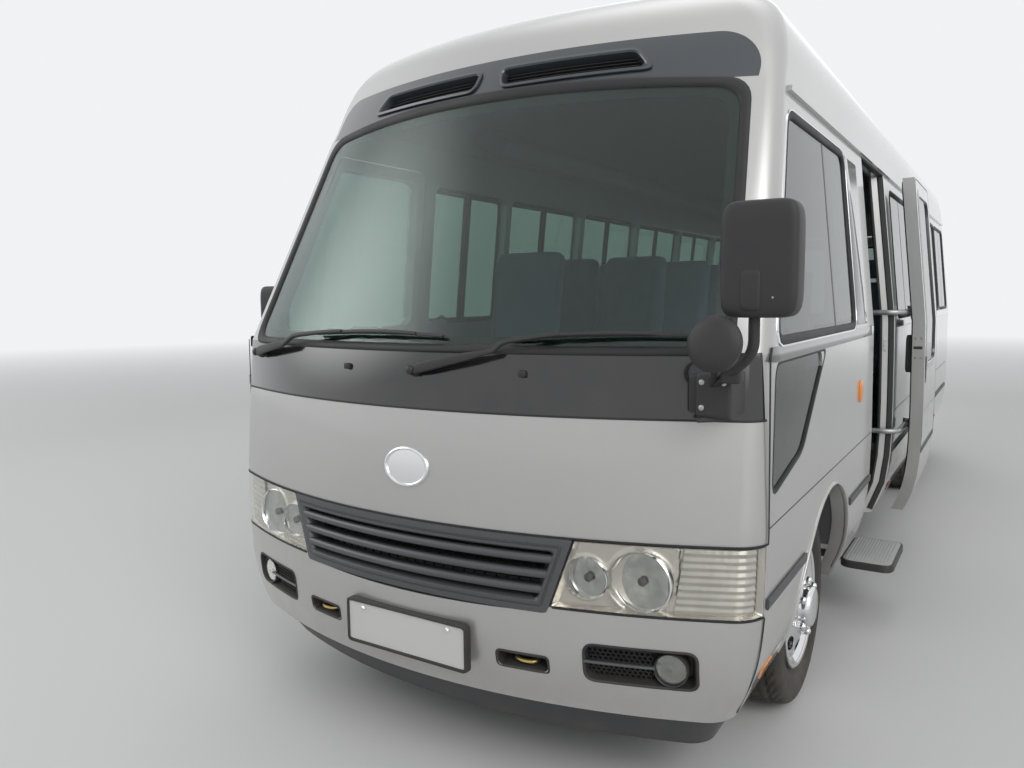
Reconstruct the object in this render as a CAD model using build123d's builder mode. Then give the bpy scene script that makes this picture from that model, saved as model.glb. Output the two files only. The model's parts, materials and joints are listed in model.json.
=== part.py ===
from build123d import *
from math import asin, atan2, cos, degrees, radians, sin, sqrt
from typing import NamedTuple
import os

os.makedirs("parts", exist_ok=True)

# Millimetres. +X points to the bus's left, -Y forward and +Z up. The origin lies on the ground
# under the middle of the whole vehicle.

# Overall size
LENGTH = 6990.0
WIDTH = 2080.0
HEIGHT = 2635.0
WALL = 60.0
SEAT_GAP = 0.3
FRONT_Y = -LENGTH / 2
REAR_Y = LENGTH / 2
SIDE_X = WIDTH / 2

# Heights of the lines that run round the body
SKIRT_Z = 340.0
LAMP_LOW_Z = 655.0
LAMP_TOP_Z = 860.0
CREASE_Z = 900.0
BAND_Z = 1203.0
BELT_Z = 1385.0
WINDOW_LOW_Z = 1412.0
WINDOW_TOP_Z = 2095.0
SEAM_Z = 2200.0
VISOR_TOP_Z = 2362.0

# Axles and wheels
WHEELBASE = 3935.0
FRONT_OVERHANG = 1185.0
FRONT_AXLE_Y = FRONT_Y + FRONT_OVERHANG
REAR_AXLE_Y = FRONT_AXLE_Y + WHEELBASE
FRONT_TRACK = 1690.0
REAR_TRACK = 1490.0
TWIN_SPACING = 236.0
TYRE_RADIUS = 372.0
TYRE_WIDTH = 212.0
RIM_RADIUS = 222.0
RIM_WIDTH = 190.0
FLANGE_RADIUS = 236.0
KINGPIN_X = 750.0
ARCH_RADIUS = 470.0
REAR_ARCH_RADIUS = 440.0

# Lines where the panels meet
FRONT_SHUT_Y = FRONT_Y + 298.0
REAR_SHUT_Y = REAR_Y - 345.0

# Entrance, on the left side
DOOR_FRONT_Y = -1380.0
DOOR_REAR_Y = -620.0
DOOR_TOP_Z = 2160.0
DOOR_BOTTOM_Z = 350.0
DOOR_GAP = 9.0
DOOR_BEVEL = 0.5
STEP_LOW_Z = 420.0
STEP_MID_Z = 570.0
FLOOR_Z = 720.0
FLOOR_THICK = 40.0
WELL_INNER_X = 465.0
WELL_MID_X = 665.0

# Chassis
RAIL_X = 400.0
RAIL_WIDTH = 80.0
RAIL_LOW_Z = 540.0
RAIL_TOP_Z = FLOOR_Z - FLOOR_THICK
RAIL_FRONT_Y = FRONT_Y + 330.0
RAIL_REAR_Y = REAR_Y - 130.0


class Level(NamedTuple):
    """One horizontal outline of the body: set-backs from the overall size, and its plan radii."""

    z: float
    tuck: float
    nose: float
    bow: float
    corner: float
    tail: float
    tail_corner: float


# Columns: height, side tuck, nose set-back, bow radius, front corner, tail set-back, tail corner
SKIRT = Level(SKIRT_Z, 85, 55, 2330, 110, 50, 110)
SKIRT_MID = Level(500, 26, 14, 2330, 110, 0, 120)
STRIP = Level(690, 4, 9, 2330, 110, 8, 120)
CREASE = Level(CREASE_Z, 0, 10, 2330, 110, 14, 120)
BELT = Level(BELT_Z, 7, 58, 2330, 90, 16, 120)
SEAM = Level(SEAM_Z, 92, 475, 2140, 80, 76, 150)
ROOF_LEVELS = (
    SEAM,
    Level(VISOR_TOP_Z, 115, 560, 2140, 110, 110, 170),
    Level(HEIGHT - 145, 180, 655, 2200, 160, 195, 210),
    Level(HEIGHT - 62, 305, 830, 2300, 200, 350, 250),
    Level(HEIGHT - 17, 480, 1090, 2400, 240, 580, 280),
    Level(HEIGHT, 690, 1450, 2800, 200, 900, 250),
)
TAIL_BOW = 5200.0
BODY_STAGES = (
    ((SKIRT, SKIRT_MID, STRIP, CREASE), False),
    ((CREASE, BELT), True),
    ((BELT, SEAM), True),
    (ROOF_LEVELS, False),
)


def arc_drop(radius, half):
    """Depth of a round bow of that radius at half its chord."""
    return radius - sqrt(radius**2 - half**2)


def plan_outline(level, inset):
    """Plan of the body at one level: bowed nose and tail, straight sides and round corners."""
    half = SIDE_X - level.tuck - inset
    nose = FRONT_Y + level.nose + inset
    tail = REAR_Y - level.tail - inset
    nose_side = nose + arc_drop(level.bow - inset, half)
    tail_side = tail - arc_drop(TAIL_BOW - inset, half)
    lift = max(0.0, (level.z - SEAM_Z) / (HEIGHT - SEAM_Z)) * inset
    with BuildSketch(Plane.XY.offset(level.z - lift)) as outline:
        with BuildLine():
            ThreePointArc((-half, nose_side), (0, nose), (half, nose_side))
            Line((half, nose_side), (half, tail_side))
            ThreePointArc((half, tail_side), (0, tail), (-half, tail_side))
            Line((-half, tail_side), (-half, nose_side))
        make_face()
        fillet(outline.vertices().group_by(Axis.Y)[0], level.corner - inset)
        fillet(outline.vertices().group_by(Axis.Y)[-1], level.tail_corner - inset)
    return outline.sketch


def body_form(inset, chosen=BODY_STAGES):
    """Solid bounded by the body's skin, drawn in all round by inset, over the chosen stages."""
    stages = [([plan_outline(level, inset) for level in levels], ruled) for levels, ruled in chosen]
    with BuildPart() as form:
        for sections, ruled in stages:
            loft(sections=sections, ruled=ruled)
    return form.part


def span(x, y, z, mode=Mode.ADD):
    """Block between the low and high ends given for each axis."""
    with Locations(((x[0] + x[1]) / 2, (y[0] + y[1]) / 2, (z[0] + z[1]) / 2)):
        return Box(x[1] - x[0], y[1] - y[0], z[1] - z[0], mode=mode)


# Forms that the panels and panes are cut from
GLASS_OUT = 6.0
GLASS_THICK = 6.0
RECESS = 46.0
FAR = 1500.0
ALL_X = (-FAR, FAR)
FRONT_ZONE_Y = (FRONT_Y - 100, FRONT_SHUT_Y)
REAR_ZONE_Y = (REAR_SHUT_Y, REAR_Y + 100)

with BuildPart() as shell:
    add(body_form(0))
    add(body_form(WALL), mode=Mode.SUBTRACT)
with BuildPart() as glass_skin:
    add(body_form(GLASS_OUT))
    add(body_form(GLASS_OUT + GLASS_THICK), mode=Mode.SUBTRACT)
lining_form = body_form(WALL + SEAT_GAP)
recess_form = body_form(RECESS)
cover_form = body_form(-SEAT_GAP)


def side_outline(points, corner, inset=0.0):
    """Upright outline seen from the side, with round corners, drawn in by inset."""
    with BuildSketch(Plane.YZ) as outline:
        with BuildLine():
            Polyline(*points, close=True)
        make_face()
        fillet(outline.vertices(), corner)
        if inset:
            offset(amount=-inset)
    return outline.sketch


# Side windows. Columns: front edge at the sill, front edge at the top, rear edge
WINDOW_CORNER = 45.0
WINDOW_PITCH = 920.0
WINDOW_LENGTH = 862.0
LAST_WINDOW_LENGTH = 822.0
FIRST_WINDOW_Y = -480.0
REAR_WINDOW_COUNT = 4
REAR_WINDOWS = tuple(
    (
        FIRST_WINDOW_Y + i * WINDOW_PITCH,
        FIRST_WINDOW_Y + i * WINDOW_PITCH,
        FIRST_WINDOW_Y + i * WINDOW_PITCH
        + (LAST_WINDOW_LENGTH if i == REAR_WINDOW_COUNT - 1 else WINDOW_LENGTH),
    )
    for i in range(REAR_WINDOW_COUNT)
)
LEFT_WINDOWS = ((-3105.0, -2765.0, -1850.0),) + REAR_WINDOWS
RIGHT_WINDOWS = ((-2115.0, -2115.0, -1455.0), (-1400.0, -1400.0, -538.0)) + REAR_WINDOWS
DRIVER_WINDOW = (-3085.0, -2765.0, -2255.0)
# Low kerb window ahead of the left front wheel. Columns: y, z
KERB_WINDOW = ((-3135.0, 1352.0), (-3165.0, 985.0), (-2800.0, 1055.0), (-2455.0, 1352.0))
KERB_CORNER = 40.0


def window_corners(window):
    """The four corners of a side window, from its row."""
    sill_front, top_front, rear = window
    return ((sill_front, WINDOW_LOW_Z), (rear, WINDOW_LOW_Z), (rear, WINDOW_TOP_Z), (top_front, WINDOW_TOP_Z))


# Windshield, seen from the front
SCREEN_LOW_HALF = 942.0
SCREEN_TOP_HALF = 862.0
SCREEN_SIDE_TOP_Z = 2188.0
SCREEN_TOP_Z = 2232.0
SCREEN_CORNER = 90.0
SCREEN_LOW_CORNER = 40.0


def screen_outline(inset=0.0):
    """Windshield seen from the front, with an arched top, drawn in by inset."""
    with BuildSketch(Plane.XZ) as outline:
        with BuildLine():
            Polyline(
                (-SCREEN_TOP_HALF, SCREEN_SIDE_TOP_Z),
                (-SCREEN_LOW_HALF, BELT_Z),
                (SCREEN_LOW_HALF, BELT_Z),
                (SCREEN_TOP_HALF, SCREEN_SIDE_TOP_Z),
            )
            ThreePointArc(
                (SCREEN_TOP_HALF, SCREEN_SIDE_TOP_Z), (0, SCREEN_TOP_Z), (-SCREEN_TOP_HALF, SCREEN_SIDE_TOP_Z)
            )
        make_face()
        fillet(outline.vertices().group_by(Axis.Y)[-1], SCREEN_CORNER)
        fillet(outline.vertices().group_by(Axis.Y)[0], SCREEN_LOW_CORNER)
        if inset:
            offset(amount=-inset)
    return outline.sketch


with BuildPart() as screen_cutter:
    extrude(screen_outline(), amount=-FRONT_Y)

# Visor over the windshield, seen from the front
VISOR_HALF = 885.0
VISOR_CORNER = 135.0
with BuildPart() as visor_block:
    with BuildSketch(Plane.XZ) as visor_outline:
        with Locations((0, (SEAM_Z + VISOR_TOP_Z) / 2)):
            Rectangle(2 * VISOR_HALF, VISOR_TOP_Z - SEAM_Z)
        fillet(visor_outline.vertices().group_by(Axis.Y)[-1], VISOR_CORNER)
    extrude(amount=-FRONT_Y)

# Grille, seen from the front
GRILLE_TOP_HALF = 557.0
GRILLE_LOW_HALF = 480.0
GRILLE_LOW_Z = 640.0
GRILLE_DIP = 12.0


def grille_outline(inset=0.0):
    """Grille seen from the front: a trapezoid with a slightly bowed foot, drawn in by inset."""
    with BuildSketch(Plane.XZ) as outline:
        with BuildLine():
            Polyline(
                (-GRILLE_LOW_HALF, GRILLE_LOW_Z),
                (-GRILLE_TOP_HALF, LAMP_TOP_Z),
                (GRILLE_TOP_HALF, LAMP_TOP_Z),
                (GRILLE_LOW_HALF, GRILLE_LOW_Z),
            )
            ThreePointArc(
                (GRILLE_LOW_HALF, GRILLE_LOW_Z), (0, GRILLE_LOW_Z - GRILLE_DIP), (-GRILLE_LOW_HALF, GRILLE_LOW_Z)
            )
        make_face()
        if inset:
            offset(amount=-inset, kind=Kind.INTERSECTION)
    return outline.sketch


with BuildPart() as grille_block:
    extrude(grille_outline(), amount=-FRONT_Y)


def doorway_plan(z, gap):
    """Plan of the doorway or, with a gap, of the door in it; the rear edge slants to let it slip out."""
    inner_x = SIDE_X - 200
    outer_x = SIDE_X + 60
    rear_inner = DOOR_REAR_Y + DOOR_BEVEL * (inner_x - SIDE_X) - gap
    rear_outer = DOOR_REAR_Y + DOOR_BEVEL * (outer_x - SIDE_X) - gap
    front = DOOR_FRONT_Y + gap
    with BuildSketch(Plane.XY.offset(z)) as outline:
        with BuildLine():
            Polyline(
                (inner_x, front), (outer_x, front), (outer_x, rear_outer), (inner_x, rear_inner), close=True
            )
        make_face()
    return outline.sketch


# Driver's door, on the right side
CAB_DOOR_FRONT_Y = -3140.0
CAB_DOOR_REAR_Y = -2195.0
CAB_DOOR_LOW_Z = 520.0
CAB_DOOR_TOP_Z = 2150.0
CAB_DOOR_RAKE = 330.0
CAB_DOOR_GAP = 6.0
CAB_DOOR_CORNER = 60.0
ARCH_LIP = 48.0


def cab_door_outline(inset=0.0):
    """Driver's door opening seen from the side, drawn in by inset."""
    corners = (
        (CAB_DOOR_FRONT_Y, CAB_DOOR_LOW_Z),
        (CAB_DOOR_REAR_Y, CAB_DOOR_LOW_Z),
        (CAB_DOOR_REAR_Y, CAB_DOOR_TOP_Z),
        (CAB_DOOR_FRONT_Y + CAB_DOOR_RAKE, CAB_DOOR_TOP_Z),
        (CAB_DOOR_FRONT_Y, WINDOW_LOW_Z),
    )
    return side_outline(corners, CAB_DOOR_CORNER, inset)


def cab_door_block(inset=0.0):
    """Block through the right side that holds the driver's door, clear of the wheel arch lip."""
    with BuildPart() as block:
        extrude(cab_door_outline(inset), amount=-FAR)
        with Locations(Location((0, FRONT_AXLE_Y, TYRE_RADIUS), (0, 90, 0))):
            Cylinder(ARCH_RADIUS + ARCH_LIP + inset, 2 * FAR, mode=Mode.SUBTRACT)
    return block.part


# Outside hinges, shared by the driver's door and the rear doors. The barrel stays on the body.
BARREL_RADIUS = 11.0
BARREL_HEIGHT = 40.0
HINGE_PIN_RADIUS = 5.0
RUN_GAP = 0.5
KNUCKLE_HEIGHT = 14.0
CAB_HINGE_X = -(SIDE_X + 16.0)
CAB_HINGE_Y = CAB_DOOR_FRONT_Y - 5.0
CAB_HINGE_ZS = (740.0, 1220.0)
CAB_SKIN_X = -(SIDE_X - 12.0)
LEAF_HALF = 800.0
LEAF_HINGE_Y = REAR_Y - 54.0
LEAF_HINGE_ZS = (820.0, 1340.0)
LEAF_SKIN_Y = REAR_Y - 92.0


def hinge_barrel(x, y, z):
    """Bored barrel of a hinge, centred on its upright axis."""
    with Locations((x, y, z)):
        Cylinder(BARREL_RADIUS, BARREL_HEIGHT)


def hinge_bore(x, y, z):
    """Bore of a hinge barrel, cut after the barrel is joined to its plate."""
    with Locations((x, y, z)):
        Cylinder(HINGE_PIN_RADIUS + RUN_GAP, 2 * BARREL_HEIGHT, mode=Mode.SUBTRACT)


def hinge_ends(z):
    """Low and high ends of the moving knuckles above and below a barrel."""
    reach = BARREL_HEIGHT / 2 + RUN_GAP
    return ((z - reach - KNUCKLE_HEIGHT, z - reach), (z + reach, z + reach + KNUCKLE_HEIGHT))


def hinge_pin(x, y, z):
    """Moving knuckles of a hinge with the pin between them."""
    for low, high in hinge_ends(z):
        with Locations((x, y, (low + high) / 2)):
            Cylinder(BARREL_RADIUS, high - low)
    with Locations((x, y, z)):
        Cylinder(HINGE_PIN_RADIUS, BARREL_HEIGHT + 2 * RUN_GAP + KNUCKLE_HEIGHT)


# Side walls
DRIP_OUT = 14.0
DRIP_HEIGHT = 16.0
DRIP_Z = 2172.0
DRIP_FRONT_Y = -2745.0
KEEPER_Z = 1600.0
ARCHES = ((FRONT_AXLE_Y, ARCH_RADIUS), (REAR_AXLE_Y, REAR_ARCH_RADIUS))


def side_x_at(z):
    """Half width of the body between the belt and the roof seam."""
    share = (z - BELT_Z) / (SEAM_Z - BELT_Z)
    return SIDE_X - BELT.tuck + share * (BELT.tuck - SEAM.tuck)


def side_wall(side, outlines):
    """One side wall with its windows, wheel arches and drip rail; side is 1 on the left, -1 on the right."""
    near_x = (0, FAR) if side > 0 else (-FAR, 0)
    rail_x = sorted((side * (side_x_at(DRIP_Z) - 20), side * (side_x_at(DRIP_Z) + DRIP_OUT)))
    with BuildPart() as wall:
        add(shell.part)
        span(near_x, (FRONT_Y - 100, REAR_SHUT_Y), (0, SEAM_Z), mode=Mode.INTERSECT)
        span(near_x, FRONT_ZONE_Y, (0, BELT_Z), mode=Mode.SUBTRACT)
        add(screen_cutter.part, mode=Mode.SUBTRACT)
        for axle_y, radius in ARCHES:
            with Locations(Location((side * FAR / 2, axle_y, TYRE_RADIUS), (0, 90, 0))):
                Cylinder(radius, FAR, mode=Mode.SUBTRACT)
        span(rail_x, (DRIP_FRONT_Y, REAR_SHUT_Y), (DRIP_Z - DRIP_HEIGHT / 2, DRIP_Z + DRIP_HEIGHT / 2))
        for outline in outlines:
            extrude(outline, amount=side * FAR, mode=Mode.SUBTRACT)
    return wall.part


# Door arms: a post behind the doorway's rear edge carries two bent arms that swing the door out
ARM_LENGTH = 450.0
ARM_RADIUS = 14.0
POST_RADIUS = 20.0
POST_X = 813.0
POST_Y = DOOR_REAR_Y - 60.0
ARM_LEVELS = (800.0, 1440.0)
DOOR_OUT = 140.0
DOOR_BACK = 800.0
PIN_RADIUS = 8.0
PIN_GAP = 0.5
EYE_RADIUS = 17.0
EYE_HEIGHT = 40.0
LUG_THICK = 10.0
travel = sqrt(DOOR_OUT**2 + DOOR_BACK**2)
middle_angle = degrees(atan2(DOOR_BACK, DOOR_OUT)) - 90
half_swing = degrees(asin(travel / 2 / ARM_LENGTH))
open_angle = middle_angle + half_swing
closed_angle = middle_angle - half_swing
PIN_OPEN_X = POST_X + ARM_LENGTH * cos(radians(open_angle))
PIN_OPEN_Y = POST_Y + ARM_LENGTH * sin(radians(open_angle))
PIN_SHUT_X = PIN_OPEN_X - DOOR_OUT
PIN_SHUT_Y = PIN_OPEN_Y - DOOR_BACK
KEEPER_THICK = 20.0
KEEPER_REACH = 30.0
KEEPER_CLEAR = 10.0
KEEPER_REAR_Y = DOOR_REAR_Y + 30.0
LINTEL_REAR_Y = DOOR_REAR_Y - DOOR_BEVEL * (SIDE_X - side_x_at(DOOR_TOP_Z) + WALL) - 10

left_outlines = [side_outline(window_corners(row), WINDOW_CORNER) for row in LEFT_WINDOWS]
left_outlines.append(side_outline(KERB_WINDOW, KERB_CORNER))
right_outlines = [side_outline(window_corners(row), WINDOW_CORNER) for row in RIGHT_WINDOWS]
with BuildPart() as side_wall_left:
    add(side_wall(1, left_outlines))
    extrude(doorway_plan(0, 0), amount=DOOR_TOP_Z, dir=(0, 0, 1), mode=Mode.SUBTRACT)
    span(
        (POST_X - KEEPER_REACH, side_x_at(KEEPER_Z) - WALL - KEEPER_CLEAR),
        (POST_Y - KEEPER_REACH, KEEPER_REAR_Y),
        (KEEPER_Z, KEEPER_Z + KEEPER_THICK),
    )
    span((POST_X, SIDE_X - WALL), (KEEPER_REAR_Y - 55, KEEPER_REAR_Y), (KEEPER_Z, KEEPER_Z + KEEPER_THICK))
    with Locations((POST_X, POST_Y, KEEPER_Z)):
        Cylinder(POST_RADIUS + PIN_GAP, 4 * KEEPER_THICK, mode=Mode.SUBTRACT)
    for joint_y in (DOOR_FRONT_Y, LINTEL_REAR_Y):
        span((0, FAR), (joint_y, joint_y + SEAT_GAP), (DOOR_TOP_Z - 1, SEAM_Z + 1), mode=Mode.SUBTRACT)
side_wall_left.part.label = "side_wall_left"
export_step(side_wall_left.part, "parts/side_wall_left.step")

with BuildPart() as side_wall_right:
    add(side_wall(-1, right_outlines))
    add(cab_door_block(), mode=Mode.SUBTRACT)
    for hinge_z in CAB_HINGE_ZS:
        hinge_barrel(CAB_HINGE_X, CAB_HINGE_Y, hinge_z)
        span(
            (CAB_HINGE_X - BARREL_RADIUS, CAB_SKIN_X),
            (CAB_HINGE_Y - 35, CAB_HINGE_Y),
            (hinge_z - BARREL_HEIGHT / 2, hinge_z + BARREL_HEIGHT / 2),
        )
        hinge_bore(CAB_HINGE_X, CAB_HINGE_Y, hinge_z)
side_wall_right.part.label = "side_wall_right"
export_step(side_wall_right.part, "parts/side_wall_right.step")

# Roof, visor and the front panels
VENT_LOW_Z = 2262.0
VENT_TOP_Z = 2318.0
VENT_INNER_X = 62.0
VENT_OUTER_X = 560.0
VENT_CORNER = 14.0

with BuildPart() as roof_panel:
    add(shell.part)
    span(ALL_X, (FRONT_Y, REAR_Y), (SEAM_Z, HEIGHT), mode=Mode.INTERSECT)
    add(visor_block.part, mode=Mode.SUBTRACT)
    add(screen_cutter.part, mode=Mode.SUBTRACT)
roof_panel.part.label = "roof_panel"
export_step(roof_panel.part, "parts/roof_panel.step")

with BuildPart() as roof_visor:
    add(shell.part)
    add(visor_block.part, mode=Mode.INTERSECT)
    add(screen_cutter.part, mode=Mode.SUBTRACT)
    with BuildSketch(Plane.XZ) as vents:
        for side in (-1, 1):
            with BuildLine():
                Polyline(
                    (side * VENT_INNER_X, VENT_LOW_Z),
                    (side * VENT_OUTER_X, VENT_LOW_Z),
                    (side * (VENT_OUTER_X - 45), VENT_TOP_Z),
                    (side * (VENT_INNER_X - 14), VENT_TOP_Z),
                    close=True,
                )
            make_face()
        fillet(vents.vertices(), VENT_CORNER)
    extrude(amount=-FRONT_Y, mode=Mode.SUBTRACT)
roof_visor.part.label = "roof_visor"
export_step(roof_visor.part, "parts/roof_visor.step")

with BuildPart() as front_panel:
    add(shell.part)
    span(ALL_X, FRONT_ZONE_Y, (LAMP_TOP_Z, BAND_Z), mode=Mode.INTERSECT)
front_panel.part.label = "front_panel"
export_step(front_panel.part, "parts/front_panel.step")

with BuildPart() as cowl_band:
    add(shell.part)
    span(ALL_X, FRONT_ZONE_Y, (BAND_Z, BELT_Z), mode=Mode.INTERSECT)
cowl_band.part.label = "cowl_band"
export_step(cowl_band.part, "parts/cowl_band.step")

# Panes
with BuildPart() as windshield:
    add(glass_skin.part)
    with BuildPart(mode=Mode.PRIVATE) as screen_plug:
        extrude(screen_outline(SEAT_GAP), amount=-FRONT_Y)
    add(screen_plug.part, mode=Mode.INTERSECT)
windshield.part.label = "windshield"
export_step(windshield.part, "parts/windshield.step")


def pane_plugs(side, outlines):
    """Blocks through one side that leave the window panes when they meet the glass skin."""
    with BuildPart() as plugs:
        for outline in outlines:
            extrude(outline, amount=side * FAR)
    return plugs.part


left_panes = [side_outline(window_corners(row), WINDOW_CORNER, SEAT_GAP) for row in LEFT_WINDOWS]
left_panes.append(side_outline(KERB_WINDOW, KERB_CORNER, SEAT_GAP))
right_panes = [side_outline(window_corners(row), WINDOW_CORNER, SEAT_GAP) for row in RIGHT_WINDOWS]
left_plugs = pane_plugs(1, left_panes)
right_plugs = pane_plugs(-1, right_panes)
with BuildPart() as side_glass:
    add(left_plugs)
    add(right_plugs)
    add(glass_skin.part, mode=Mode.INTERSECT)
side_glass.part.label = "side_glass"
export_step(side_glass.part, "parts/side_glass.step")

# Rear wall with two door leaves
LEAF_LOW_Z = 690.0
LEAF_TOP_Z = 2110.0
LEAF_CORNER = 50.0
LEAF_GAP = 5.0
LEAF_SPLIT = 3.0
LEAF_GLASS_X = (110.0, 690.0)
LEAF_GLASS_Z = (1330.0, 2010.0)
LEAF_GLASS_CORNER = 60.0
REAR_LAMP_X = (840.0, 935.0)
REAR_LAMP_Z = (730.0, 1130.0)
REAR_LAMP_CORNER = 14.0
REAR_LAMP_DEPTH = 30.0


def front_view_box(x, z, corner, inset=0.0):
    """Upright rectangle seen along Y with round corners, drawn in by inset."""
    with BuildSketch(Plane.XZ) as outline:
        with Locations(((x[0] + x[1]) / 2, (z[0] + z[1]) / 2)):
            RectangleRounded(x[1] - x[0] - 2 * inset, z[1] - z[0] - 2 * inset, corner - inset)
    return outline.sketch


lamp_form = body_form(REAR_LAMP_DEPTH)
with BuildPart() as rear_lamp_pockets:
    for side in (-1, 1):
        extrude(
            front_view_box(sorted((side * REAR_LAMP_X[0], side * REAR_LAMP_X[1])), REAR_LAMP_Z, REAR_LAMP_CORNER),
            amount=-REAR_Y,
        )
    add(lamp_form, mode=Mode.SUBTRACT)

with BuildPart() as rear_wall:
    add(shell.part)
    span(ALL_X, REAR_ZONE_Y, (LAMP_LOW_Z, SEAM_Z), mode=Mode.INTERSECT)
    extrude(front_view_box((-LEAF_HALF, LEAF_HALF), (LEAF_LOW_Z, LEAF_TOP_Z), LEAF_CORNER), amount=-REAR_Y, mode=Mode.SUBTRACT)
    add(rear_lamp_pockets.part, mode=Mode.SUBTRACT)
    for side in (-1, 1):
        for hinge_z in LEAF_HINGE_ZS:
            hinge_barrel(side * LEAF_HALF, LEAF_HINGE_Y, hinge_z)
            span(
                sorted((side * LEAF_HALF, side * (LEAF_HALF + 38))),
                (LEAF_SKIN_Y, LEAF_HINGE_Y + BARREL_RADIUS),
                (hinge_z - BARREL_HEIGHT / 2, hinge_z + BARREL_HEIGHT / 2),
            )
            hinge_bore(side * LEAF_HALF, LEAF_HINGE_Y, hinge_z)
rear_wall.part.label = "rear_wall"
export_step(rear_wall.part, "parts/rear_wall.step")

with BuildPart() as rear_lamps:
    for side in (-1, 1):
        extrude(
            front_view_box(
                sorted((side * REAR_LAMP_X[0], side * REAR_LAMP_X[1])), REAR_LAMP_Z, REAR_LAMP_CORNER, SEAT_GAP
            ),
            amount=-REAR_Y,
        )
    add(shell.part, mode=Mode.INTERSECT)
    add(body_form(REAR_LAMP_DEPTH - SEAT_GAP), mode=Mode.SUBTRACT)
rear_lamps.part.label = "rear_lamps"
export_step(rear_lamps.part, "parts/rear_lamps.step")

with BuildPart() as rear_bumper:
    add(shell.part)
    span(ALL_X, REAR_ZONE_Y, (0, LAMP_LOW_Z), mode=Mode.INTERSECT)
rear_bumper.part.label = "rear_bumper"
export_step(rear_bumper.part, "parts/rear_bumper.step")


def rear_leaf(side, name):
    """One rear door leaf with its pane; side is 1 on the left, -1 on the right."""
    near_x = sorted((side * LEAF_SPLIT, side * FAR))
    glass_x = sorted((side * LEAF_GLASS_X[0], side * LEAF_GLASS_X[1]))
    with BuildPart() as leaf:
        extrude(
            front_view_box((-LEAF_HALF, LEAF_HALF), (LEAF_LOW_Z, LEAF_TOP_Z), LEAF_CORNER, LEAF_GAP), amount=-REAR_Y
        )
        span(near_x, REAR_ZONE_Y, (0, SEAM_Z), mode=Mode.INTERSECT)
        add(shell.part, mode=Mode.INTERSECT)
        extrude(front_view_box(glass_x, LEAF_GLASS_Z, LEAF_GLASS_CORNER), amount=-REAR_Y, mode=Mode.SUBTRACT)
        for hinge_z in LEAF_HINGE_ZS:
            hinge_pin(side * LEAF_HALF, LEAF_HINGE_Y, hinge_z)
            for ends in hinge_ends(hinge_z):
                span(
                    sorted((side * (LEAF_HALF - 45), side * LEAF_HALF)),
                    (LEAF_HINGE_Y - BARREL_RADIUS, LEAF_HINGE_Y + BARREL_RADIUS),
                    ends,
                )
                span(
                    sorted((side * (LEAF_HALF - 45), side * (LEAF_HALF - 12))),
                    (LEAF_SKIN_Y, LEAF_HINGE_Y),
                    ends,
                )
    leaf.part.label = name
    export_step(leaf.part, f"parts/{name}.step")
    with BuildPart() as pane:
        extrude(front_view_box(glass_x, LEAF_GLASS_Z, LEAF_GLASS_CORNER, SEAT_GAP), amount=-REAR_Y)
        add(glass_skin.part, mode=Mode.INTERSECT)
    pane.part.label = name + "_glass"
    export_step(pane.part, f"parts/{name}_glass.step")


rear_leaf(1, "rear_door_left")
rear_leaf(-1, "rear_door_right")

# Driver's door
with BuildPart() as driver_door:
    add(shell.part)
    add(cab_door_block(CAB_DOOR_GAP), mode=Mode.INTERSECT)
    extrude(side_outline(window_corners(DRIVER_WINDOW), WINDOW_CORNER), amount=-FAR, mode=Mode.SUBTRACT)
    for hinge_z in CAB_HINGE_ZS:
        hinge_pin(CAB_HINGE_X, CAB_HINGE_Y, hinge_z)
        for ends in hinge_ends(hinge_z):
            span((CAB_HINGE_X - BARREL_RADIUS, CAB_HINGE_X + BARREL_RADIUS), (CAB_HINGE_Y, CAB_HINGE_Y + 45), ends)
            span((CAB_HINGE_X, CAB_SKIN_X), (CAB_HINGE_Y + 17, CAB_HINGE_Y + 45), ends)
driver_door.part.label = "driver_door"
export_step(driver_door.part, "parts/driver_door.step")

with BuildPart() as driver_door_glass:
    extrude(side_outline(window_corners(DRIVER_WINDOW), WINDOW_CORNER, SEAT_GAP), amount=-FAR)
    add(glass_skin.part, mode=Mode.INTERSECT)
driver_door_glass.part.label = "driver_door_glass"
export_step(driver_door_glass.part, "parts/driver_door_glass.step")

# Entrance door: shaped in its doorway, then swung out and back to where it stands open
DOOR_GLASS = ((DOOR_FRONT_Y + 105, 1150.0), (DOOR_REAR_Y - 140, 1150.0), (DOOR_REAR_Y - 140, 2075.0), (DOOR_FRONT_Y + 105, 2075.0))
DOOR_GLASS_CORNER = 55.0
DOOR_BAR_X = (PIN_SHUT_X + EYE_RADIUS + 6, PIN_SHUT_X + EYE_RADIUS + 22)
DOOR_BAR_Y = (DOOR_FRONT_Y + 60, DOOR_REAR_Y - 90)
DOOR_BAR_HEIGHT = 80.0
open_place = Location((DOOR_OUT, DOOR_BACK, 0))

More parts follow.
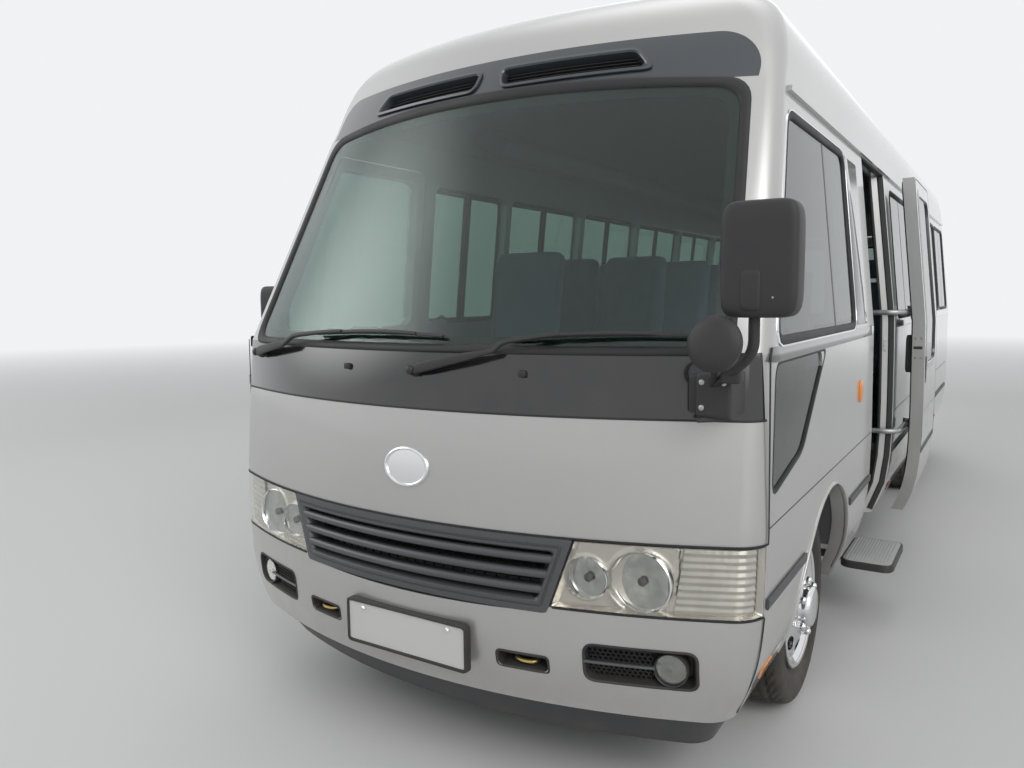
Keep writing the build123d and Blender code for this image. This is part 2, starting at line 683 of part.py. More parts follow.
with BuildPart() as shut_door:
    add(shell.part)
    extrude(doorway_plan(0, DOOR_GAP), amount=DOOR_TOP_Z - DOOR_GAP, dir=(0, 0, 1), mode=Mode.INTERSECT)
    span((0, FAR), (DOOR_FRONT_Y, DOOR_REAR_Y), (0, DOOR_BOTTOM_Z), mode=Mode.SUBTRACT)
    extrude(side_outline(DOOR_GLASS, DOOR_GLASS_CORNER), amount=FAR, mode=Mode.SUBTRACT)
    for level in ARM_LEVELS:
        for lug_z in (level + EYE_HEIGHT / 2 + PIN_GAP, level - EYE_HEIGHT / 2 - PIN_GAP - LUG_THICK):
            span(
                (PIN_SHUT_X, side_x_at(max(level, BELT_Z)) - WALL + 10),
                (PIN_SHUT_Y - EYE_RADIUS, PIN_SHUT_Y + EYE_RADIUS),
                (lug_z, lug_z + LUG_THICK),
            )
            with Locations((PIN_SHUT_X, PIN_SHUT_Y, lug_z + LUG_THICK / 2)):
                Cylinder(EYE_RADIUS, LUG_THICK)
        with Locations((PIN_SHUT_X, PIN_SHUT_Y, level)):
            Cylinder(PIN_RADIUS, EYE_HEIGHT + 2 * PIN_GAP + LUG_THICK)
    span(DOOR_BAR_X, DOOR_BAR_Y, (ARM_LEVELS[1] - DOOR_BAR_HEIGHT / 2, ARM_LEVELS[1] + DOOR_BAR_HEIGHT / 2))
with BuildPart() as entrance_door:
    add(shut_door.part.moved(open_place))
entrance_door.part.label = "entrance_door"
export_step(entrance_door.part, "parts/entrance_door.step")

with BuildPart() as shut_pane:
    extrude(side_outline(DOOR_GLASS, DOOR_GLASS_CORNER, SEAT_GAP), amount=FAR)
    add(glass_skin.part, mode=Mode.INTERSECT)
with BuildPart() as entrance_door_glass:
    add(shut_pane.part.moved(open_place))
entrance_door_glass.part.label = "entrance_door_glass"
export_step(entrance_door_glass.part, "parts/entrance_door_glass.step")

# Door arms, as they stand with the door open
POST_LOW_Z = STEP_LOW_Z + SEAT_GAP
POST_TOP_Z = KEEPER_Z + 2 * KEEPER_THICK
ARM_BEND = 75.0
with BuildPart() as door_arms:
    with BuildSketch(Plane.XY.offset(POST_LOW_Z)) as post_section:
        with Locations((POST_X, POST_Y)):
            Circle(POST_RADIUS)
    extrude(amount=POST_TOP_Z - POST_LOW_Z)
    for level in ARM_LEVELS:
        with BuildLine() as arm_path:
            FilletPolyline(
                (POST_X, POST_Y, level), (PIN_OPEN_X, POST_Y, level), (PIN_OPEN_X, PIN_OPEN_Y, level), radius=ARM_BEND
            )
        with BuildSketch(Plane((POST_X, POST_Y, level), x_dir=(0, 1, 0), z_dir=(1, 0, 0))) as arm_section:
            Circle(ARM_RADIUS)
        sweep(path=arm_path.wires()[0])
        with Locations((PIN_OPEN_X, PIN_OPEN_Y, level)):
            Cylinder(EYE_RADIUS, EYE_HEIGHT)
            Cylinder(PIN_RADIUS + PIN_GAP, 2 * EYE_HEIGHT, mode=Mode.SUBTRACT)
door_arms.part.label = "door_arms"
export_step(door_arms.part, "parts/door_arms.step")


def rod(start, end, radius, mode=Mode.ADD):
    """Round bar between two points."""
    axis = Vector(*end) - Vector(*start)
    with BuildSketch(Plane(origin=start, z_dir=axis)) as section:
        Circle(radius)
    extrude(section.sketch, amount=axis.length, mode=mode)


def front_prism(points, y, mode=Mode.ADD):
    """Block with an outline seen from the front, between the low and high ends of y."""
    with BuildSketch(Plane.XZ.offset(-y[1])) as outline:
        with BuildLine():
            Polyline(*points, close=True)
        make_face()
    extrude(outline.sketch, amount=y[1] - y[0], mode=mode)


def side_prism(points, x, mode=Mode.ADD):
    """Block with an outline seen from the side, between the low and high ends of x."""
    with BuildSketch(Plane.YZ.offset(x[0])) as outline:
        with BuildLine():
            Polyline(*points, close=True)
        make_face()
    extrude(outline.sketch, amount=x[1] - x[0], mode=mode)


def pair_x(side, near, far):
    """Low and high X of something between two distances from the middle, on one side."""
    return sorted((side * near, side * far))


# Front bumper, grille, lamps and lip
FOG_SLOT_X = (585.0, 885.0)
FOG_SLOT_Z = (447.0, 559.0)
FOG_X = 815.0
FOG_Z = 501.0
FOG_RADIUS = 48.0
FOG_OUT = 12.0
TOW_SLOT_X = (320.0, 480.0)
TOW_SLOT_Z = (450.0, 500.0)
SLOT_CORNER = 22.0
GRILLE_FRAME = 32.0
LOUVRE_COUNT = 3
LOUVRE_HEIGHT = 26.0

with BuildPart() as bumper_slots:
    for side in (-1, 1):
        extrude(front_view_box(pair_x(side, *FOG_SLOT_X), FOG_SLOT_Z, SLOT_CORNER), amount=-FRONT_Y)
        extrude(front_view_box(pair_x(side, *TOW_SLOT_X), TOW_SLOT_Z, SLOT_CORNER), amount=-FRONT_Y)
    add(recess_form, mode=Mode.SUBTRACT)

with BuildPart() as front_bumper:
    add(shell.part)
    span(ALL_X, FRONT_ZONE_Y, (0, LAMP_LOW_Z), mode=Mode.INTERSECT)
    add(grille_block.part, mode=Mode.SUBTRACT)
    add(bumper_slots.part, mode=Mode.SUBTRACT)
front_bumper.part.label = "front_bumper"
export_step(front_bumper.part, "parts/front_bumper.step")

LIP_LEVELS = (Level(SKIRT_Z, 115, 85, 2330, 100, 80, 110), Level(205, 175, 185, 2330, 90, 150, 100))
LIP_THICK = 28.0
LIP_REAR_Y = -2860.0
with BuildPart() as bumper_lip:
    loft(sections=[plan_outline(level, 0) for level in LIP_LEVELS], ruled=True)
    loft(sections=[plan_outline(level, LIP_THICK) for level in LIP_LEVELS], ruled=True, mode=Mode.SUBTRACT)
    span(ALL_X, (LIP_REAR_Y, REAR_Y), (0, SKIRT_Z), mode=Mode.SUBTRACT)
bumper_lip.part.label = "bumper_lip"
export_step(bumper_lip.part, "parts/bumper_lip.step")

with BuildPart() as grille_gaps:
    extrude(grille_outline(GRILLE_FRAME), amount=-FRONT_Y)
    pitch = (LAMP_TOP_Z - GRILLE_LOW_Z - 2 * GRILLE_FRAME + LOUVRE_HEIGHT) / (LOUVRE_COUNT + 1)
    for i in range(LOUVRE_COUNT):
        louvre_z = GRILLE_LOW_Z + GRILLE_FRAME + (i + 1) * pitch - LOUVRE_HEIGHT
        span(ALL_X, FRONT_ZONE_Y, (louvre_z, louvre_z + LOUVRE_HEIGHT), mode=Mode.SUBTRACT)
    add(recess_form, mode=Mode.SUBTRACT)

with BuildPart() as grille:
    add(shell.part)
    add(grille_block.part, mode=Mode.INTERSECT)
    add(grille_gaps.part, mode=Mode.SUBTRACT)
grille.part.label = "grille"
export_step(grille.part, "parts/grille.step")

with BuildPart() as front_lamps:
    add(shell.part)
    span(ALL_X, FRONT_ZONE_Y, (LAMP_LOW_Z, LAMP_TOP_Z), mode=Mode.INTERSECT)
    add(grille_block.part, mode=Mode.SUBTRACT)
front_lamps.part.label = "front_lamps"
export_step(front_lamps.part, "parts/front_lamps.step")

with BuildPart() as fog_lamps:
    for side in (-1, 1):
        with Locations(Location((side * FOG_X, FRONT_Y + 150, FOG_Z), (90, 0, 0))):
            Cylinder(FOG_RADIUS, 260)
    add(body_form(FOG_OUT, BODY_STAGES[:1]), mode=Mode.INTERSECT)
    add(body_form(RECESS - SEAT_GAP, BODY_STAGES[:1]), mode=Mode.SUBTRACT)
fog_lamps.part.label = "fog_lamps"
export_step(fog_lamps.part, "parts/fog_lamps.step")

PLATE_HALF = 235.0
PLATE_Z = (425.0, 560.0)
PLATE_THICK = 14.0
with BuildPart() as number_plate:
    span((-PLATE_HALF, PLATE_HALF), (FRONT_Y - 5, FRONT_Y + 60), PLATE_Z)
    add(body_form(-SEAT_GAP, BODY_STAGES[:1]), mode=Mode.SUBTRACT)
    span((-PLATE_HALF, PLATE_HALF), (FRONT_Y - 5 + PLATE_THICK + 10, FRONT_Y + 60), PLATE_Z, mode=Mode.SUBTRACT)
number_plate.part.label = "number_plate"
export_step(number_plate.part, "parts/number_plate.step")

# Floor pan with wheel housings and engine hump
WELL_FRONT_Y = DOOR_FRONT_Y
WELL_REAR_Y = DOOR_REAR_Y
WELL_OUTER_X = 912.0
WELL_WALL = 20.0
HUMP_HALF = 330.0
HUMP_Y = (-2760.0, -1660.0)
HUMP_TOP_Z = 1000.0
HUMP_CHAMFER = 60.0
HUMP_WALL = 12.0
HOUSING_WALL = 10.0
HOUSING_LOW_Z = 480.0
# Columns: axle place, housing radius, inner face distance from the middle
HOUSINGS = ((FRONT_AXLE_Y, ARCH_RADIUS + 5, 510.0), (REAR_AXLE_Y, REAR_ARCH_RADIUS + 5, 490.0))

GUIDE_ARM_YS = (-1330.0, -1120.0)
GUIDE_X = (450.0, 690.0)
GUIDE_HALF = 22.0
GUIDE_Z = (258.0, 302.0)
GUIDE_WALL = 5.0
SLIDE_ARM_HALF = GUIDE_HALF - GUIDE_WALL - RUN_GAP
DOOR_CLEAR = 12.0
CAB_SILL_X = (-FAR, WALL + DOOR_CLEAR - SIDE_X)
REAR_FLOOR_Y = REAR_Y - 150.0


def hump_outline(inset):
    """Engine hump seen from the front, drawn in by inset."""
    half = HUMP_HALF - inset
    top = HUMP_TOP_Z - inset
    low = FLOOR_Z - FLOOR_THICK
    return (
        (-half, low),
        (half, low),
        (half, top - HUMP_CHAMFER),
        (half - HUMP_CHAMFER, top),
        (HUMP_CHAMFER - half, top),
        (-half, top - HUMP_CHAMFER),
    )


with BuildPart() as floor_pan:
    span(ALL_X, (FRONT_Y, REAR_Y), (FLOOR_Z - FLOOR_THICK, FLOOR_Z))
    span((WELL_INNER_X, FAR), (WELL_FRONT_Y, WELL_REAR_Y), (0, HEIGHT), mode=Mode.SUBTRACT)
    for axle_y, radius, inner_x in HOUSINGS:
        outer_radius = radius + HOUSING_WALL
        for side in (-1, 1):
            with Locations(Location((side * (inner_x + FAR) / 2, axle_y, TYRE_RADIUS), (0, 90, 0))):
                Cylinder(outer_radius, FAR - inner_x)
            with Locations(Location((side * (inner_x + HOUSING_WALL + FAR) / 2, axle_y, TYRE_RADIUS), (0, 90, 0))):
                Cylinder(radius, FAR - inner_x - HOUSING_WALL, mode=Mode.SUBTRACT)
            span(
                pair_x(side, inner_x, FAR),
                (axle_y - outer_radius, axle_y + outer_radius),
                (-FAR, HOUSING_LOW_Z),
                mode=Mode.SUBTRACT,
            )
    front_prism(hump_outline(0), HUMP_Y)
    front_prism(hump_outline(HUMP_WALL), (HUMP_Y[0] + HUMP_WALL, HUMP_Y[1] - HUMP_WALL), mode=Mode.SUBTRACT)
    add(lining_form, mode=Mode.INTERSECT)
    span(CAB_SILL_X, (CAB_DOOR_FRONT_Y - 10, FRONT_AXLE_Y - 380), (0, HEIGHT), mode=Mode.SUBTRACT)
    span((-LEAF_HALF - 10, LEAF_HALF + 10), (REAR_FLOOR_Y, REAR_Y), (0, HEIGHT), mode=Mode.SUBTRACT)
floor_pan.part.label = "floor_pan"
export_step(floor_pan.part, "parts/floor_pan.step")

# Well with the entrance steps, and the guides of the entry step under it
WELL_Y = (WELL_FRONT_Y, WELL_REAR_Y)
WELL_TOP_Z = FLOOR_Z - FLOOR_THICK
MID_LOW_Z = STEP_MID_Z - WELL_WALL
with BuildPart() as entrance_well:
    span((WELL_INNER_X - WELL_WALL, WELL_INNER_X), (WELL_Y[0] - WELL_WALL, WELL_Y[1] + WELL_WALL), (MID_LOW_Z, WELL_TOP_Z))
    for wall_y in ((WELL_Y[0] - WELL_WALL, WELL_Y[0]), (WELL_Y[1], WELL_Y[1] + WELL_WALL)):
        span((WELL_INNER_X, WELL_MID_X), wall_y, (MID_LOW_Z, WELL_TOP_Z))
        span((WELL_MID_X - WELL_WALL, WELL_OUTER_X), wall_y, (STEP_LOW_Z - WELL_WALL, WELL_TOP_Z))
    span((WELL_INNER_X, WELL_MID_X), WELL_Y, (MID_LOW_Z, STEP_MID_Z))
    span((WELL_MID_X - WELL_WALL, WELL_MID_X), WELL_Y, (STEP_LOW_Z - WELL_WALL, MID_LOW_Z))
    span((WELL_MID_X, WELL_OUTER_X), WELL_Y, (STEP_LOW_Z - WELL_WALL, STEP_LOW_Z))
    add(lining_form, mode=Mode.INTERSECT)
    for arm_y in GUIDE_ARM_YS:
        span(GUIDE_X, (arm_y - GUIDE_HALF, arm_y + GUIDE_HALF), GUIDE_Z)
        span((GUIDE_X[0] + 20, WELL_MID_X - WELL_WALL), (arm_y - GUIDE_HALF, arm_y + GUIDE_HALF), (GUIDE_Z[1], MID_LOW_Z))
        span(
            GUIDE_X,
            (arm_y - GUIDE_HALF + GUIDE_WALL, arm_y + GUIDE_HALF - GUIDE_WALL),
            (GUIDE_Z[0] + GUIDE_WALL, GUIDE_Z[1] - GUIDE_WALL),
            mode=Mode.SUBTRACT,
        )
entrance_well.part.label = "entrance_well"
export_step(entrance_well.part, "parts/entrance_well.step")

# Chassis frame
RAIL_WEB = 8.0
TOW_BORE = 20.0
TOW_THICK = 24.0
FRONT_TOW_Y = RAIL_FRONT_Y - 30.0
REAR_TOW_Y = RAIL_REAR_Y - 60.0
TOW_Z = 480.0
TOW_HALF = 45.0
TOW_ROOT = 60.0
FRONT_ROOT_Y = (RAIL_FRONT_Y, RAIL_FRONT_Y + TOW_ROOT)
REAR_ROOT_Y = (REAR_TOW_Y - TOW_HALF - TOW_ROOT, REAR_TOW_Y - TOW_HALF)
CROSS_LOW_Z = 600.0
CROSS_HALF = 35.0
CROSS_YS = (-3080.0, -1500.0, -640.0, 300.0, 1000.0, 2250.0, 3250.0)

with BuildPart() as chassis_frame:
    for side in (-1, 1):
        span(
            pair_x(side, RAIL_X - RAIL_WIDTH / 2, RAIL_X + RAIL_WIDTH / 2),
            (RAIL_FRONT_Y, RAIL_REAR_Y),
            (RAIL_LOW_Z, RAIL_TOP_Z),
        )
        span(
            pair_x(side, RAIL_X - RAIL_WIDTH / 2, RAIL_X + RAIL_WIDTH / 2 - RAIL_WEB),
            (RAIL_FRONT_Y, RAIL_REAR_Y),
            (RAIL_LOW_Z + RAIL_WEB, RAIL_TOP_Z - RAIL_WEB),
            mode=Mode.SUBTRACT,
        )
    for cross_y in CROSS_YS:
        span(
            (-RAIL_X - RAIL_WIDTH / 2 + RAIL_WEB, RAIL_X + RAIL_WIDTH / 2 - RAIL_WEB),
            (cross_y - CROSS_HALF, cross_y + CROSS_HALF),
            (CROSS_LOW_Z, RAIL_TOP_Z),
        )
    for side in (-1, 1):
        for eye_y, root_y in ((FRONT_TOW_Y, FRONT_ROOT_Y), (REAR_TOW_Y, REAR_ROOT_Y)):
            plate_y = (min(eye_y, root_y[0]), max(eye_y, root_y[1]))
            with BuildSketch(Plane.XY.offset(TOW_Z - TOW_THICK / 2)):
                with Locations((side * RAIL_X, (plate_y[0] + plate_y[1]) / 2)):
                    Rectangle(2 * TOW_HALF, plate_y[1] - plate_y[0])
                with Locations((side * RAIL_X, eye_y)):
                    Circle(TOW_HALF)
                    Circle(TOW_BORE, mode=Mode.SUBTRACT)
            extrude(amount=TOW_THICK)
            span(
                pair_x(side, RAIL_X - RAIL_WIDTH / 2, RAIL_X + RAIL_WIDTH / 2),
                root_y,
                (TOW_Z, RAIL_LOW_Z + RAIL_WEB),
            )
chassis_frame.part.label = "chassis_frame"
export_step(chassis_frame.part, "parts/chassis_frame.step")

# Engine with its gearbox
ENGINE_HALF = 270.0
ENGINE_Y = (-2650.0, -1750.0)
ENGINE_Z = (400.0, 950.0)
GEARBOX_HALF = 150.0
GEARBOX_END_Y = -1100.0
GEARBOX_Z = (420.0, 590.0)
with BuildPart() as engine_block:
    span((-ENGINE_HALF, ENGINE_HALF), ENGINE_Y, (ENGINE_Z[0] + 90, ENGINE_Z[1] - 130))
    span((-ENGINE_HALF + 60, ENGINE_HALF - 60), (ENGINE_Y[0] + 40, ENGINE_Y[1] - 40), (ENGINE_Z[1] - 130, ENGINE_Z[1]))
    span((-ENGINE_HALF + 80, ENGINE_HALF - 80), (ENGINE_Y[0] + 250, ENGINE_Y[1]), (ENGINE_Z[0], ENGINE_Z[0] + 90))
    span((-GEARBOX_HALF, GEARBOX_HALF), (ENGINE_Y[1], GEARBOX_END_Y), GEARBOX_Z)
    for side in (-1, 1):
        for mount_y in (ENGINE_Y[0] + 180, ENGINE_Y[1] - 180):
            span(
                pair_x(side, ENGINE_HALF, RAIL_X - RAIL_WIDTH / 2),
                (mount_y - 40, mount_y + 40),
                (RAIL_LOW_Z - 30, RAIL_LOW_Z + RAIL_WEB),
            )
engine_block.part.label = "engine_block"
export_step(engine_block.part, "parts/engine_block.step")

# Fuel tank against the right rail
TANK_X = (-860.0, -RAIL_X - RAIL_WIDTH / 2)
TANK_Y = (-300.0, 750.0)
TANK_Z = (380.0, 640.0)
TANK_CORNER = 45.0
with BuildPart() as fuel_tank:
    with BuildSketch(Plane.XZ.offset(-TANK_Y[1])):
        with Locations(((TANK_X[0] + TANK_X[1]) / 2, (TANK_Z[0] + TANK_Z[1]) / 2)):
            RectangleRounded(TANK_X[1] - TANK_X[0], TANK_Z[1] - TANK_Z[0], TANK_CORNER)
    extrude(amount=TANK_Y[1] - TANK_Y[0])
fuel_tank.part.label = "fuel_tank"
export_step(fuel_tank.part, "parts/fuel_tank.step")

# Exhaust along the left rail's inner side
PIPE_X = 245.0
PIPE_Z = 492.0
PIPE_RADIUS = 26.0
MUFFLER_Y = (-900.0, -250.0)
MUFFLER_RADIUS = 78.0
with BuildPart() as exhaust:
    rod((PIPE_X, ENGINE_Y[1], PIPE_Z), (PIPE_X, 2900, PIPE_Z), PIPE_RADIUS)
    rod((PIPE_X, MUFFLER_Y[0], PIPE_Z), (PIPE_X, MUFFLER_Y[1], PIPE_Z), MUFFLER_RADIUS)
    rod((PIPE_X, 2860, PIPE_Z), (PIPE_X, 3300, 400), PIPE_RADIUS)
    for hanger_y in (1000.0, 2250.0):
        span((PIPE_X - 8, PIPE_X + 8), (hanger_y - 12, hanger_y + 12), (PIPE_Z, CROSS_LOW_Z))
exhaust.part.label = "exhaust"
export_step(exhaust.part, "parts/exhaust.step")

# Front beam axle with its springs
KINGPIN_RADIUS = 14.0
BOSS_RADIUS = 34.0
BOSS_Z = (350.0, 450.0)
BEAM_HALF = 36.0
BEAM_FLAT_HALF = 490.0
SPRING_X = (365.0, 435.0)
SPRING_THICK = 30.0
SPRING_RISE = 130.0
BEAM_TOP_Z = 315.0


def leaf_spring(axle_y, low_z, reach, rise):
    """Arched spring pair over an axle with its eyes and the brackets up to the rails."""
    for side in (-1, 1):
        x = pair_x(side, *SPRING_X)
        with BuildSketch(Plane.YZ.offset(x[0])) as band:
            with BuildLine():
                ThreePointArc((axle_y - reach, low_z + rise), (axle_y, low_z), (axle_y + reach, low_z + rise))
                Line((axle_y + reach, low_z + rise), (axle_y + reach, low_z + rise + SPRING_THICK))
                ThreePointArc(
                    (axle_y + reach, low_z + rise + SPRING_THICK),
                    (axle_y, low_z + SPRING_THICK),
                    (axle_y - reach, low_z + rise + SPRING_THICK),
                )
                Line((axle_y - reach, low_z + rise + SPRING_THICK), (axle_y - reach, low_z + rise))
            make_face()
        extrude(band.sketch, amount=x[1] - x[0])
        for end in (-1, 1):
            span(x, (axle_y + end * reach - 40, axle_y + end * reach + 40), (low_z + rise, RAIL_LOW_Z))
        span(x, (axle_y - 110, axle_y + 110), (low_z + 2, low_z + SPRING_THICK + 25))


with BuildPart() as front_suspension:
    front_prism(
        (
            (-KINGPIN_X, BOSS_Z[0] + 10),
            (-KINGPIN_X + 60, BOSS_Z[0] - 10),
            (-BEAM_FLAT_HALF, 250),
            (BEAM_FLAT_HALF, 250),
            (KINGPIN_X - 60, BOSS_Z[0] - 10),
            (KINGPIN_X, BOSS_Z[0] + 10),
            (KINGPIN_X, BOSS_Z[1] - 10),
            (KINGPIN_X - 50, BOSS_Z[1] - 20),
            (530, BEAM_TOP_Z),
            (-530, BEAM_TOP_Z),
            (-KINGPIN_X + 50, BOSS_Z[1] - 20),
            (-KINGPIN_X, BOSS_Z[1] - 10),
        ),
        (FRONT_AXLE_Y - BEAM_HALF, FRONT_AXLE_Y + BEAM_HALF),
    )
    for side in (-1, 1):
        span(
            pair_x(side, KINGPIN_X, KINGPIN_X + 100),
            (FRONT_AXLE_Y - 60, FRONT_AXLE_Y + 60),
            (0, 600),
            mode=Mode.SUBTRACT,
        )
    with BuildSketch(Plane.XY.offset(BOSS_Z[0])):
        with Locations((-KINGPIN_X, FRONT_AXLE_Y), (KINGPIN_X, FRONT_AXLE_Y)):
            Circle(BOSS_RADIUS)
    extrude(amount=BOSS_Z[1] - BOSS_Z[0])
    with Locations((-KINGPIN_X, FRONT_AXLE_Y, TYRE_RADIUS), (KINGPIN_X, FRONT_AXLE_Y, TYRE_RADIUS)):
        Cylinder(KINGPIN_RADIUS + PIN_GAP, 400, mode=Mode.SUBTRACT)
    leaf_spring(FRONT_AXLE_Y, BEAM_TOP_Z - 3, 560.0, SPRING_RISE)
front_suspension.part.label = "front_suspension"
export_step(front_suspension.part, "parts/front_suspension.step")

# Rear axle with its springs and the propeller shaft
AXLE_RADIUS = 62.0
REAR_SPINDLE_RADIUS = 40.0
REAR_SHOULDER_X = 480.0
REAR_SPINDLE_END_X = 880.0
DIFF_RADIUS = 150.0
with BuildPart() as rear_suspension:
    rod((-REAR_SHOULDER_X, REAR_AXLE_Y, TYRE_RADIUS), (REAR_SHOULDER_X, REAR_AXLE_Y, TYRE_RADIUS), AXLE_RADIUS)
    rod((-REAR_SPINDLE_END_X, REAR_AXLE_Y, TYRE_RADIUS), (REAR_SPINDLE_END_X, REAR_AXLE_Y, TYRE_RADIUS), REAR_SPINDLE_RADIUS)
    rod((-110, REAR_AXLE_Y, TYRE_RADIUS), (110, REAR_AXLE_Y, TYRE_RADIUS), DIFF_RADIUS)
    rod((0, GEARBOX_END_Y - 4, 505), (0, REAR_AXLE_Y - 120, TYRE_RADIUS + 20), 36)
    span((-80, 80), (GEARBOX_END_Y - 20, GEARBOX_END_Y), (440, 570), mode=Mode.SUBTRACT)
    leaf_spring(REAR_AXLE_Y, TYRE_RADIUS + AXLE_RADIUS - 2, 650.0, 60.0)
rear_suspension.part.label = "rear_suspension"
export_step(rear_suspension.part, "parts/rear_suspension.step")

# Steering knuckles and the track rod between their arms
LUG_LOW_Z = (300.0, 340.0)
LUG_HIGH_Z = (460.0, 500.0)
YOKE_X = (790.0, 818.0)
SPINDLE_RADIUS = 30.0
SPINDLE_END_X = 930.0
ARM_END = (655.0, FRONT_AXLE_Y + 170.0)
TRACK_ROD_Z = 256.0
TRACK_ROD_RADIUS = 14.0
BALL_RADIUS = 10.0
ROD_EYE_HEIGHT = 2 * TRACK_ROD_RADIUS + 6
SLOT_REACH = 39.0
SLOT_WIDTH = 38.0
SLOT_WALL = 8.0


def knuckle(side, name):
    """Steering knuckle with its kingpin, spindle and steering arm; side is 1 on the left."""
    with BuildPart() as body:
        for lug in (LUG_LOW_Z, LUG_HIGH_Z):
            with BuildSketch(Plane.XY.offset(lug[0])):
                with Locations((side * KINGPIN_X, FRONT_AXLE_Y)):
                    Circle(BOSS_RADIUS)
                with Locations((side * (KINGPIN_X + YOKE_X[1]) / 2, FRONT_AXLE_Y)):
                    Rectangle(YOKE_X[1] - KINGPIN_X, 2 * BOSS_RADIUS)
            extrude(amount=lug[1] - lug[0])
        span(pair_x(side, *YOKE_X), (FRONT_AXLE_Y - BOSS_RADIUS, FRONT_AXLE_Y + BOSS_RADIUS), (LUG_LOW_Z[0], LUG_HIGH_Z[1]))
        rod((side * KINGPIN_X, FRONT_AXLE_Y, LUG_LOW_Z[0]), (side * KINGPIN_X, FRONT_AXLE_Y, LUG_HIGH_Z[1]), KINGPIN_RADIUS)
        rod((side * YOKE_X[0], FRONT_AXLE_Y, TYRE_RADIUS), (side * SPINDLE_END_X, FRONT_AXLE_Y, TYRE_RADIUS), SPINDLE_RADIUS)
        with BuildSketch(Plane.XY.offset(LUG_LOW_Z[0] - 20)):
            with BuildLine():
                Polyline(
                    (side * (KINGPIN_X + 25), FRONT_AXLE_Y - 20),
                    (side * (ARM_END[0] + 20), ARM_END[1] + 8),
                    (side * (ARM_END[0] - 20), ARM_END[1] - 8),
                    (side * (KINGPIN_X - 30), FRONT_AXLE_Y - 10),
                    close=True,
                )
            make_face()
            with Locations((side * ARM_END[0], ARM_END[1])):
                Circle(22)
            with Locations((side * KINGPIN_X, FRONT_AXLE_Y)):
                Circle(BOSS_RADIUS)
        extrude(amount=20)
        rod(
            (side * ARM_END[0], ARM_END[1], TRACK_ROD_Z - TRACK_ROD_RADIUS - 6),
            (side * ARM_END[0], ARM_END[1], LUG_LOW_Z[0]),
            BALL_RADIUS,
        )
    body.part.label = name
    export_step(body.part, f"parts/{name}.step")


knuckle(1, "knuckle_left")
knuckle(-1, "knuckle_right")

with BuildPart() as track_rod:
    rod((-ARM_END[0], ARM_END[1], TRACK_ROD_Z), (ARM_END[0], ARM_END[1], TRACK_ROD_Z), TRACK_ROD_RADIUS)
    with Locations((ARM_END[0], ARM_END[1], TRACK_ROD_Z)):
        Cylinder(22, ROD_EYE_HEIGHT)
        Cylinder(BALL_RADIUS + PIN_GAP, 2 * ROD_EYE_HEIGHT, mode=Mode.SUBTRACT)
    for width, height, mode in (
        (SLOT_WIDTH + 2 * SLOT_WALL, ROD_EYE_HEIGHT, Mode.ADD),
        (SLOT_WIDTH, 2 * ROD_EYE_HEIGHT, Mode.SUBTRACT),
    ):
        with BuildSketch(Plane.XY.offset(TRACK_ROD_Z - height / 2)):
            with Locations((-ARM_END[0] - SLOT_REACH / 2, ARM_END[1])):
                SlotCenterToCenter(SLOT_REACH, width)
        extrude(amount=height, mode=mode)
track_rod.part.label = "track_rod"
export_step(track_rod.part, "parts/track_rod.step")

# Wheels
TREAD_HALF = 84.0
SHOULDER_DROP = 16.0
SIDE_BULGE_RADIUS = 300.0
BEAD_HALF = 80.0
RIM_WALL = 8.0
DISC_THICK = 12.0
HUB_RADIUS = 72.0
FRONT_DISC_OUT = 40.0
HAND_HOLES = 8
HAND_HOLE_RING = 158.0


def tyre(side, centres, axle_y, name):
    """Tyres of one wheel body, given the distances of their middles from the bus's middle."""
    with BuildPart() as body:
        for centre in centres:
            with BuildSketch(Plane((side * centre, axle_y, TYRE_RADIUS), x_dir=(1, 0, 0), z_dir=(0, -1, 0))):
                with BuildLine():
                    Polyline(
                        (-BEAD_HALF, RIM_RADIUS + SEAT_GAP),
                        (-TYRE_WIDTH / 2, SIDE_BULGE_RADIUS),
                        (-TREAD_HALF - 12, TYRE_RADIUS - SHOULDER_DROP),
                        (-TREAD_HALF + 8, TYRE_RADIUS),
                        (TREAD_HALF - 8, TYRE_RADIUS),
                        (TREAD_HALF + 12, TYRE_RADIUS - SHOULDER_DROP),
                        (TYRE_WIDTH / 2, SIDE_BULGE_RADIUS),
                        (BEAD_HALF, RIM_RADIUS + SEAT_GAP),
                        close=True,
                    )
                make_face()
            revolve(axis=Axis((side * centre, axle_y, TYRE_RADIUS), (1, 0, 0)))
    body.part.label = name
    export_step(body.part, f"parts/{name}.step")


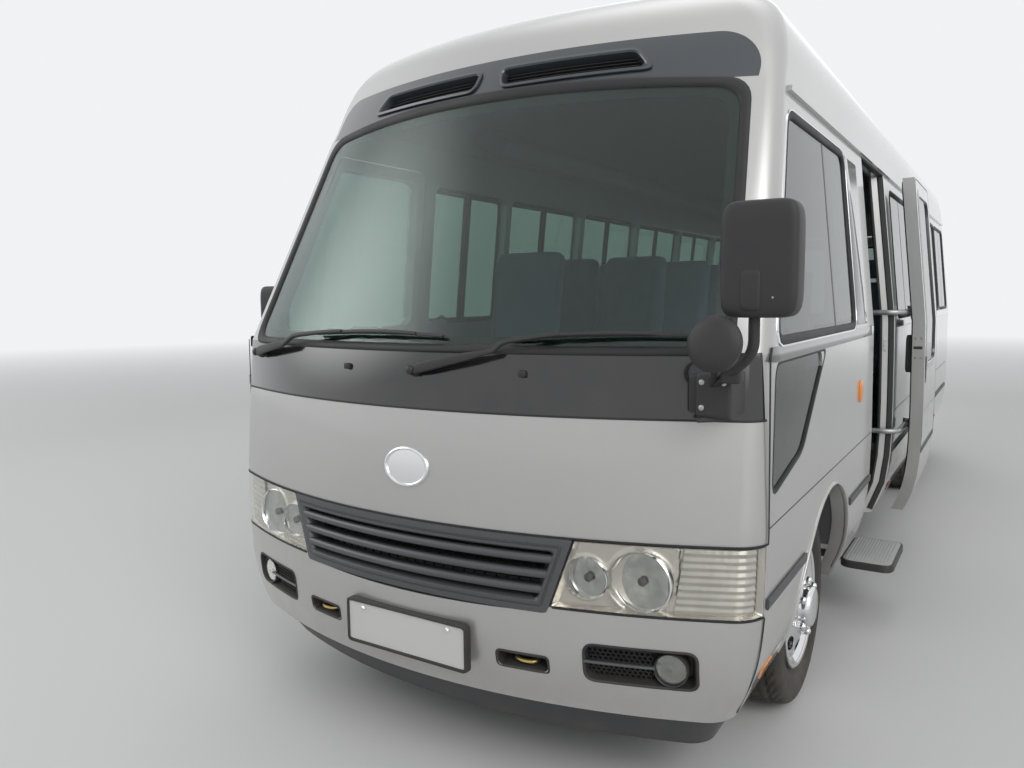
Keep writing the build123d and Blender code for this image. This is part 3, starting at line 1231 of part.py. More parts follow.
def rim(side, centres, disc_x, bore, hub_x, axle_y, name):
    """Rims of one wheel body with a disc and a hub, at distances from the bus's middle."""
    with BuildPart() as body:
        for centre in centres:
            rod(
                (side * centre - RIM_WIDTH / 2, axle_y, TYRE_RADIUS),
                (side * centre + RIM_WIDTH / 2, axle_y, TYRE_RADIUS),
                RIM_RADIUS,
            )
            for end in (-1, 1):
                rod(
                    (side * centre + end * (RIM_WIDTH / 2 - RIM_WALL), axle_y, TYRE_RADIUS),
                    (side * centre + end * RIM_WIDTH / 2, axle_y, TYRE_RADIUS),
                    FLANGE_RADIUS,
                )
        for centre in centres:
            rod(
                (side * centre - RIM_WIDTH, axle_y, TYRE_RADIUS),
                (side * centre + RIM_WIDTH, axle_y, TYRE_RADIUS),
                RIM_RADIUS - RIM_WALL,
                mode=Mode.SUBTRACT,
            )
        for disc in disc_x:
            rod((side * disc, axle_y, TYRE_RADIUS), (side * (disc + DISC_THICK), axle_y, TYRE_RADIUS), RIM_RADIUS - 2)
            with BuildSketch(Plane((side * disc, axle_y, TYRE_RADIUS), x_dir=(0, 1, 0), z_dir=(side, 0, 0))):
                with PolarLocations(HAND_HOLE_RING, HAND_HOLES):
                    Ellipse(20, 28)
            extrude(amount=DISC_THICK, mode=Mode.SUBTRACT)
        rod((side * hub_x[0], axle_y, TYRE_RADIUS), (side * hub_x[1], axle_y, TYRE_RADIUS), HUB_RADIUS)
        rod(
            (side * hub_x[0], axle_y, TYRE_RADIUS),
            (side * hub_x[2], axle_y, TYRE_RADIUS),
            bore + PIN_GAP,
            mode=Mode.SUBTRACT,
        )
    body.part.label = name
    export_step(body.part, f"parts/{name}.step")


front_centre = FRONT_TRACK / 2
rear_centres = (REAR_TRACK / 2 - TWIN_SPACING / 2, REAR_TRACK / 2 + TWIN_SPACING / 2)
for side, place in ((1, "left"), (-1, "right")):
    tyre(side, (front_centre,), FRONT_AXLE_Y, f"front_tyre_{place}")
    rim(
        side,
        (front_centre,),
        (front_centre + FRONT_DISC_OUT,),
        SPINDLE_RADIUS,
        (YOKE_X[1] + 12, SPINDLE_END_X + 35, SPINDLE_END_X + 5),
        FRONT_AXLE_Y,
        f"front_rim_{place}",
    )
    tyre(side, rear_centres, REAR_AXLE_Y, f"rear_tyre_{place}")
    rim(
        side,
        rear_centres,
        (rear_centres[0] + 70, rear_centres[1] - 70),
        REAR_SPINDLE_RADIUS,
        (rear_centres[0] - 20, REAR_SPINDLE_END_X + 60, REAR_SPINDLE_END_X + 5),
        REAR_AXLE_Y,
        f"rear_rim_{place}",
    )

# Entry step that slides out under the entrance
STEP_PLATE_X = (930.0, 1160.0)
STEP_PLATE_Y = (-1455.0, -1020.0)
STEP_PLATE_Z = (262.0, 300.0)
STEP_ARM_X = (460.0, 940.0)
STEP_ARM_Z = (GUIDE_Z[0] + GUIDE_WALL + RUN_GAP, GUIDE_Z[1] - GUIDE_WALL - RUN_GAP)
with BuildPart() as entry_step:
    span(STEP_PLATE_X, STEP_PLATE_Y, STEP_PLATE_Z)
    for arm_y in GUIDE_ARM_YS:
        span(STEP_ARM_X, (arm_y - SLIDE_ARM_HALF, arm_y + SLIDE_ARM_HALF), STEP_ARM_Z)
entry_step.part.label = "entry_step"
export_step(entry_step.part, "parts/entry_step.step")

# Dashboard and steering wheel
with BuildPart() as dashboard:
    side_prism(
        (
            (-3480, 1330),
            (-3040, 1290),
            (-2920, 1205),
            (-2900, 1060),
            (-2940, 960),
            (-3000, 960),
            (-3040, 1120),
            (-3480, 1150),
        ),
        ALL_X,
    )
    add(lining_form, mode=Mode.INTERSECT)
    span(CAB_SILL_X, (CAB_DOOR_FRONT_Y - 10, -2000), (0, HEIGHT), mode=Mode.SUBTRACT)
dashboard.part.label = "dashboard"
export_step(dashboard.part, "parts/dashboard.step")

WHEEL_HUB = (-520.0, -2700.0, 1150.0)
COLUMN_FOOT = (-520.0, -3010.0, FLOOR_Z)
WHEEL_RADIUS = 215.0
WHEEL_GRIP = 15.0
with BuildPart() as steering_wheel:
    column_axis = Vector(*WHEEL_HUB) - Vector(*COLUMN_FOOT)
    with Locations(Plane(origin=WHEEL_HUB, x_dir=(1, 0, 0), z_dir=column_axis)):
        Torus(WHEEL_RADIUS, WHEEL_GRIP)
        Cylinder(48, 40)
        Box(2 * WHEEL_RADIUS, 34, 14)
    rod(COLUMN_FOOT, WHEEL_HUB, 24)
    span((-600, -440), (-3100, -2900), (FLOOR_Z - 60, FLOOR_Z), mode=Mode.SUBTRACT)
    span((-560, -480), (-3050, -2975), (FLOOR_Z, FLOOR_Z + 30))
steering_wheel.part.label = "steering_wheel"
export_step(steering_wheel.part, "parts/steering_wheel.step")

# Seats. Columns: low and high X, front of the cushion
CUSHION_DEPTH = 430.0
CUSHION_Z = (1060.0, 1150.0)
CUSHION_CORNER = 35.0
WALL_RAIL_Z = (1000.0, 1040.0)
BASE_Z = (WALL_RAIL_Z[1] + SEAT_GAP, 1060.0)
WALL_RAIL_X = 905.0
BACK_LOW_THICK = 95.0
BACK_TOP_THICK = 70.0
BACK_LEAN = 130.0
BACK_TOP_Z = 1790.0
ROW_PITCH = 760.0
FIRST_ROW_Y = -1640.0
RIGHT_ROWS = 6
SINGLES_FROM = 2
SEAT_GAP_X = 6.0
DOUBLE_X = (-915.0, -75.0)
SINGLE_X = (490.0, 915.0)
DRIVER_X = (-740.0, -300.0)
DRIVER_Y = -2430.0
double_seats = [
    (x[0], x[1], FIRST_ROW_Y + i * ROW_PITCH)
    for i in range(RIGHT_ROWS)
    for x in ((DOUBLE_X[0], -495.0 - SEAT_GAP_X / 2), (-495.0 + SEAT_GAP_X / 2, DOUBLE_X[1]))
]
single_seats = [(SINGLE_X[0], SINGLE_X[1], FIRST_ROW_Y + i * ROW_PITCH) for i in range(SINGLES_FROM, RIGHT_ROWS)]
seats = [(DRIVER_X[0], DRIVER_X[1], DRIVER_Y)] + double_seats + single_seats

with BuildPart() as seat_cushions:
    for low_x, high_x, front_y in seats:
        with BuildSketch(Plane.XY.offset(CUSHION_Z[0])):
            with Locations(((low_x + high_x) / 2, front_y + CUSHION_DEPTH / 2)):
                RectangleRounded(high_x - low_x, CUSHION_DEPTH, CUSHION_CORNER)
        extrude(amount=CUSHION_Z[1] - CUSHION_Z[0])
seat_cushions.part.label = "seat_cushions"
export_step(seat_cushions.part, "parts/seat_cushions.step")

with BuildPart() as seat_backs:
    for low_x, high_x, front_y in seats:
        foot_y = front_y + CUSHION_DEPTH + SEAT_GAP
        side_prism(
            (
                (foot_y, CUSHION_Z[0]),
                (foot_y + BACK_LOW_THICK, CUSHION_Z[0]),
                (foot_y + BACK_LEAN + BACK_TOP_THICK, BACK_TOP_Z - 25),
                (foot_y + BACK_LEAN + BACK_TOP_THICK - 25, BACK_TOP_Z),
                (foot_y + BACK_LEAN + 20, BACK_TOP_Z),
                (foot_y + BACK_LEAN - 5, BACK_TOP_Z - 30),
            ),
            (low_x, high_x),
        )
seat_backs.part.label = "seat_backs"
export_step(seat_backs.part, "parts/seat_backs.step")

LEG_WIDTH = 40.0
SINGLE_LEG_X = SINGLE_X[0] - LEG_WIDTH - 6.0
BASE_DEPTH = CUSHION_DEPTH + BACK_LOW_THICK - 20.0
RAIL_END_Y = FIRST_ROW_Y + (RIGHT_ROWS - 1) * ROW_PITCH + BASE_DEPTH
with BuildPart() as seat_legs:
    span((-FAR, -WALL_RAIL_X), (FIRST_ROW_Y, RAIL_END_Y), WALL_RAIL_Z)
    span((WALL_RAIL_X, FAR), (FIRST_ROW_Y + SINGLES_FROM * ROW_PITCH, RAIL_END_Y), WALL_RAIL_Z)
    add(lining_form, mode=Mode.INTERSECT)
    for i in range(RIGHT_ROWS):
        front_y = FIRST_ROW_Y + i * ROW_PITCH
        blocks = [(-WALL_RAIL_X - 40, DOUBLE_X[1], DOUBLE_X[1] - LEG_WIDTH)]
        if i >= SINGLES_FROM:
            blocks.append((SINGLE_LEG_X, WALL_RAIL_X + 40, SINGLE_LEG_X))
        for low_x, high_x, leg_x in blocks:
            span((low_x, high_x), (front_y + 20, front_y + BASE_DEPTH), BASE_Z)
            span((leg_x, leg_x + LEG_WIDTH), (front_y + 60, front_y + BASE_DEPTH - 60), (FLOOR_Z, BASE_Z[0]))
    span((DRIVER_X[0], DRIVER_X[1]), (DRIVER_Y + 20, DRIVER_Y + BASE_DEPTH), BASE_Z)
    span((-505, -345), (DRIVER_Y + 60, DRIVER_Y + BASE_DEPTH - 60), (FLOOR_Z, BASE_Z[0]))
seat_legs.part.label = "seat_legs"
export_step(seat_legs.part, "parts/seat_legs.step")

# Mudflaps
FLAP_X = (700.0, 880.0)
FLAP_Z = (125.0, FLOOR_Z - FLOOR_THICK)
FLAP_THICK = 6.0
FLAP_YS = (FRONT_AXLE_Y + ARCH_RADIUS + 22.0, REAR_AXLE_Y + REAR_ARCH_RADIUS + 22.0)
with BuildPart() as mudflaps:
    for flap_y in FLAP_YS:
        for side in (-1, 1):
            span(pair_x(side, *FLAP_X), (flap_y, flap_y + FLAP_THICK), FLAP_Z)
mudflaps.part.label = "mudflaps"
export_step(mudflaps.part, "parts/mudflaps.step")

# Wipers. Columns: pivot, blade ends, share of the blade where the arm meets it
WIPER_OUT = 16.0
WIPER_BOW = 26.0
WIPERS = (
    ((-874.0, -3270.0, 1342.0), (-452.0, -3373.0, 1418.0), (118.0, -3413.0, 1422.0), 0.255),
    ((23.0, -3443.0, 1321.0), (349.0, -3392.0, 1416.0), (833.0, -3257.0, 1427.0), 0.29),
)
with BuildPart() as wipers:
    for row in WIPERS:
        pivot, blade_start, blade_end = [(x, y - WIPER_OUT, z) for x, y, z in row[:3]]
        arm_end = tuple(a + row[3] * (b - a) for a, b in zip(blade_start, blade_end))
        elbow = tuple((a + b) / 2 for a, b in zip(pivot, arm_end))
        elbow = (elbow[0], elbow[1] - WIPER_BOW, elbow[2])
        rod(pivot, elbow, 9)
        rod(elbow, arm_end, 9)
        rod(blade_start, blade_end, 9)
        rod((pivot[0], pivot[1] - 12, pivot[2]), (pivot[0], pivot[1] + 60, pivot[2]), 18)
    add(cover_form, mode=Mode.SUBTRACT)
wipers.part.label = "wipers"
export_step(wipers.part, "parts/wipers.step")

# Kerb-side mirrors: a bracket box, a bent arm with the long mirror, and a round mirror on a rod
MIRROR_BRACKET_X = (900.0, 990.0)
MIRROR_ELBOW = (1060.0, -3455.0, 1400.0)
ROUND_MIRROR = (985.0, -3520.0, 1425.0)
with BuildPart() as mirrors:
    span(MIRROR_BRACKET_X, (-3400, -3150), (1225, 1350))
    rod((920, -3385, 1320), MIRROR_ELBOW, 14)
    rod((MIRROR_ELBOW[0], MIRROR_ELBOW[1], 1390), (MIRROR_ELBOW[0], MIRROR_ELBOW[1], 1500), 14)
    span((985, 1165), (-3500, -3410), (1485, 1755))
    rod((920, -3385, 1300), ROUND_MIRROR, 8)
    rod((ROUND_MIRROR[0], -3545, ROUND_MIRROR[2]), (ROUND_MIRROR[0], -3505, ROUND_MIRROR[2]), 68)
    add(cover_form, mode=Mode.SUBTRACT)
mirrors.part.label = "mirrors"
export_step(mirrors.part, "parts/mirrors.step")

# Driver's mirror, on a foot at the front of the driver's door
DOOR_MIRROR_FOOT_X = (-1110.0, -1000.0)
DOOR_MIRROR_FOOT_Y = (-3070.0, -3010.0)
DOOR_MIRROR_FOOT_Z = (1335.0, 1390.0)
with BuildPart() as door_mirror:
    span(DOOR_MIRROR_FOOT_X, DOOR_MIRROR_FOOT_Y, DOOR_MIRROR_FOOT_Z)
    span((-1165, -1055), (-3030, -2950), (1355, 1600))
    add(cover_form, mode=Mode.SUBTRACT)
door_mirror.part.label = "door_mirror"
export_step(door_mirror.part, "parts/door_mirror.step")
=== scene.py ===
"""Looks of the long-body minibus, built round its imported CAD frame.

Metres, in the frame of the CAD: +X is the bus's left, -Y forward and +Z up.
"""

import json
import logging
import math
from dataclasses import dataclass
from enum import Enum

import bmesh
import bpy
import numpy as np
from mathutils import Matrix, Vector

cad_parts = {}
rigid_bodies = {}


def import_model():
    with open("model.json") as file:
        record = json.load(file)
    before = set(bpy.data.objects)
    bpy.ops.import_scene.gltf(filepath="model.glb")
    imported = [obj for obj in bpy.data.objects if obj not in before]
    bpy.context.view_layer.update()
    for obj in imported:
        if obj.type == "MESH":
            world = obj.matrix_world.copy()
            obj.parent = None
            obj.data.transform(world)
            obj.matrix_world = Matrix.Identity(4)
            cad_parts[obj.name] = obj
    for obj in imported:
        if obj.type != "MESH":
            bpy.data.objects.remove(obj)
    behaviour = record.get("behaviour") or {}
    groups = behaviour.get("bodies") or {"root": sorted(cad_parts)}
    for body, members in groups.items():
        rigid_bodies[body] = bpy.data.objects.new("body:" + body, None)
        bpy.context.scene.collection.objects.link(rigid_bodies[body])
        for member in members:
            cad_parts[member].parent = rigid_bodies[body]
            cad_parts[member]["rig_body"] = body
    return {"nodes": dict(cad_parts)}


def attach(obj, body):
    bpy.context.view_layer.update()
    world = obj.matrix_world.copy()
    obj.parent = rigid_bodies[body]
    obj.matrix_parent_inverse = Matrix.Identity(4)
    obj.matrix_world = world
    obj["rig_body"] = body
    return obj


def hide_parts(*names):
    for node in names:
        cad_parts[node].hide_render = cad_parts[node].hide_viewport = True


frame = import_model()

log = logging.getLogger("minibus")

Points = np.ndarray

# Body skin. Columns: height, side tuck, nose set-back, bow radius, front corner, tail set-back, tail corner
FRONT_Y = -3.495
REAR_Y = 3.495
SIDE_X = 1.040
TAIL_BOW = 5.2
LOW_LEVELS = np.array(
    (
        (0.340, 0.085, 0.055, 2.33, 0.110, 0.050, 0.110),
        (0.500, 0.026, 0.014, 2.33, 0.110, 0.000, 0.120),
        (0.690, 0.004, 0.009, 2.33, 0.110, 0.008, 0.120),
        (0.900, 0.000, 0.010, 2.33, 0.110, 0.014, 0.120),
    )
)
BELT_LEVELS = np.array(
    (
        (0.900, 0.000, 0.010, 2.33, 0.110, 0.014, 0.120),
        (1.385, 0.007, 0.058, 2.33, 0.090, 0.016, 0.120),
        (2.200, 0.092, 0.475, 2.14, 0.080, 0.076, 0.150),
    )
)
ROOF_LEVELS = np.array(
    (
        (2.200, 0.092, 0.475, 2.14, 0.080, 0.076, 0.150),
        (2.362, 0.115, 0.560, 2.14, 0.110, 0.110, 0.170),
        (2.490, 0.180, 0.655, 2.20, 0.160, 0.195, 0.210),
        (2.573, 0.305, 0.830, 2.30, 0.200, 0.350, 0.250),
        (2.618, 0.480, 1.090, 2.40, 0.240, 0.580, 0.280),
        (2.635, 0.690, 1.450, 2.80, 0.200, 0.900, 0.250),
    )
)
BELT_Z = 1.385
BAND_Z = 1.203
CREASE_Z = 0.905
STRIP_Z = 0.690
# Above this height the roof counts as level
LEVEL_ROOF_Z = 2.6345
# Line where the front meets the side panels
SHUT_Y = FRONT_Y + 0.298
WHEEL_RADIUS = 0.372
FRONT_AXLE_Y = -2.310
REAR_AXLE_Y = 1.625
# Where the open entrance door stands, from its shut place
OPEN_SHIFT = np.array((0.14, 0.80, 0.0))
# Doubled points closer than this are one
WELD = 2e-5
UP = (0.0, 0.0, 1.0)
AHEAD = (0.0, -1.0, 0.0)


def smooth_levels(levels: Points, steps: int = 60) -> Points:
    """Dense table of a smooth stage: a Catmull-Rom curve through the rows, run by row number.

    Args:
        levels: Rows of the stage, height first.
        steps: Samples between two rows.

    Returns:
        Rows of the same columns, rising in height.
    """
    ends = np.vstack((2 * levels[0] - levels[1], levels, 2 * levels[-1] - levels[-2]))
    t = np.linspace(0, 1, steps, endpoint=False)[None, :, None]
    a, b, c, d = (ends[k : k + len(levels) - 1, None, :] for k in range(4))
    curve = 0.5 * (2 * b + (c - a) * t + (2 * a - 5 * b + 4 * c - d) * t**2 + (3 * b - a - 3 * c + d) * t**3)
    return np.vstack((curve.reshape(-1, levels.shape[1]), levels[-1:]))


class Skin:
    """The body's outer surface as a signed distance in plan, for normals and for pieces laid on it."""

    table: Points = np.vstack((smooth_levels(LOW_LEVELS), BELT_LEVELS[1:], smooth_levels(ROOF_LEVELS)[1:]))

    @classmethod
    def columns(cls, z: Points) -> list[Points]:
        """Tuck, nose, bow, corner, tail and tail corner at each height, in metres."""
        return [np.interp(z, cls.table[:, 0], cls.table[:, k]) for k in range(1, 7)]

    @classmethod
    def distance(cls, p: Points) -> Points:
        """Distance of each point outside the outline at its own height; negative inside.

        In plan the outline is a bow of radius R between two straight sides, and a bow at the tail,
        joined by corner arcs whose centres lie a corner radius inside both lines they join.
        """
        tuck, nose, bow, corner, tail, tail_corner = cls.columns(p[:, 2])
        x = np.abs(p[:, 0])
        half = SIDE_X - tuck
        result = x - half
        tail_bow = np.full_like(x, TAIL_BOW)
        ends = ((-1.0, FRONT_Y + nose, bow, corner), (1.0, REAR_Y - tail, tail_bow, tail_corner))
        for facing, tip, radius, arc in ends:
            centre = tip - facing * radius
            arc_x = half - arc
            arc_y = centre + facing * np.sqrt((radius - arc) ** 2 - arc_x**2)
            past = (p[:, 1] - arc_y) * facing > 0
            on_bow = x * (radius - arc) < arc_x * np.hypot(x, p[:, 1] - centre)
            bow_gap = np.hypot(x, p[:, 1] - centre) - radius
            arc_gap = np.hypot(x - arc_x, p[:, 1] - arc_y) - arc
            result = np.where(past, np.where(on_bow, bow_gap, arc_gap), result)
        return result

    @classmethod
    def normals(cls, p: Points, step: float = 0.0008) -> Points:
        """Unit outward normals, as the central difference of the distance along each axis."""
        grads = [(cls.distance(p + step * axis) - cls.distance(p - step * axis)) for axis in np.eye(3)]
        grad = np.stack(grads, 1)
        grad[p[:, 2] > LEVEL_ROOF_Z] = UP
        return grad / np.maximum(np.linalg.norm(grad, axis=1, keepdims=True), 1e-9)

    @classmethod
    def front_y(cls, x: Points, z: Points) -> Points:
        """Y of the front at each x and z: the bow, or the corner arc beyond it."""
        x, z = np.broadcast_arrays(np.asarray(x, float), np.asarray(z, float))
        tuck, nose, bow, corner, _, _ = cls.columns(z)
        half = SIDE_X - tuck
        centre = FRONT_Y + nose + bow
        arc_x = half - corner
        arc_y = centre - np.sqrt((bow - corner) ** 2 - arc_x**2)
        on_bow = centre - np.sqrt(bow**2 - x**2)
        on_arc = arc_y - np.sqrt(np.maximum(corner**2 - (np.abs(x) - arc_x) ** 2, 0))
        touch = arc_x * bow / (bow - corner)
        return np.where(np.abs(x) < touch, on_bow, on_arc)

    @classmethod
    def rear_y(cls, x: Points, z: Points) -> Points:
        """Y of the tail's bow at each x and z, inside its corners."""
        x, z = np.broadcast_arrays(np.asarray(x, float), np.asarray(z, float))
        tail = cls.columns(z)[4]
        return REAR_Y - tail - TAIL_BOW + np.sqrt(TAIL_BOW**2 - x**2)

    @classmethod
    def side_x(cls, z: Points) -> Points:
        """Half width at each height."""
        return SIDE_X - cls.columns(np.asarray(z, float))[0]


# Mesh making
@dataclass
class Shape:
    """Vertices and faces of one surface, before it becomes an object."""

    points: Points
    faces: list

    def moved(self, shift: tuple) -> "Shape":
        """The same surface, shifted."""
        return Shape(self.points + np.asarray(shift, float), self.faces)

    def mirrored(self) -> "Shape":
        """The surface on the other side of the bus, its faces turned to point outwards again."""
        return Shape(self.points * (-1, 1, 1), [f[::-1] for f in self.faces])

    def turned(self, matrix: Matrix) -> "Shape":
        """The surface carried by a 4 x 4 matrix."""
        m = np.array(matrix)
        return Shape(self.points @ m[:3, :3].T + m[:3, 3], self.faces)


def merge(shapes: list[Shape]) -> Shape:
    """One shape holding several, with the face numbers moved on."""
    points, faces, start = [], [], 0
    for shape in shapes:
        points.append(shape.points)
        faces += [tuple(i + start for i in f) for f in shape.faces]
        start += len(shape.points)
    return Shape(np.vstack(points), faces)


def grid_faces(rows: int, cols: int, wrap_rows: bool = False, wrap_cols: bool = False) -> list:
    """Quads of a grid of points numbered row by row, closed round either way if asked."""
    r = np.arange(rows if wrap_rows else rows - 1)
    c = np.arange(cols if wrap_cols else cols - 1)
    rr, cc = (g.ravel() for g in np.meshgrid(r, c, indexing="ij"))
    r1, c1 = (rr + 1) % rows, (cc + 1) % cols
    quads = np.stack((rr * cols + cc, rr * cols + c1, r1 * cols + c1, r1 * cols + cc), 1)
    return [tuple(q) for q in quads.tolist()]


def linked(name: str, data: bpy.types.ID) -> bpy.types.Object:
    """New object that holds some data, linked to the scene."""
    obj = bpy.data.objects.new(name, data)
    bpy.context.scene.collection.objects.link(obj)
    return obj


def mesh_of(name: str, shape: Shape) -> bpy.types.Mesh:
    """New mesh with a shape's points and faces."""
    mesh = bpy.data.meshes.new(name)
    mesh.from_pydata(shape.points.tolist(), [], shape.faces)
    return mesh


def read(items: bpy.types.bpy_prop_collection, key: str, width: int = 3, kind: type = float) -> Points:
    """One attribute of every item of a mesh, as rows of a width."""
    values = np.empty(len(items) * width, kind)
    items.foreach_get(key, values)
    return values.reshape(-1, width) if width > 1 else values


def weld(mesh: bpy.types.Mesh, gap: float, outward: bool = True, depth: float = 0.0) -> None:
    """Merges a mesh's doubled points.

    Args:
        mesh: Mesh to change.
        gap: Greatest distance between points that are merged.
        outward: Whether its faces are turned outwards.
        depth: Thickness that an open sheet gets, or 0.
    """
    work = bmesh.new()
    work.from_mesh(mesh)
    bmesh.ops.remove_doubles(work, verts=work.verts, dist=gap)
    if outward:
        bmesh.ops.recalc_face_normals(work, faces=work.faces)
    if depth:
        bmesh.ops.solidify(work, geom=work.faces[:], thickness=depth)
        bmesh.ops.recalc_face_normals(work, faces=work.faces)
    work.to_mesh(mesh)
    work.free()


def add_piece(
    name: str,
    shape: Shape,
    material: bpy.types.Material,
    body: str = "body",
    smooth: float | None = 35.0,
    slot: str = "",
) -> bpy.types.Object:
    """Piece from a shape, riding on a body, with its faces turned outwards.

    Args:
        name: Name of the piece.
        shape: Its surface, in the bus's frame.
        material: Its finish.
        body: CAD body that it moves with.
        smooth: Angle in degrees up to which edges are shaded smooth, or None for flat.
        slot: Material slot of the record; not used.

    Returns:
        The linked object.
    """
    mesh = mesh_of(name, shape)
    mesh.materials.append(material)
    if smooth is not None:
        mesh.shade_smooth()
    obj = linked(name, mesh)
    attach(obj, body)
    weld(mesh, WELD)
    if smooth is not None:
        mesh.set_sharp_from_angle(angle=math.radians(smooth))
    log.info("piece %s: %d faces on %s", name, len(mesh.polygons), body)
    return obj


def unit(v: Points) -> Points:
    """Vectors scaled to length 1 along the last axis."""
    return v / np.maximum(np.linalg.norm(v, axis=-1, keepdims=True), 1e-12)


def tangents(path: Points, closed: bool) -> Points:
    """Unit tangents of a path: central differences, one-sided at open ends."""
    if closed:
        return unit(np.roll(path, -1, 0) - np.roll(path, 1, 0))
    return unit(np.gradient(path, axis=0))


def sweep(
    path: Points, profile: Points, up: Points, closed: bool = False, scale: Points | float = 1.0
) -> Shape:
    """Profile carried along a path: point = path + u * side + v * up, side = tangent x up.

    Args:
        path: Points of the path, n x 3.
        profile: Closed profile of (u, v) pairs, anticlockwise seen against the tangent.
        up: One upward vector, or one for each point of the path.
        closed: True when the path's ends meet.
        scale: Factor on the profile's width u, one value or one for each point.

    Returns:
        The swept surface, with capped ends when the path is open.
    """
    path, profile = np.asarray(path, float), np.asarray(profile, float)
    t = tangents(path, closed)
    up = np.broadcast_to(np.asarray(up, float), path.shape)
    side = unit(np.cross(t, up))
    rise = unit(np.cross(side, t))
    wide = np.broadcast_to(np.asarray(scale, float), (len(path),))[:, None, None]
    u, v = profile[None, :, :1], profile[None, :, 1:]
    points = path[:, None] + wide * u * side[:, None] + v * rise[:, None]
    rows, cols = len(path), len(profile)
    faces = grid_faces(rows, cols, wrap_rows=closed, wrap_cols=True)
    if not closed:
        faces += [tuple(range(cols)), tuple(range((rows - 1) * cols, rows * cols))[::-1]]
    return Shape(points.reshape(-1, 3), faces)


def round_profile(radius: float, sides: int = 12, flat: float = 1.0) -> Points:
    """Circle or ellipse profile: (r cos a, flat r sin a)."""
    a = np.linspace(0, 2 * np.pi, sides, endpoint=False)
    return np.stack((radius * np.cos(a), radius * flat * np.sin(a)), 1)


def box_profile(width: float, height: float, corner: float, steps: int = 3) -> Points:
    """Rectangle profile with round corners, anticlockwise from the right-hand side."""
    a = np.linspace(0, np.pi / 2, steps + 1)
    arcs = []
    for k, (sx, sy) in enumerate(((1, 1), (-1, 1), (-1, -1), (1, -1))):
        centre = np.array((sx * (width / 2 - corner), sy * (height / 2 - corner)))
        arcs.append(centre + corner * np.stack((np.cos(a + k * np.pi / 2), np.sin(a + k * np.pi / 2)), 1))
    return np.vstack(arcs)


def lathe(profile: Points, centre: tuple, axis: tuple, sides: int = 64) -> Shape:
    """Profile of (along, radius) pairs turned about an axis through centre.

    point = centre + along * axis + radius * (cos a * e1 + sin a * e2), for a round the whole turn.
    """
    profile = np.asarray(profile, float)
    w = unit(np.asarray(axis, float))
    e1 = unit(np.cross(w, UP if abs(w[2]) < 0.9 else (1.0, 0.0, 0.0)))
    e2 = np.cross(w, e1)
    a = np.linspace(0, 2 * np.pi, sides, endpoint=False)
    ring = np.cos(a)[:, None] * e1 + np.sin(a)[:, None] * e2
    points = np.asarray(centre, float) + profile[:, None, :1] * w + profile[:, None, 1:2] * ring[None]
    rows = len(profile)
    faces = grid_faces(rows, sides, wrap_cols=True)
    faces += [tuple(range(sides))[::-1], tuple(range((rows - 1) * sides, rows * sides))]
    return Shape(points.reshape(-1, 3), faces)


def puffed_box(low: tuple, high: tuple, power: float = 0.28, rows: int = 17, cols: int = 28) -> Shape:
    """Box with softly rounded edges: a superellipsoid whose sine and cosine are raised to a small power."""
    v = np.linspace(-np.pi / 2, np.pi / 2, rows)[:, None]
    u = np.linspace(-np.pi, np.pi, cols, endpoint=False)[None, :]

    def ease(value: Points) -> Points:
        """Signed power that squares a wave off."""
        return np.sign(value) * np.abs(value) ** power

    x, y = ease(np.cos(v)) * ease(np.cos(u)), ease(np.cos(v)) * ease(np.sin(u))
    z = ease(np.sin(v)) * np.ones_like(u)
    low, high = np.asarray(low, float), np.asarray(high, float)
    points = (low + high) / 2 + np.stack((x, y, z), -1) * (high - low) / 2
    return Shape(points.reshape(-1, 3), grid_faces(rows, cols, wrap_cols=True))


def bend(a: Points, b: Points, c: Points, t: Points) -> Points:
    """Quadratic curve from a to c, drawn towards b: (1 - t)^2 a + 2 t (1 - t) b + t^2 c."""
    return (1 - t) ** 2 * a + 2 * t * (1 - t) * b + t**2 * c


def rect(x0: float, x1: float, z0: float, z1: float) -> tuple:
    """Corners of a rectangle, anticlockwise from the low one."""
    return ((x0, z0), (x1, z0), (x1, z1), (x0, z1))


def rounded_path(corners: Points, radius: float, steps: int = 8, closed: bool = True) -> Points:
    """Path or polygon whose corners are round: each gives a quadratic arc between its cut-backs."""
    corners = np.asarray(corners, float)
    before, after = np.roll(corners, 1, 0), np.roll(corners, -1, 0)
    if not closed:
        before, after = before[1:-1], after[1:-1]
    middle = corners if closed else corners[1:-1]
    start = middle + unit(before - middle) * radius
    end = middle + unit(after - middle) * radius
    t = np.linspace(0, 1, steps + 1)[None, :, None]
    arcs = bend(start[:, None], middle[:, None], end[:, None], t).reshape(-1, corners.shape[1])
    return arcs if closed else np.vstack((corners[:1], arcs, corners[-1:]))


def resample(path: Points, count: int = 0, pitch: float = 0.05, closed: bool = True) -> Points:
    """Path sampled again at even steps by length along it: a count of them, or as many as the pitch asks."""
    if closed:
        path = np.vstack((path, path[:1]))
    run = np.concatenate(([0], np.cumsum(np.linalg.norm(np.diff(path, axis=0), axis=1))))
    at = np.linspace(0, run[-1], count or int(run[-1] / pitch) + 1, endpoint=not closed)
    return np.stack([np.interp(at, run, path[:, k]) for k in range(path.shape[1])], 1)


# Finishes
PALE = (0.88, 0.89, 0.90, 1)


def set_inputs(node: bpy.types.Node, values: dict) -> None:
    """Sets a node's inputs, named or numbered in the table."""
    for key, value in values.items():
        node.inputs[key].default_value = value


def add_node(tree: bpy.types.NodeTree, kind: str, inputs: dict | None = None, **settings) -> bpy.types.Node:
    """New shader node with its settings and then its inputs."""
    node = tree.nodes.new(f"ShaderNode{kind}")
    for key, value in settings.items():
        setattr(node, key, value)
    set_inputs(node, inputs or {})
    return node


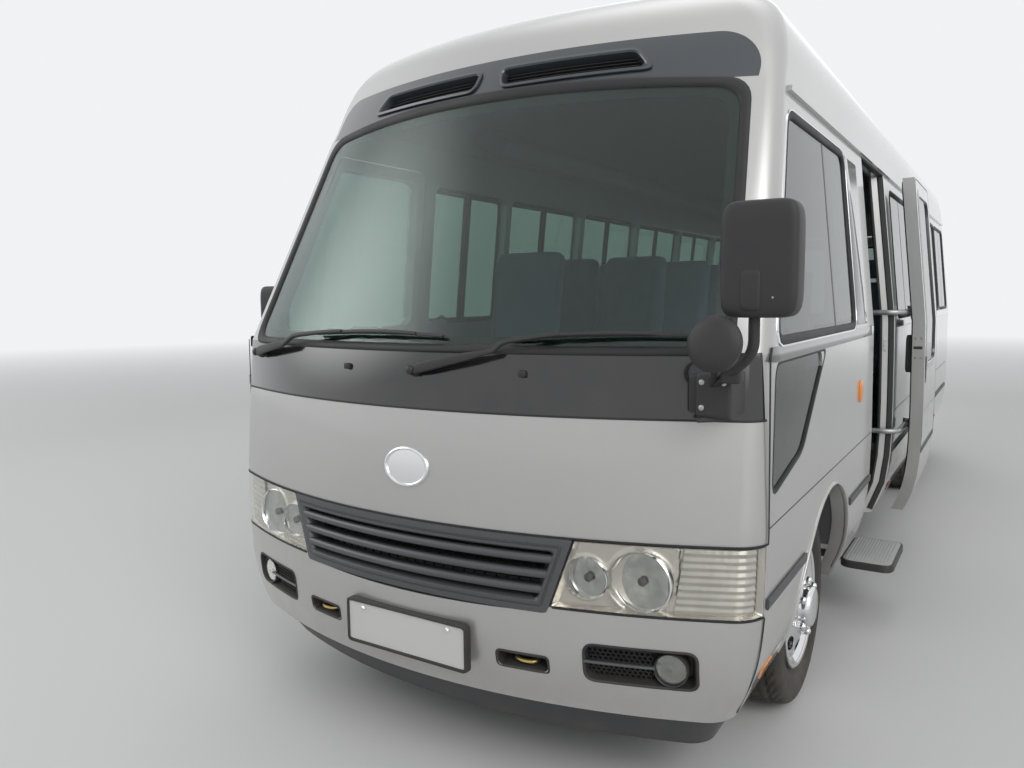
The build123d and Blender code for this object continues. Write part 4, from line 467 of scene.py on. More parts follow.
def wire(tree: bpy.types.NodeTree, *links: tuple) -> None:
    """Links of a node tree, each given as node, its output, node, its input."""
    for source, out, target, into in links:
        tree.links.new(source.outputs[out], target.inputs[into])


def new_group(name: str, inputs: dict, outputs: tuple) -> tuple:
    """Node group with float sockets, and its input and output nodes."""
    group = bpy.data.node_groups.new(name, "ShaderNodeTree")
    kind = "NodeSocketFloat"
    for key, value in inputs.items():
        group.interface.new_socket(name=key, in_out="INPUT", socket_type=kind).default_value = value
    for key in outputs:
        group.interface.new_socket(name=key, in_out="OUTPUT", socket_type=kind)
    return group, group.nodes.new("NodeGroupInput"), group.nodes.new("NodeGroupOutput")


def noise_group(name: str) -> bpy.types.NodeTree:
    """Group that gives a soft cloud mask and a fine grain height from Object coordinates."""
    group, start, end = new_group(name, {"Cloud scale": 2.0, "Grain scale": 400.0}, ("Cloud", "Grain"))
    place = add_node(group, "TexCoord")
    for scale, result, detail in (("Cloud scale", "Cloud", 4.0), ("Grain scale", "Grain", 2.0)):
        noise = add_node(group, "TexNoise", {"Detail": detail})
        wire(group, (place, "Object", noise, "Vector"), (start, scale, noise, "Scale"))
        wire(group, (noise, "Fac", end, result))
    return group


def dust_group(name: str) -> bpy.types.NodeTree:
    """Group that gives a mask of road dust: strongest at the foot of the bus, broken up by noise."""
    group, start, end = new_group(name, {"Top": 0.9, "Amount": 0.4}, ("Dust",))
    place, split = add_node(group, "TexCoord"), add_node(group, "SeparateXYZ")
    fall = add_node(group, "MapRange", {"To Min": 1.0, "To Max": 0.0})
    noise = add_node(group, "TexNoise", {"Scale": 6.0, "Detail": 6.0, "Roughness": 0.65})
    shape = add_node(group, "MapRange", {"From Min": 0.36, "From Max": 0.70})
    power = add_node(group, "Math", {1: 1.8}, operation="POWER")
    mix, gain = (add_node(group, "Math", operation="MULTIPLY") for _ in range(2))
    wire(
        group,
        (place, "Object", split, 0),
        (split, "Z", fall, "Value"),
        (start, "Top", fall, "From Max"),
        (place, "Object", noise, "Vector"),
        (noise, "Fac", shape, "Value"),
        (fall, 0, power, 0),
        (power, 0, mix, 0),
        (shape, 0, mix, 1),
        (mix, 0, gain, 0),
        (start, "Amount", gain, 1),
        (gain, 0, end, "Dust"),
    )
    return group


NOISE = noise_group("cloud_and_grain")
DUST = dust_group("road_dust")
DUST_COLOUR = (0.33, 0.27, 0.20, 1.0)


@dataclass(frozen=True)
class Finish:
    """One finish: colour, its variation, roughness, grain bump and road dust."""

    name: str
    colour: tuple
    tone: float = 0.06
    metallic: float = 0.0
    roughness: float = 0.5
    coat: float = 0.0
    coat_roughness: float = 0.05
    # Strength and scale of the grain, and amount and upper end of the dust
    grain: tuple = (0.0, 500.0)
    cloud_scale: float = 3.0
    dust: tuple = (0.0, 0.9)
    transmission: float = 0.0
    ior: float = 1.45
    sheen: float = 0.0

    def make(self) -> bpy.types.Material:
        """Material of the finish: noise varies the base colour and roughness, and dust lies over both."""
        material = bpy.data.materials.new(self.name)
        material.use_nodes = True
        tree = material.node_tree
        shader = tree.nodes["Principled BSDF"]
        grain, grain_scale = self.grain
        amount, dust_top = self.dust
        scales = {"Cloud scale": self.cloud_scale, "Grain scale": grain_scale}
        noise = add_node(tree, "Group", scales, node_tree=NOISE)
        light, dark = ((*np.clip(np.array(self.colour) * (1 + v), 0, 1), 1) for v in (self.tone, -self.tone))
        base = add_node(tree, "Mix", {"A": dark, "B": light}, data_type="RGBA")
        spread = {"To Min": self.roughness * 0.86, "To Max": min(self.roughness * 1.14, 1.0)}
        rough = add_node(tree, "MapRange", {"From Min": 0.3, "From Max": 0.7, **spread})
        wire(tree, (noise, "Cloud", base, "Factor"), (noise, "Cloud", rough, "Value"))
        if amount > 0:
            dust = add_node(tree, "Group", {"Top": dust_top, "Amount": amount}, node_tree=DUST)
            dusty = add_node(tree, "Mix", {"B": DUST_COLOUR}, data_type="RGBA")
            dull = add_node(tree, "Mix", {"B": 0.85})
            wire(tree, (dust, "Dust", dusty, "Factor"), (base, "Result", dusty, "A"))
            wire(tree, (dust, "Dust", dull, "Factor"), (rough, "Result", dull, "A"))
            base, rough = dusty, dull
        wire(tree, (base, "Result", shader, "Base Color"), (rough, "Result", shader, "Roughness"))
        surface = {
            "Metallic": self.metallic, "Coat Weight": self.coat, "Coat Roughness": self.coat_roughness,
            "Transmission Weight": self.transmission, "IOR": self.ior, "Sheen Weight": self.sheen,
        }
        set_inputs(shader, surface)
        if grain > 0:
            bump = add_node(tree, "Bump", {"Strength": grain, "Distance": 0.001})
            wire(tree, (noise, "Grain", bump, "Height"), (bump, "Normal", shader, "Normal"))
        return material


class Finishes:
    """Every finish on the bus, made once."""

    silver = Finish(
        "silver_paint", (0.47, 0.466, 0.458), 0.03, 0.60, 0.34, 1.0, 0.06, (0.05, 1600), 1.2, (0.55, 0.95)
    ).make()
    gloss_black = Finish(
        "gloss_black", (0.012, 0.012, 0.014), 0.1, 0.0, 0.16, 1.0, 0.03, dust=(0.12, 2.6)
    ).make()
    visor_grey = Finish("visor_grey", (0.045, 0.052, 0.060), 0.08, 0.1, 0.32, 0.8, 0.08, (0.04, 900)).make()
    seal = Finish("seal_rubber", (0.020, 0.020, 0.021), 0.15, 0.0, 0.55, grain=(0.2, 700)).make()
    grille_grey = Finish(
        "grille_grey", (0.090, 0.092, 0.098), 0.08, 0.25, 0.42, 0.15, grain=(0.12, 900)
    ).make()
    moulding = Finish(
        "moulded_black", (0.026, 0.026, 0.028), 0.12, 0.0, 0.5, grain=(0.35, 900), dust=(0.15, 2.5)
    ).make()
    lip_black = Finish(
        "lip_black", (0.03, 0.034, 0.04), 0.15, 0.0, 0.42, grain=(0.15, 300), dust=(0.6, 0.5)
    ).make()
    chassis = Finish(
        "chassis_paint", (0.03, 0.03, 0.031), 0.3, 0.2, 0.6, grain=(0.4, 120), dust=(0.8, 1.1)
    ).make()
    cast = Finish("cast_metal", (0.16, 0.155, 0.15), 0.25, 0.7, 0.6, grain=(0.5, 200), dust=(0.4, 1.2)).make()
    steel = Finish(
        "plain_steel", (0.42, 0.42, 0.42), 0.15, 0.9, 0.42, grain=(0.2, 300), dust=(0.4, 0.9)
    ).make()
    chrome = Finish("chrome", (0.80, 0.80, 0.81), 0.03, 1.0, 0.10, dust=(0.22, 0.75)).make()
    tyre = Finish(
        "tyre_rubber", (0.028, 0.027, 0.026), 0.2, 0.0, 0.72, grain=(0.3, 260), dust=(0.40, 0.7)
    ).make()
    flap = Finish("flap_rubber", (0.03, 0.03, 0.03), 0.2, 0.0, 0.7, grain=(0.3, 200), dust=(0.8, 0.8)).make()
    floor = Finish("floor_vinyl", (0.10, 0.10, 0.105), 0.15, 0.0, 0.55, grain=(0.4, 300)).make()
    # Painted shade: the lining grey is darker than the liner itself, so the cabin reads dim through the glass.
    lining = Finish("lining", (0.26, 0.26, 0.25), 0.05, 0.0, 0.7, grain=(0.2, 500)).make()
    dash = Finish("dash_plastic", (0.14, 0.14, 0.145), 0.08, 0.0, 0.6, grain=(0.4, 800)).make()
    cloth = Finish(
        "seat_cloth", (0.16, 0.19, 0.27), 0.2, 0.0, 0.9, grain=(0.6, 900), cloud_scale=12, sheen=0.3
    ).make()
    plate = Finish(
        "blank_plate", (0.62, 0.62, 0.60), 0.05, 0.0, 0.45, grain=(0.1, 300), dust=(0.5, 0.7)
    ).make()
    mesh_black = Finish("mesh_black", (0.008, 0.008, 0.008), 0.2, 0.0, 0.7, grain=(0.1, 200)).make()
    lamp_silver = Finish("lamp_silver", (0.66, 0.63, 0.59), 0.04, 0.75, 0.26).make()
    signal = Finish("signal_screen", (0.60, 0.58, 0.54), 0.22, 0.55, 0.2, cloud_scale=14).make()
    tread_grey = Finish(
        "tread_grey", (0.46, 0.465, 0.46), 0.08, 0.0, 0.6, grain=(0.3, 500), dust=(0.2, 0.6)
    ).make()
    brass = Finish("tow_hook_plating", (0.55, 0.42, 0.16), 0.12, 0.9, 0.35, grain=(0.2, 300)).make()
    strip_grey = Finish(
        "strip_grey", (0.075, 0.078, 0.082), 0.1, 0.0, 0.5, grain=(0.2, 600), dust=(0.3, 1.0)
    ).make()
    amber = Finish("amber_plastic", (0.85, 0.22, 0.03), 0.05, 0.0, 0.25, 0.6).make()
    red = Finish("red_plastic", (0.42, 0.015, 0.012), 0.05, 0.0, 0.2, 0.8).make()
    orange = Finish("orange_plastic", (0.80, 0.25, 0.03), 0.05, 0.0, 0.2, 0.8).make()
    white_lens = Finish("white_lens", (0.75, 0.75, 0.74), 0.03, 0.0, 0.2, 0.8).make()
    # Painted reflection: the wide tone spread gives the mirror bowls light and dark patches that stand for what
    # they reflect.
    reflector = Finish("lamp_reflector", (0.46, 0.47, 0.47), 0.55, 1.0, 0.16, cloud_scale=22).make()
    mirror = Finish("mirror_glass", (0.80, 0.82, 0.83), 0.01, 1.0, 0.02).make()
    # The windshield's green is the glass's own tint, deepened as painted shade for the dim cabin behind it.
    screen = Finish("windshield_glass", (0.44, 0.62, 0.56), 0.02, 0.0, 0.0, transmission=1.0).make()
    tint = Finish("tinted_glass", (0.17, 0.22, 0.20), 0.02, 0.0, 0.0, transmission=1.0).make()
    lamp = Finish("lamp_cover", (0.93, 0.93, 0.90), 0.01, 0.0, 0.0, transmission=1.0).make()


# CAD panels that keep their shape and get smooth shading
class PanelSet:
    """Copies of the body's painted panels and panes, merged and shaded by the skin's own normals."""

    finishes: dict = {
        "side_wall_left": Finishes.silver,
        "side_wall_right": Finishes.silver,
        "roof_panel": Finishes.silver,
        "roof_visor": Finishes.visor_grey,
        "front_panel": Finishes.silver,
        "cowl_band": Finishes.gloss_black,
        "front_bumper": Finishes.silver,
        "rear_wall": Finishes.silver,
        "rear_bumper": Finishes.silver,
        "rear_door_left": Finishes.silver,
        "rear_door_right": Finishes.silver,
        "driver_door": Finishes.silver,
        "entrance_door": Finishes.silver,
        "windshield": Finishes.screen,
        "side_glass": Finishes.tint,
        "driver_door_glass": Finishes.tint,
        "entrance_door_glass": Finishes.tint,
        "rear_door_left_glass": Finishes.tint,
        "rear_door_right_glass": Finishes.tint,
    }
    gap: float = 1e-5
    # A face follows the skin when its normal is this close to it, and it lies no deeper than this
    likeness: float = 0.93
    deepest: float = -0.085

    def loop_normals(self, mesh: bpy.types.Mesh, shift: Points) -> Points:
        """Normals for every face corner: the skin's where a face lies along it, else the face's own."""
        co = read(mesh.vertices, "co") - shift
        vertex = read(mesh.loops, "vertex_index", 1, int)
        turns = read(mesh.polygons, "loop_total", 1, int)
        own = read(mesh.polygons, "normal")[np.repeat(np.arange(len(mesh.polygons)), turns)]
        skin = Skin.normals(co)[vertex]
        along = np.sum(skin * own, 1)
        near = (np.abs(along) > self.likeness) & (Skin.distance(co)[vertex] > self.deepest)
        return unit(np.where(near[:, None], skin * np.sign(along)[:, None], own))

    def build(self) -> None:
        """Makes each copy and lets it stand for its node."""
        for node, material in self.finishes.items():
            source = frame["nodes"][node]
            mesh = source.data.copy()
            mesh.name = f"{node}_skin"
            weld(mesh, self.gap, outward=False)
            mesh.update()
            shift = OPEN_SHIFT if node.startswith("entrance_door") else np.zeros(3)
            mesh.materials.clear()
            mesh.materials.append(material)
            mesh.shade_smooth()
            mesh.normals_split_custom_set(self.loop_normals(mesh, shift).tolist())
            obj = linked(f"{node}_skin", mesh)
            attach(obj, source["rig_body"])
            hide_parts(node)
            log.info("panel %s: %d faces", node, len(mesh.polygons))


def stack_rings(rings: list[Points]) -> Shape:
    """Closed surface through rings of as many points each, with a face on the last and the first."""
    rows, cols = len(rings), len(rings[0])
    ends = [tuple(range((rows - 1) * cols, rows * cols)), tuple(range(cols))[::-1]]
    return Shape(np.vstack(rings), grid_faces(rows, cols, wrap_cols=True) + ends)


# Paths and solids laid on the body
def on_front(x: Points, z: Points, out: Points | float = 0.0) -> Points:
    """Points of the front at x and z, pushed outwards along the skin's normal."""
    x, z = np.broadcast_arrays(np.asarray(x, float), np.asarray(z, float))
    p = np.stack((x, Skin.front_y(x, z), z), -1)
    return p + np.asarray(out, float)[..., None] * Skin.normals(p.reshape(-1, 3)).reshape(p.shape)


def on_rear(x: Points, z: Points, out: Points | float = 0.0) -> Points:
    """Points of the tail at x and z, pushed outwards along Y."""
    x, z, out = np.broadcast_arrays(np.asarray(x, float), np.asarray(z, float), np.asarray(out, float))
    return np.stack((x, Skin.rear_y(x, z) + out, z), -1)


def on_side(y: Points, z: Points, out: Points | float = 0.0) -> Points:
    """Points of the left side at y and z, pushed outwards along X."""
    y, z, out = np.broadcast_arrays(np.asarray(y, float), np.asarray(z, float), np.asarray(out, float))
    return np.stack((Skin.side_x(z) + out, y, z), -1)


def settle(p: Points, out: float = 0.0) -> Points:
    """Points moved on to the skin, in four steps along its normals, and then pushed outwards."""
    for _ in range(4):
        p = p - Skin.distance(p)[:, None] * Skin.normals(p)
    return p + out * Skin.normals(p)


def ribbon(path: Points, width: float, height: float, corner: float) -> Shape:
    """Strip laid on the skin: a round-cornered rectangle carried along a path, facing outwards."""
    profile = box_profile(width, height, min(corner, height * 0.45))
    return sweep(path, profile + (0.0, height / 2), Skin.normals(path))


def inset_corners(corners: Points, inset: float) -> Points:
    """Convex polygon, anticlockwise, with every edge moved inwards and met again."""
    corners = np.asarray(corners, float)
    edge = unit(np.roll(corners, -1, 0) - corners)
    inward = np.stack((-edge[:, 1], edge[:, 0]), 1)
    start = corners + inset * inward
    before, before_edge = np.roll(start, 1, 0), np.roll(edge, 1, 0)
    gap = start - before
    turn = before_edge[:, 0] * edge[:, 1] - before_edge[:, 1] * edge[:, 0]
    along = (gap[:, 0] * edge[:, 1] - gap[:, 1] * edge[:, 0]) / turn
    return before + along[:, None] * before_edge


def rim_surface(
    corners: Points, steps: tuple, radius: float, place, count: int = 160, lid: bool = True
) -> Shape:
    """Moulding of nested outlines: each row of steps gives an inset and a height above the skin.

    Args:
        corners: Outline in the panel's own plane, anticlockwise seen from outside.
        steps: Pairs of inset and height, in order from the outer edge.
        radius: Corner radius of the outermost outline.
        place: Function that puts plane coordinates and a height on the body.
        count: Points round each outline.
        lid: Whether the last outline is closed with a face.

    Returns:
        The moulding, closed at its outer edge by a face behind the first outline.
    """
    rings = []
    for inset, height in steps:
        flat = rounded_path(inset_corners(corners, inset), max(radius - inset, 0.003))
        flat = resample(flat, count)
        rings.append(place(flat[:, 0], flat[:, 1], height))
    faces = grid_faces(len(rings), count, wrap_cols=True)
    if lid:
        faces.append(tuple(range((len(rings) - 1) * count, len(rings) * count)))
    return Shape(np.vstack(rings), [f[::-1] for f in faces])


def closed_slab(outer: Points, inner: Points) -> Shape:
    """Closed shell between two grids of points that face outwards and inwards."""
    rows, cols = outer.shape[:2]
    front = np.array(grid_faces(rows, cols))
    back = front[:, ::-1] + rows * cols
    edge = np.concatenate(
        (
            np.arange(cols - 1),
            np.arange(rows - 1) * cols + cols - 1,
            (np.arange(cols - 1) + (rows - 1) * cols + 1)[::-1],
            (np.arange(1, rows) * cols)[::-1],
        )
    )
    after = np.roll(edge, -1)
    sides = np.stack((after, edge, edge + rows * cols, after + rows * cols), 1)
    points = np.vstack((outer.reshape(-1, 3), inner.reshape(-1, 3)))
    return Shape(points, [tuple(f) for f in np.vstack((front, back, sides)).tolist()])


def both(shape: Shape) -> Shape:
    """A shape with its mirror image on the other side of the bus."""
    return merge([shape, shape.mirrored()])


def dome(
    centre: Points, axis: Points, radius: float, height: float, sides: int = 16, rings: int = 5
) -> Shape:
    """Round cap, a sphere's slice: radius r cos t and height h sin t for t from 0 to a quarter turn."""
    t = np.linspace(0, np.pi / 2, rings)
    profile = np.stack((height * np.sin(t), np.maximum(radius * np.cos(t), radius * 0.02)), 1)
    return lathe(np.vstack(((-0.002, radius), profile)), centre, axis, sides)


def screw(centre: Points, axis: Points, radius: float = 0.008, height: float = 0.006) -> Shape:
    """Hexagonal bolt head on a washer."""
    washer = ((-0.002, radius * 1.45), (0.0015, radius * 1.45), (0.002, radius * 1.3))
    head = ((0.001, radius), (height * 0.8, radius), (height, radius * 0.75))
    return merge([lathe(washer, centre, axis, 18), lathe(head, centre, axis, 6)])


# Front face
@dataclass
class Grille:
    """Moulded grille with three round-nosed louvres before a black mesh."""

    low_half: float = 0.480
    top_half: float = 0.557
    low_z: float = 0.634
    top_z: float = 0.860
    louvre_zs: tuple = (0.7035, 0.7495, 0.7955)
    mesh_depth: float = -0.050

    def half(self, z: Points) -> Points:
        """Half width at a height, along the slanting ends."""
        return self.low_half + (self.top_half - self.low_half) * (z - self.low_z) / (self.top_z - self.low_z)

    def frame(self) -> Shape:
        """Frame of nested trapezoids: a flat rim, a groove, a raised inner lip and a deep reveal."""
        low, top = (self.low_half, self.low_z), (self.top_half, self.top_z)
        corners = ((-low[0], low[1]), low, top, (-top[0], top[1]))
        steps = (
            (0.0, -0.05), (0.0, -0.001), (0.003, 0.003), (0.020, 0.004), (0.022, 0.001), (0.026, 0.001),
            (0.028, 0.005), (0.036, 0.005), (0.042, -0.002), (0.046, -0.045), (0.060, -0.050),
        )
        return rim_surface(corners, steps, 0.012, on_front, 220, lid=False)

    def louvre(self, z: float) -> Shape:
        """Blade with a round nose, swept along the bowed front and flared where it meets the frame."""
        half = self.half(np.array(z)) - 0.037
        x = np.linspace(-half, half, 61)
        t = np.linspace(-0.62 * np.pi, 0.62 * np.pi, 13)
        nose = np.stack((0.013 * np.cos(t), 0.013 * np.sin(t)), 1)
        tail = ((-0.036, 0.010), (-0.040, 0.003), (-0.036, -0.004))
        return sweep(on_front(x, z, -0.006), np.vstack((nose, tail)), (0.0, 0.12, 1.0))

    def mesh(self) -> Shape:
        """Backing sheet with upright and level bars before it."""
        z = np.linspace(self.low_z + 0.03, self.top_z - 0.03, 5)
        x = np.linspace(-1, 1, 41)[None, :] * (self.half(z)[:, None] - 0.03)
        grid = on_front(x, z[:, None], self.mesh_depth - 0.012)
        sheet = closed_slab(grid, grid + (0, 0.003, 0))
        bars = []
        for share in np.linspace(-0.96, 0.96, 25):
            line = np.linspace(self.low_z + 0.035, self.top_z - 0.035, 4)
            path = on_front(share * (self.half(line) - 0.035), line, self.mesh_depth)
            bars.append(sweep(path, box_profile(0.003, 0.008, 0.001, 1), AHEAD))
        for level in np.linspace(self.low_z + 0.04, self.top_z - 0.04, 8):
            half = self.half(np.array(level)) - 0.03
            path = on_front(np.linspace(-half, half, 25), level, self.mesh_depth - 0.003)
            bars.append(sweep(path, box_profile(0.006, 0.003, 0.001, 1), UP))
        return merge([sheet, *bars])

    def build(self) -> None:
        """Frame and louvres in grey plastic, mesh in black; together they stand for the CAD grille."""
        frame_piece = add_piece(
            "grille_moulding", merge([self.frame()] + [self.louvre(z) for z in self.louvre_zs]),
            Finishes.grille_grey, smooth=40, slot="grey_plastic",
        )
        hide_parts("grille")
        add_piece("grille_mesh", self.mesh(), Finishes.mesh_black, smooth=None, slot="grey_plastic")


def dish(r: Points, radius: float, front: tuple, back: tuple, depth: float) -> Points:
    """Closed profile of a bowed sheet: along = start + depth (1 - r^2) at a share of the radius.

    Args:
        r: Shares of the radius, falling from 1.
        radius: Radius of the dish.
        front: Start and share of its front face.
        back: Start and share of its back face.
        depth: How far the middle lies from the edge.
    """
    faces = []
    for (start, share), at in ((front, r), (back, r[::-1])):
        faces.append(np.stack((start + depth * (1 - at**2), radius * share * at), 1))
    return np.vstack(faces)


@dataclass
class HeadLamp:
    """Left headlamp: clear cover, silver housing with two bowls, bulbs and a ribbed signal."""

    low_z: float = 0.657
    top_z: float = 0.857
    small: tuple = (0.590, 0.748, 0.058)
    large: tuple = (0.735, 0.748, 0.083)
    signal: tuple = (0.838, 1.02)
    cols: int = 120
    rows: int = 48

    def plan_grid(self, depth: float, rows: int, cols: int, margin: float = 0.0) -> Points:
        """Grid from the grille's end round the corner to the shut line; its columns run along the skin."""
        grille = Grille()
        z = np.linspace(self.low_z + margin, self.top_z - margin, rows)
        t = np.linspace(0, 1, 41)[:, None]
        out = []
        for level in z:
            start = grille.half(np.array(level)) + 0.003 + margin
            a = np.array((start, float(Skin.front_y(start, level))))
            c = np.array((SIDE_X, SHUT_Y - 0.003 - margin))
            b = np.array((SIDE_X - 0.008, -3.285))
            p = settle(np.column_stack((bend(a, b, c, t), np.full(41, level))))
            out.append(settle(resample(p, cols, closed=False), -depth))
        return np.stack(out)

    def cover(self) -> Shape:
        """Clear cover: two grids on the skin, 3.5 mm apart, the outer one crowned by half a millimetre."""
        return closed_slab(self.plan_grid(0.0005, 14, 60), self.plan_grid(0.004, 14, 60))

    def housing(self) -> Shape:
        """Silver housing: a sheet 26 mm deep whose bowls and steps come from the distance to their centres.

        depth = base + bowl depth * (1 - (r / R)^2) inside each bowl, less a ring 5 mm high round its rim.
        """
        front = self.plan_grid(0.0, self.rows, self.cols, 0.002)
        x, z = front[..., 0], front[..., 2]
        depth = np.full(x.shape, 0.022)
        for cx, cz, radius in (self.small, self.large):
            r = np.hypot(x - cx, z - cz) / radius
            depth += np.where(r < 1, 0.022 * (1 - r**2) + 0.012, 0.0)
            depth -= 0.006 * np.exp(-(((r - 1.08) / 0.06) ** 2))
        edge_u = np.minimum(np.arange(self.cols), np.arange(self.cols)[::-1])[None, :] / 3.0
        edge_v = np.minimum(np.arange(self.rows), np.arange(self.rows)[::-1])[:, None] / 2.0
        rise = np.clip(np.minimum(edge_u, edge_v), 0, 1)
        depth = 0.0045 + (depth - 0.0045) * rise
        signal = (x > self.signal[0]) & (rise >= 1)
        depth = np.where(signal, depth + 0.006, depth)
        normal = Skin.normals(front.reshape(-1, 3)).reshape(front.shape)
        shown = front - depth[..., None] * normal
        return closed_slab(shown, front - (depth + 0.003)[..., None] * normal)

    def bowl(self, cx: float, cz: float, radius: float) -> list[Shape]:
        """Faceted reflector, its bulb with a round shield, and the chrome ring before it."""
        centre = (cx, float(Skin.front_y(cx, cz)), cz)
        r = np.linspace(1.0, 0.12, 12)
        reflector = lathe(dish(r, radius, (-0.030, 0.97), (-0.032, 0.99), -0.026), centre, AHEAD, 28)
        stem = (
            (-0.058, 0.011), (-0.030, 0.011), (-0.026, 0.013), (-0.020, 0.013), (-0.017, 0.009),
            (-0.0165, 0.001),
        )
        rim = ((-0.034, 1.06), (-0.018, 1.06), (-0.015, 1.02), (-0.019, 0.98), (-0.033, 0.96))
        ring = lathe(np.array(rim) * (1, radius), centre, AHEAD, 64)
        return [reflector, lathe(stem, centre, AHEAD, 24), ring]

    def signal_ribs(self) -> Shape:
        """Ribbed signal screen: a sheet whose depth is a triangle wave across and a step down its height."""
        front = self.plan_grid(0.0, 60, 120, 0.008)
        u = np.linspace(0, 1, 120)
        keep = np.where(front[30, :, 0] > self.signal[0])[0][0]
        front = front[:, keep:-4]
        v = np.linspace(0, 1, 60)[:, None]
        wave = np.abs((v * 9) % 1 - 0.5) * 0.007 + np.abs((u[None, keep:-4] * 24) % 1 - 0.5) * 0.0012
        normal = Skin.normals(front.reshape(-1, 3)).reshape(front.shape)
        shown = front - (0.014 + wave)[..., None] * normal
        return closed_slab(shown, front - (0.014 + wave + 0.002)[..., None] * normal)

    def build(self) -> None:
        """Both lamps; the covers stand for the CAD lamps."""
        cover = add_piece("headlamp_covers", both(self.cover()), Finishes.lamp, smooth=60, slot="lamp_glass")
        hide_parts("front_lamps")
        add_piece(
            "headlamp_housings", both(self.housing()), Finishes.lamp_silver, smooth=50, slot="lamp_glass"
        )
        small, large = self.bowl(*self.small), self.bowl(*self.large)
        add_piece(
            "headlamp_reflectors", both(merge([small[0], large[0]])), Finishes.reflector, smooth=12,
            slot="bright_steel",
        )
        add_piece("headlamp_bulbs", both(merge([small[1], large[1]])), Finishes.cast, slot="lamp_glass")
        add_piece("headlamp_rings", both(merge([small[2], large[2]])), Finishes.chrome, slot="bright_steel")
        add_piece("headlamp_signals", both(self.signal_ribs()), Finishes.signal, smooth=10, slot="lamp_glass")


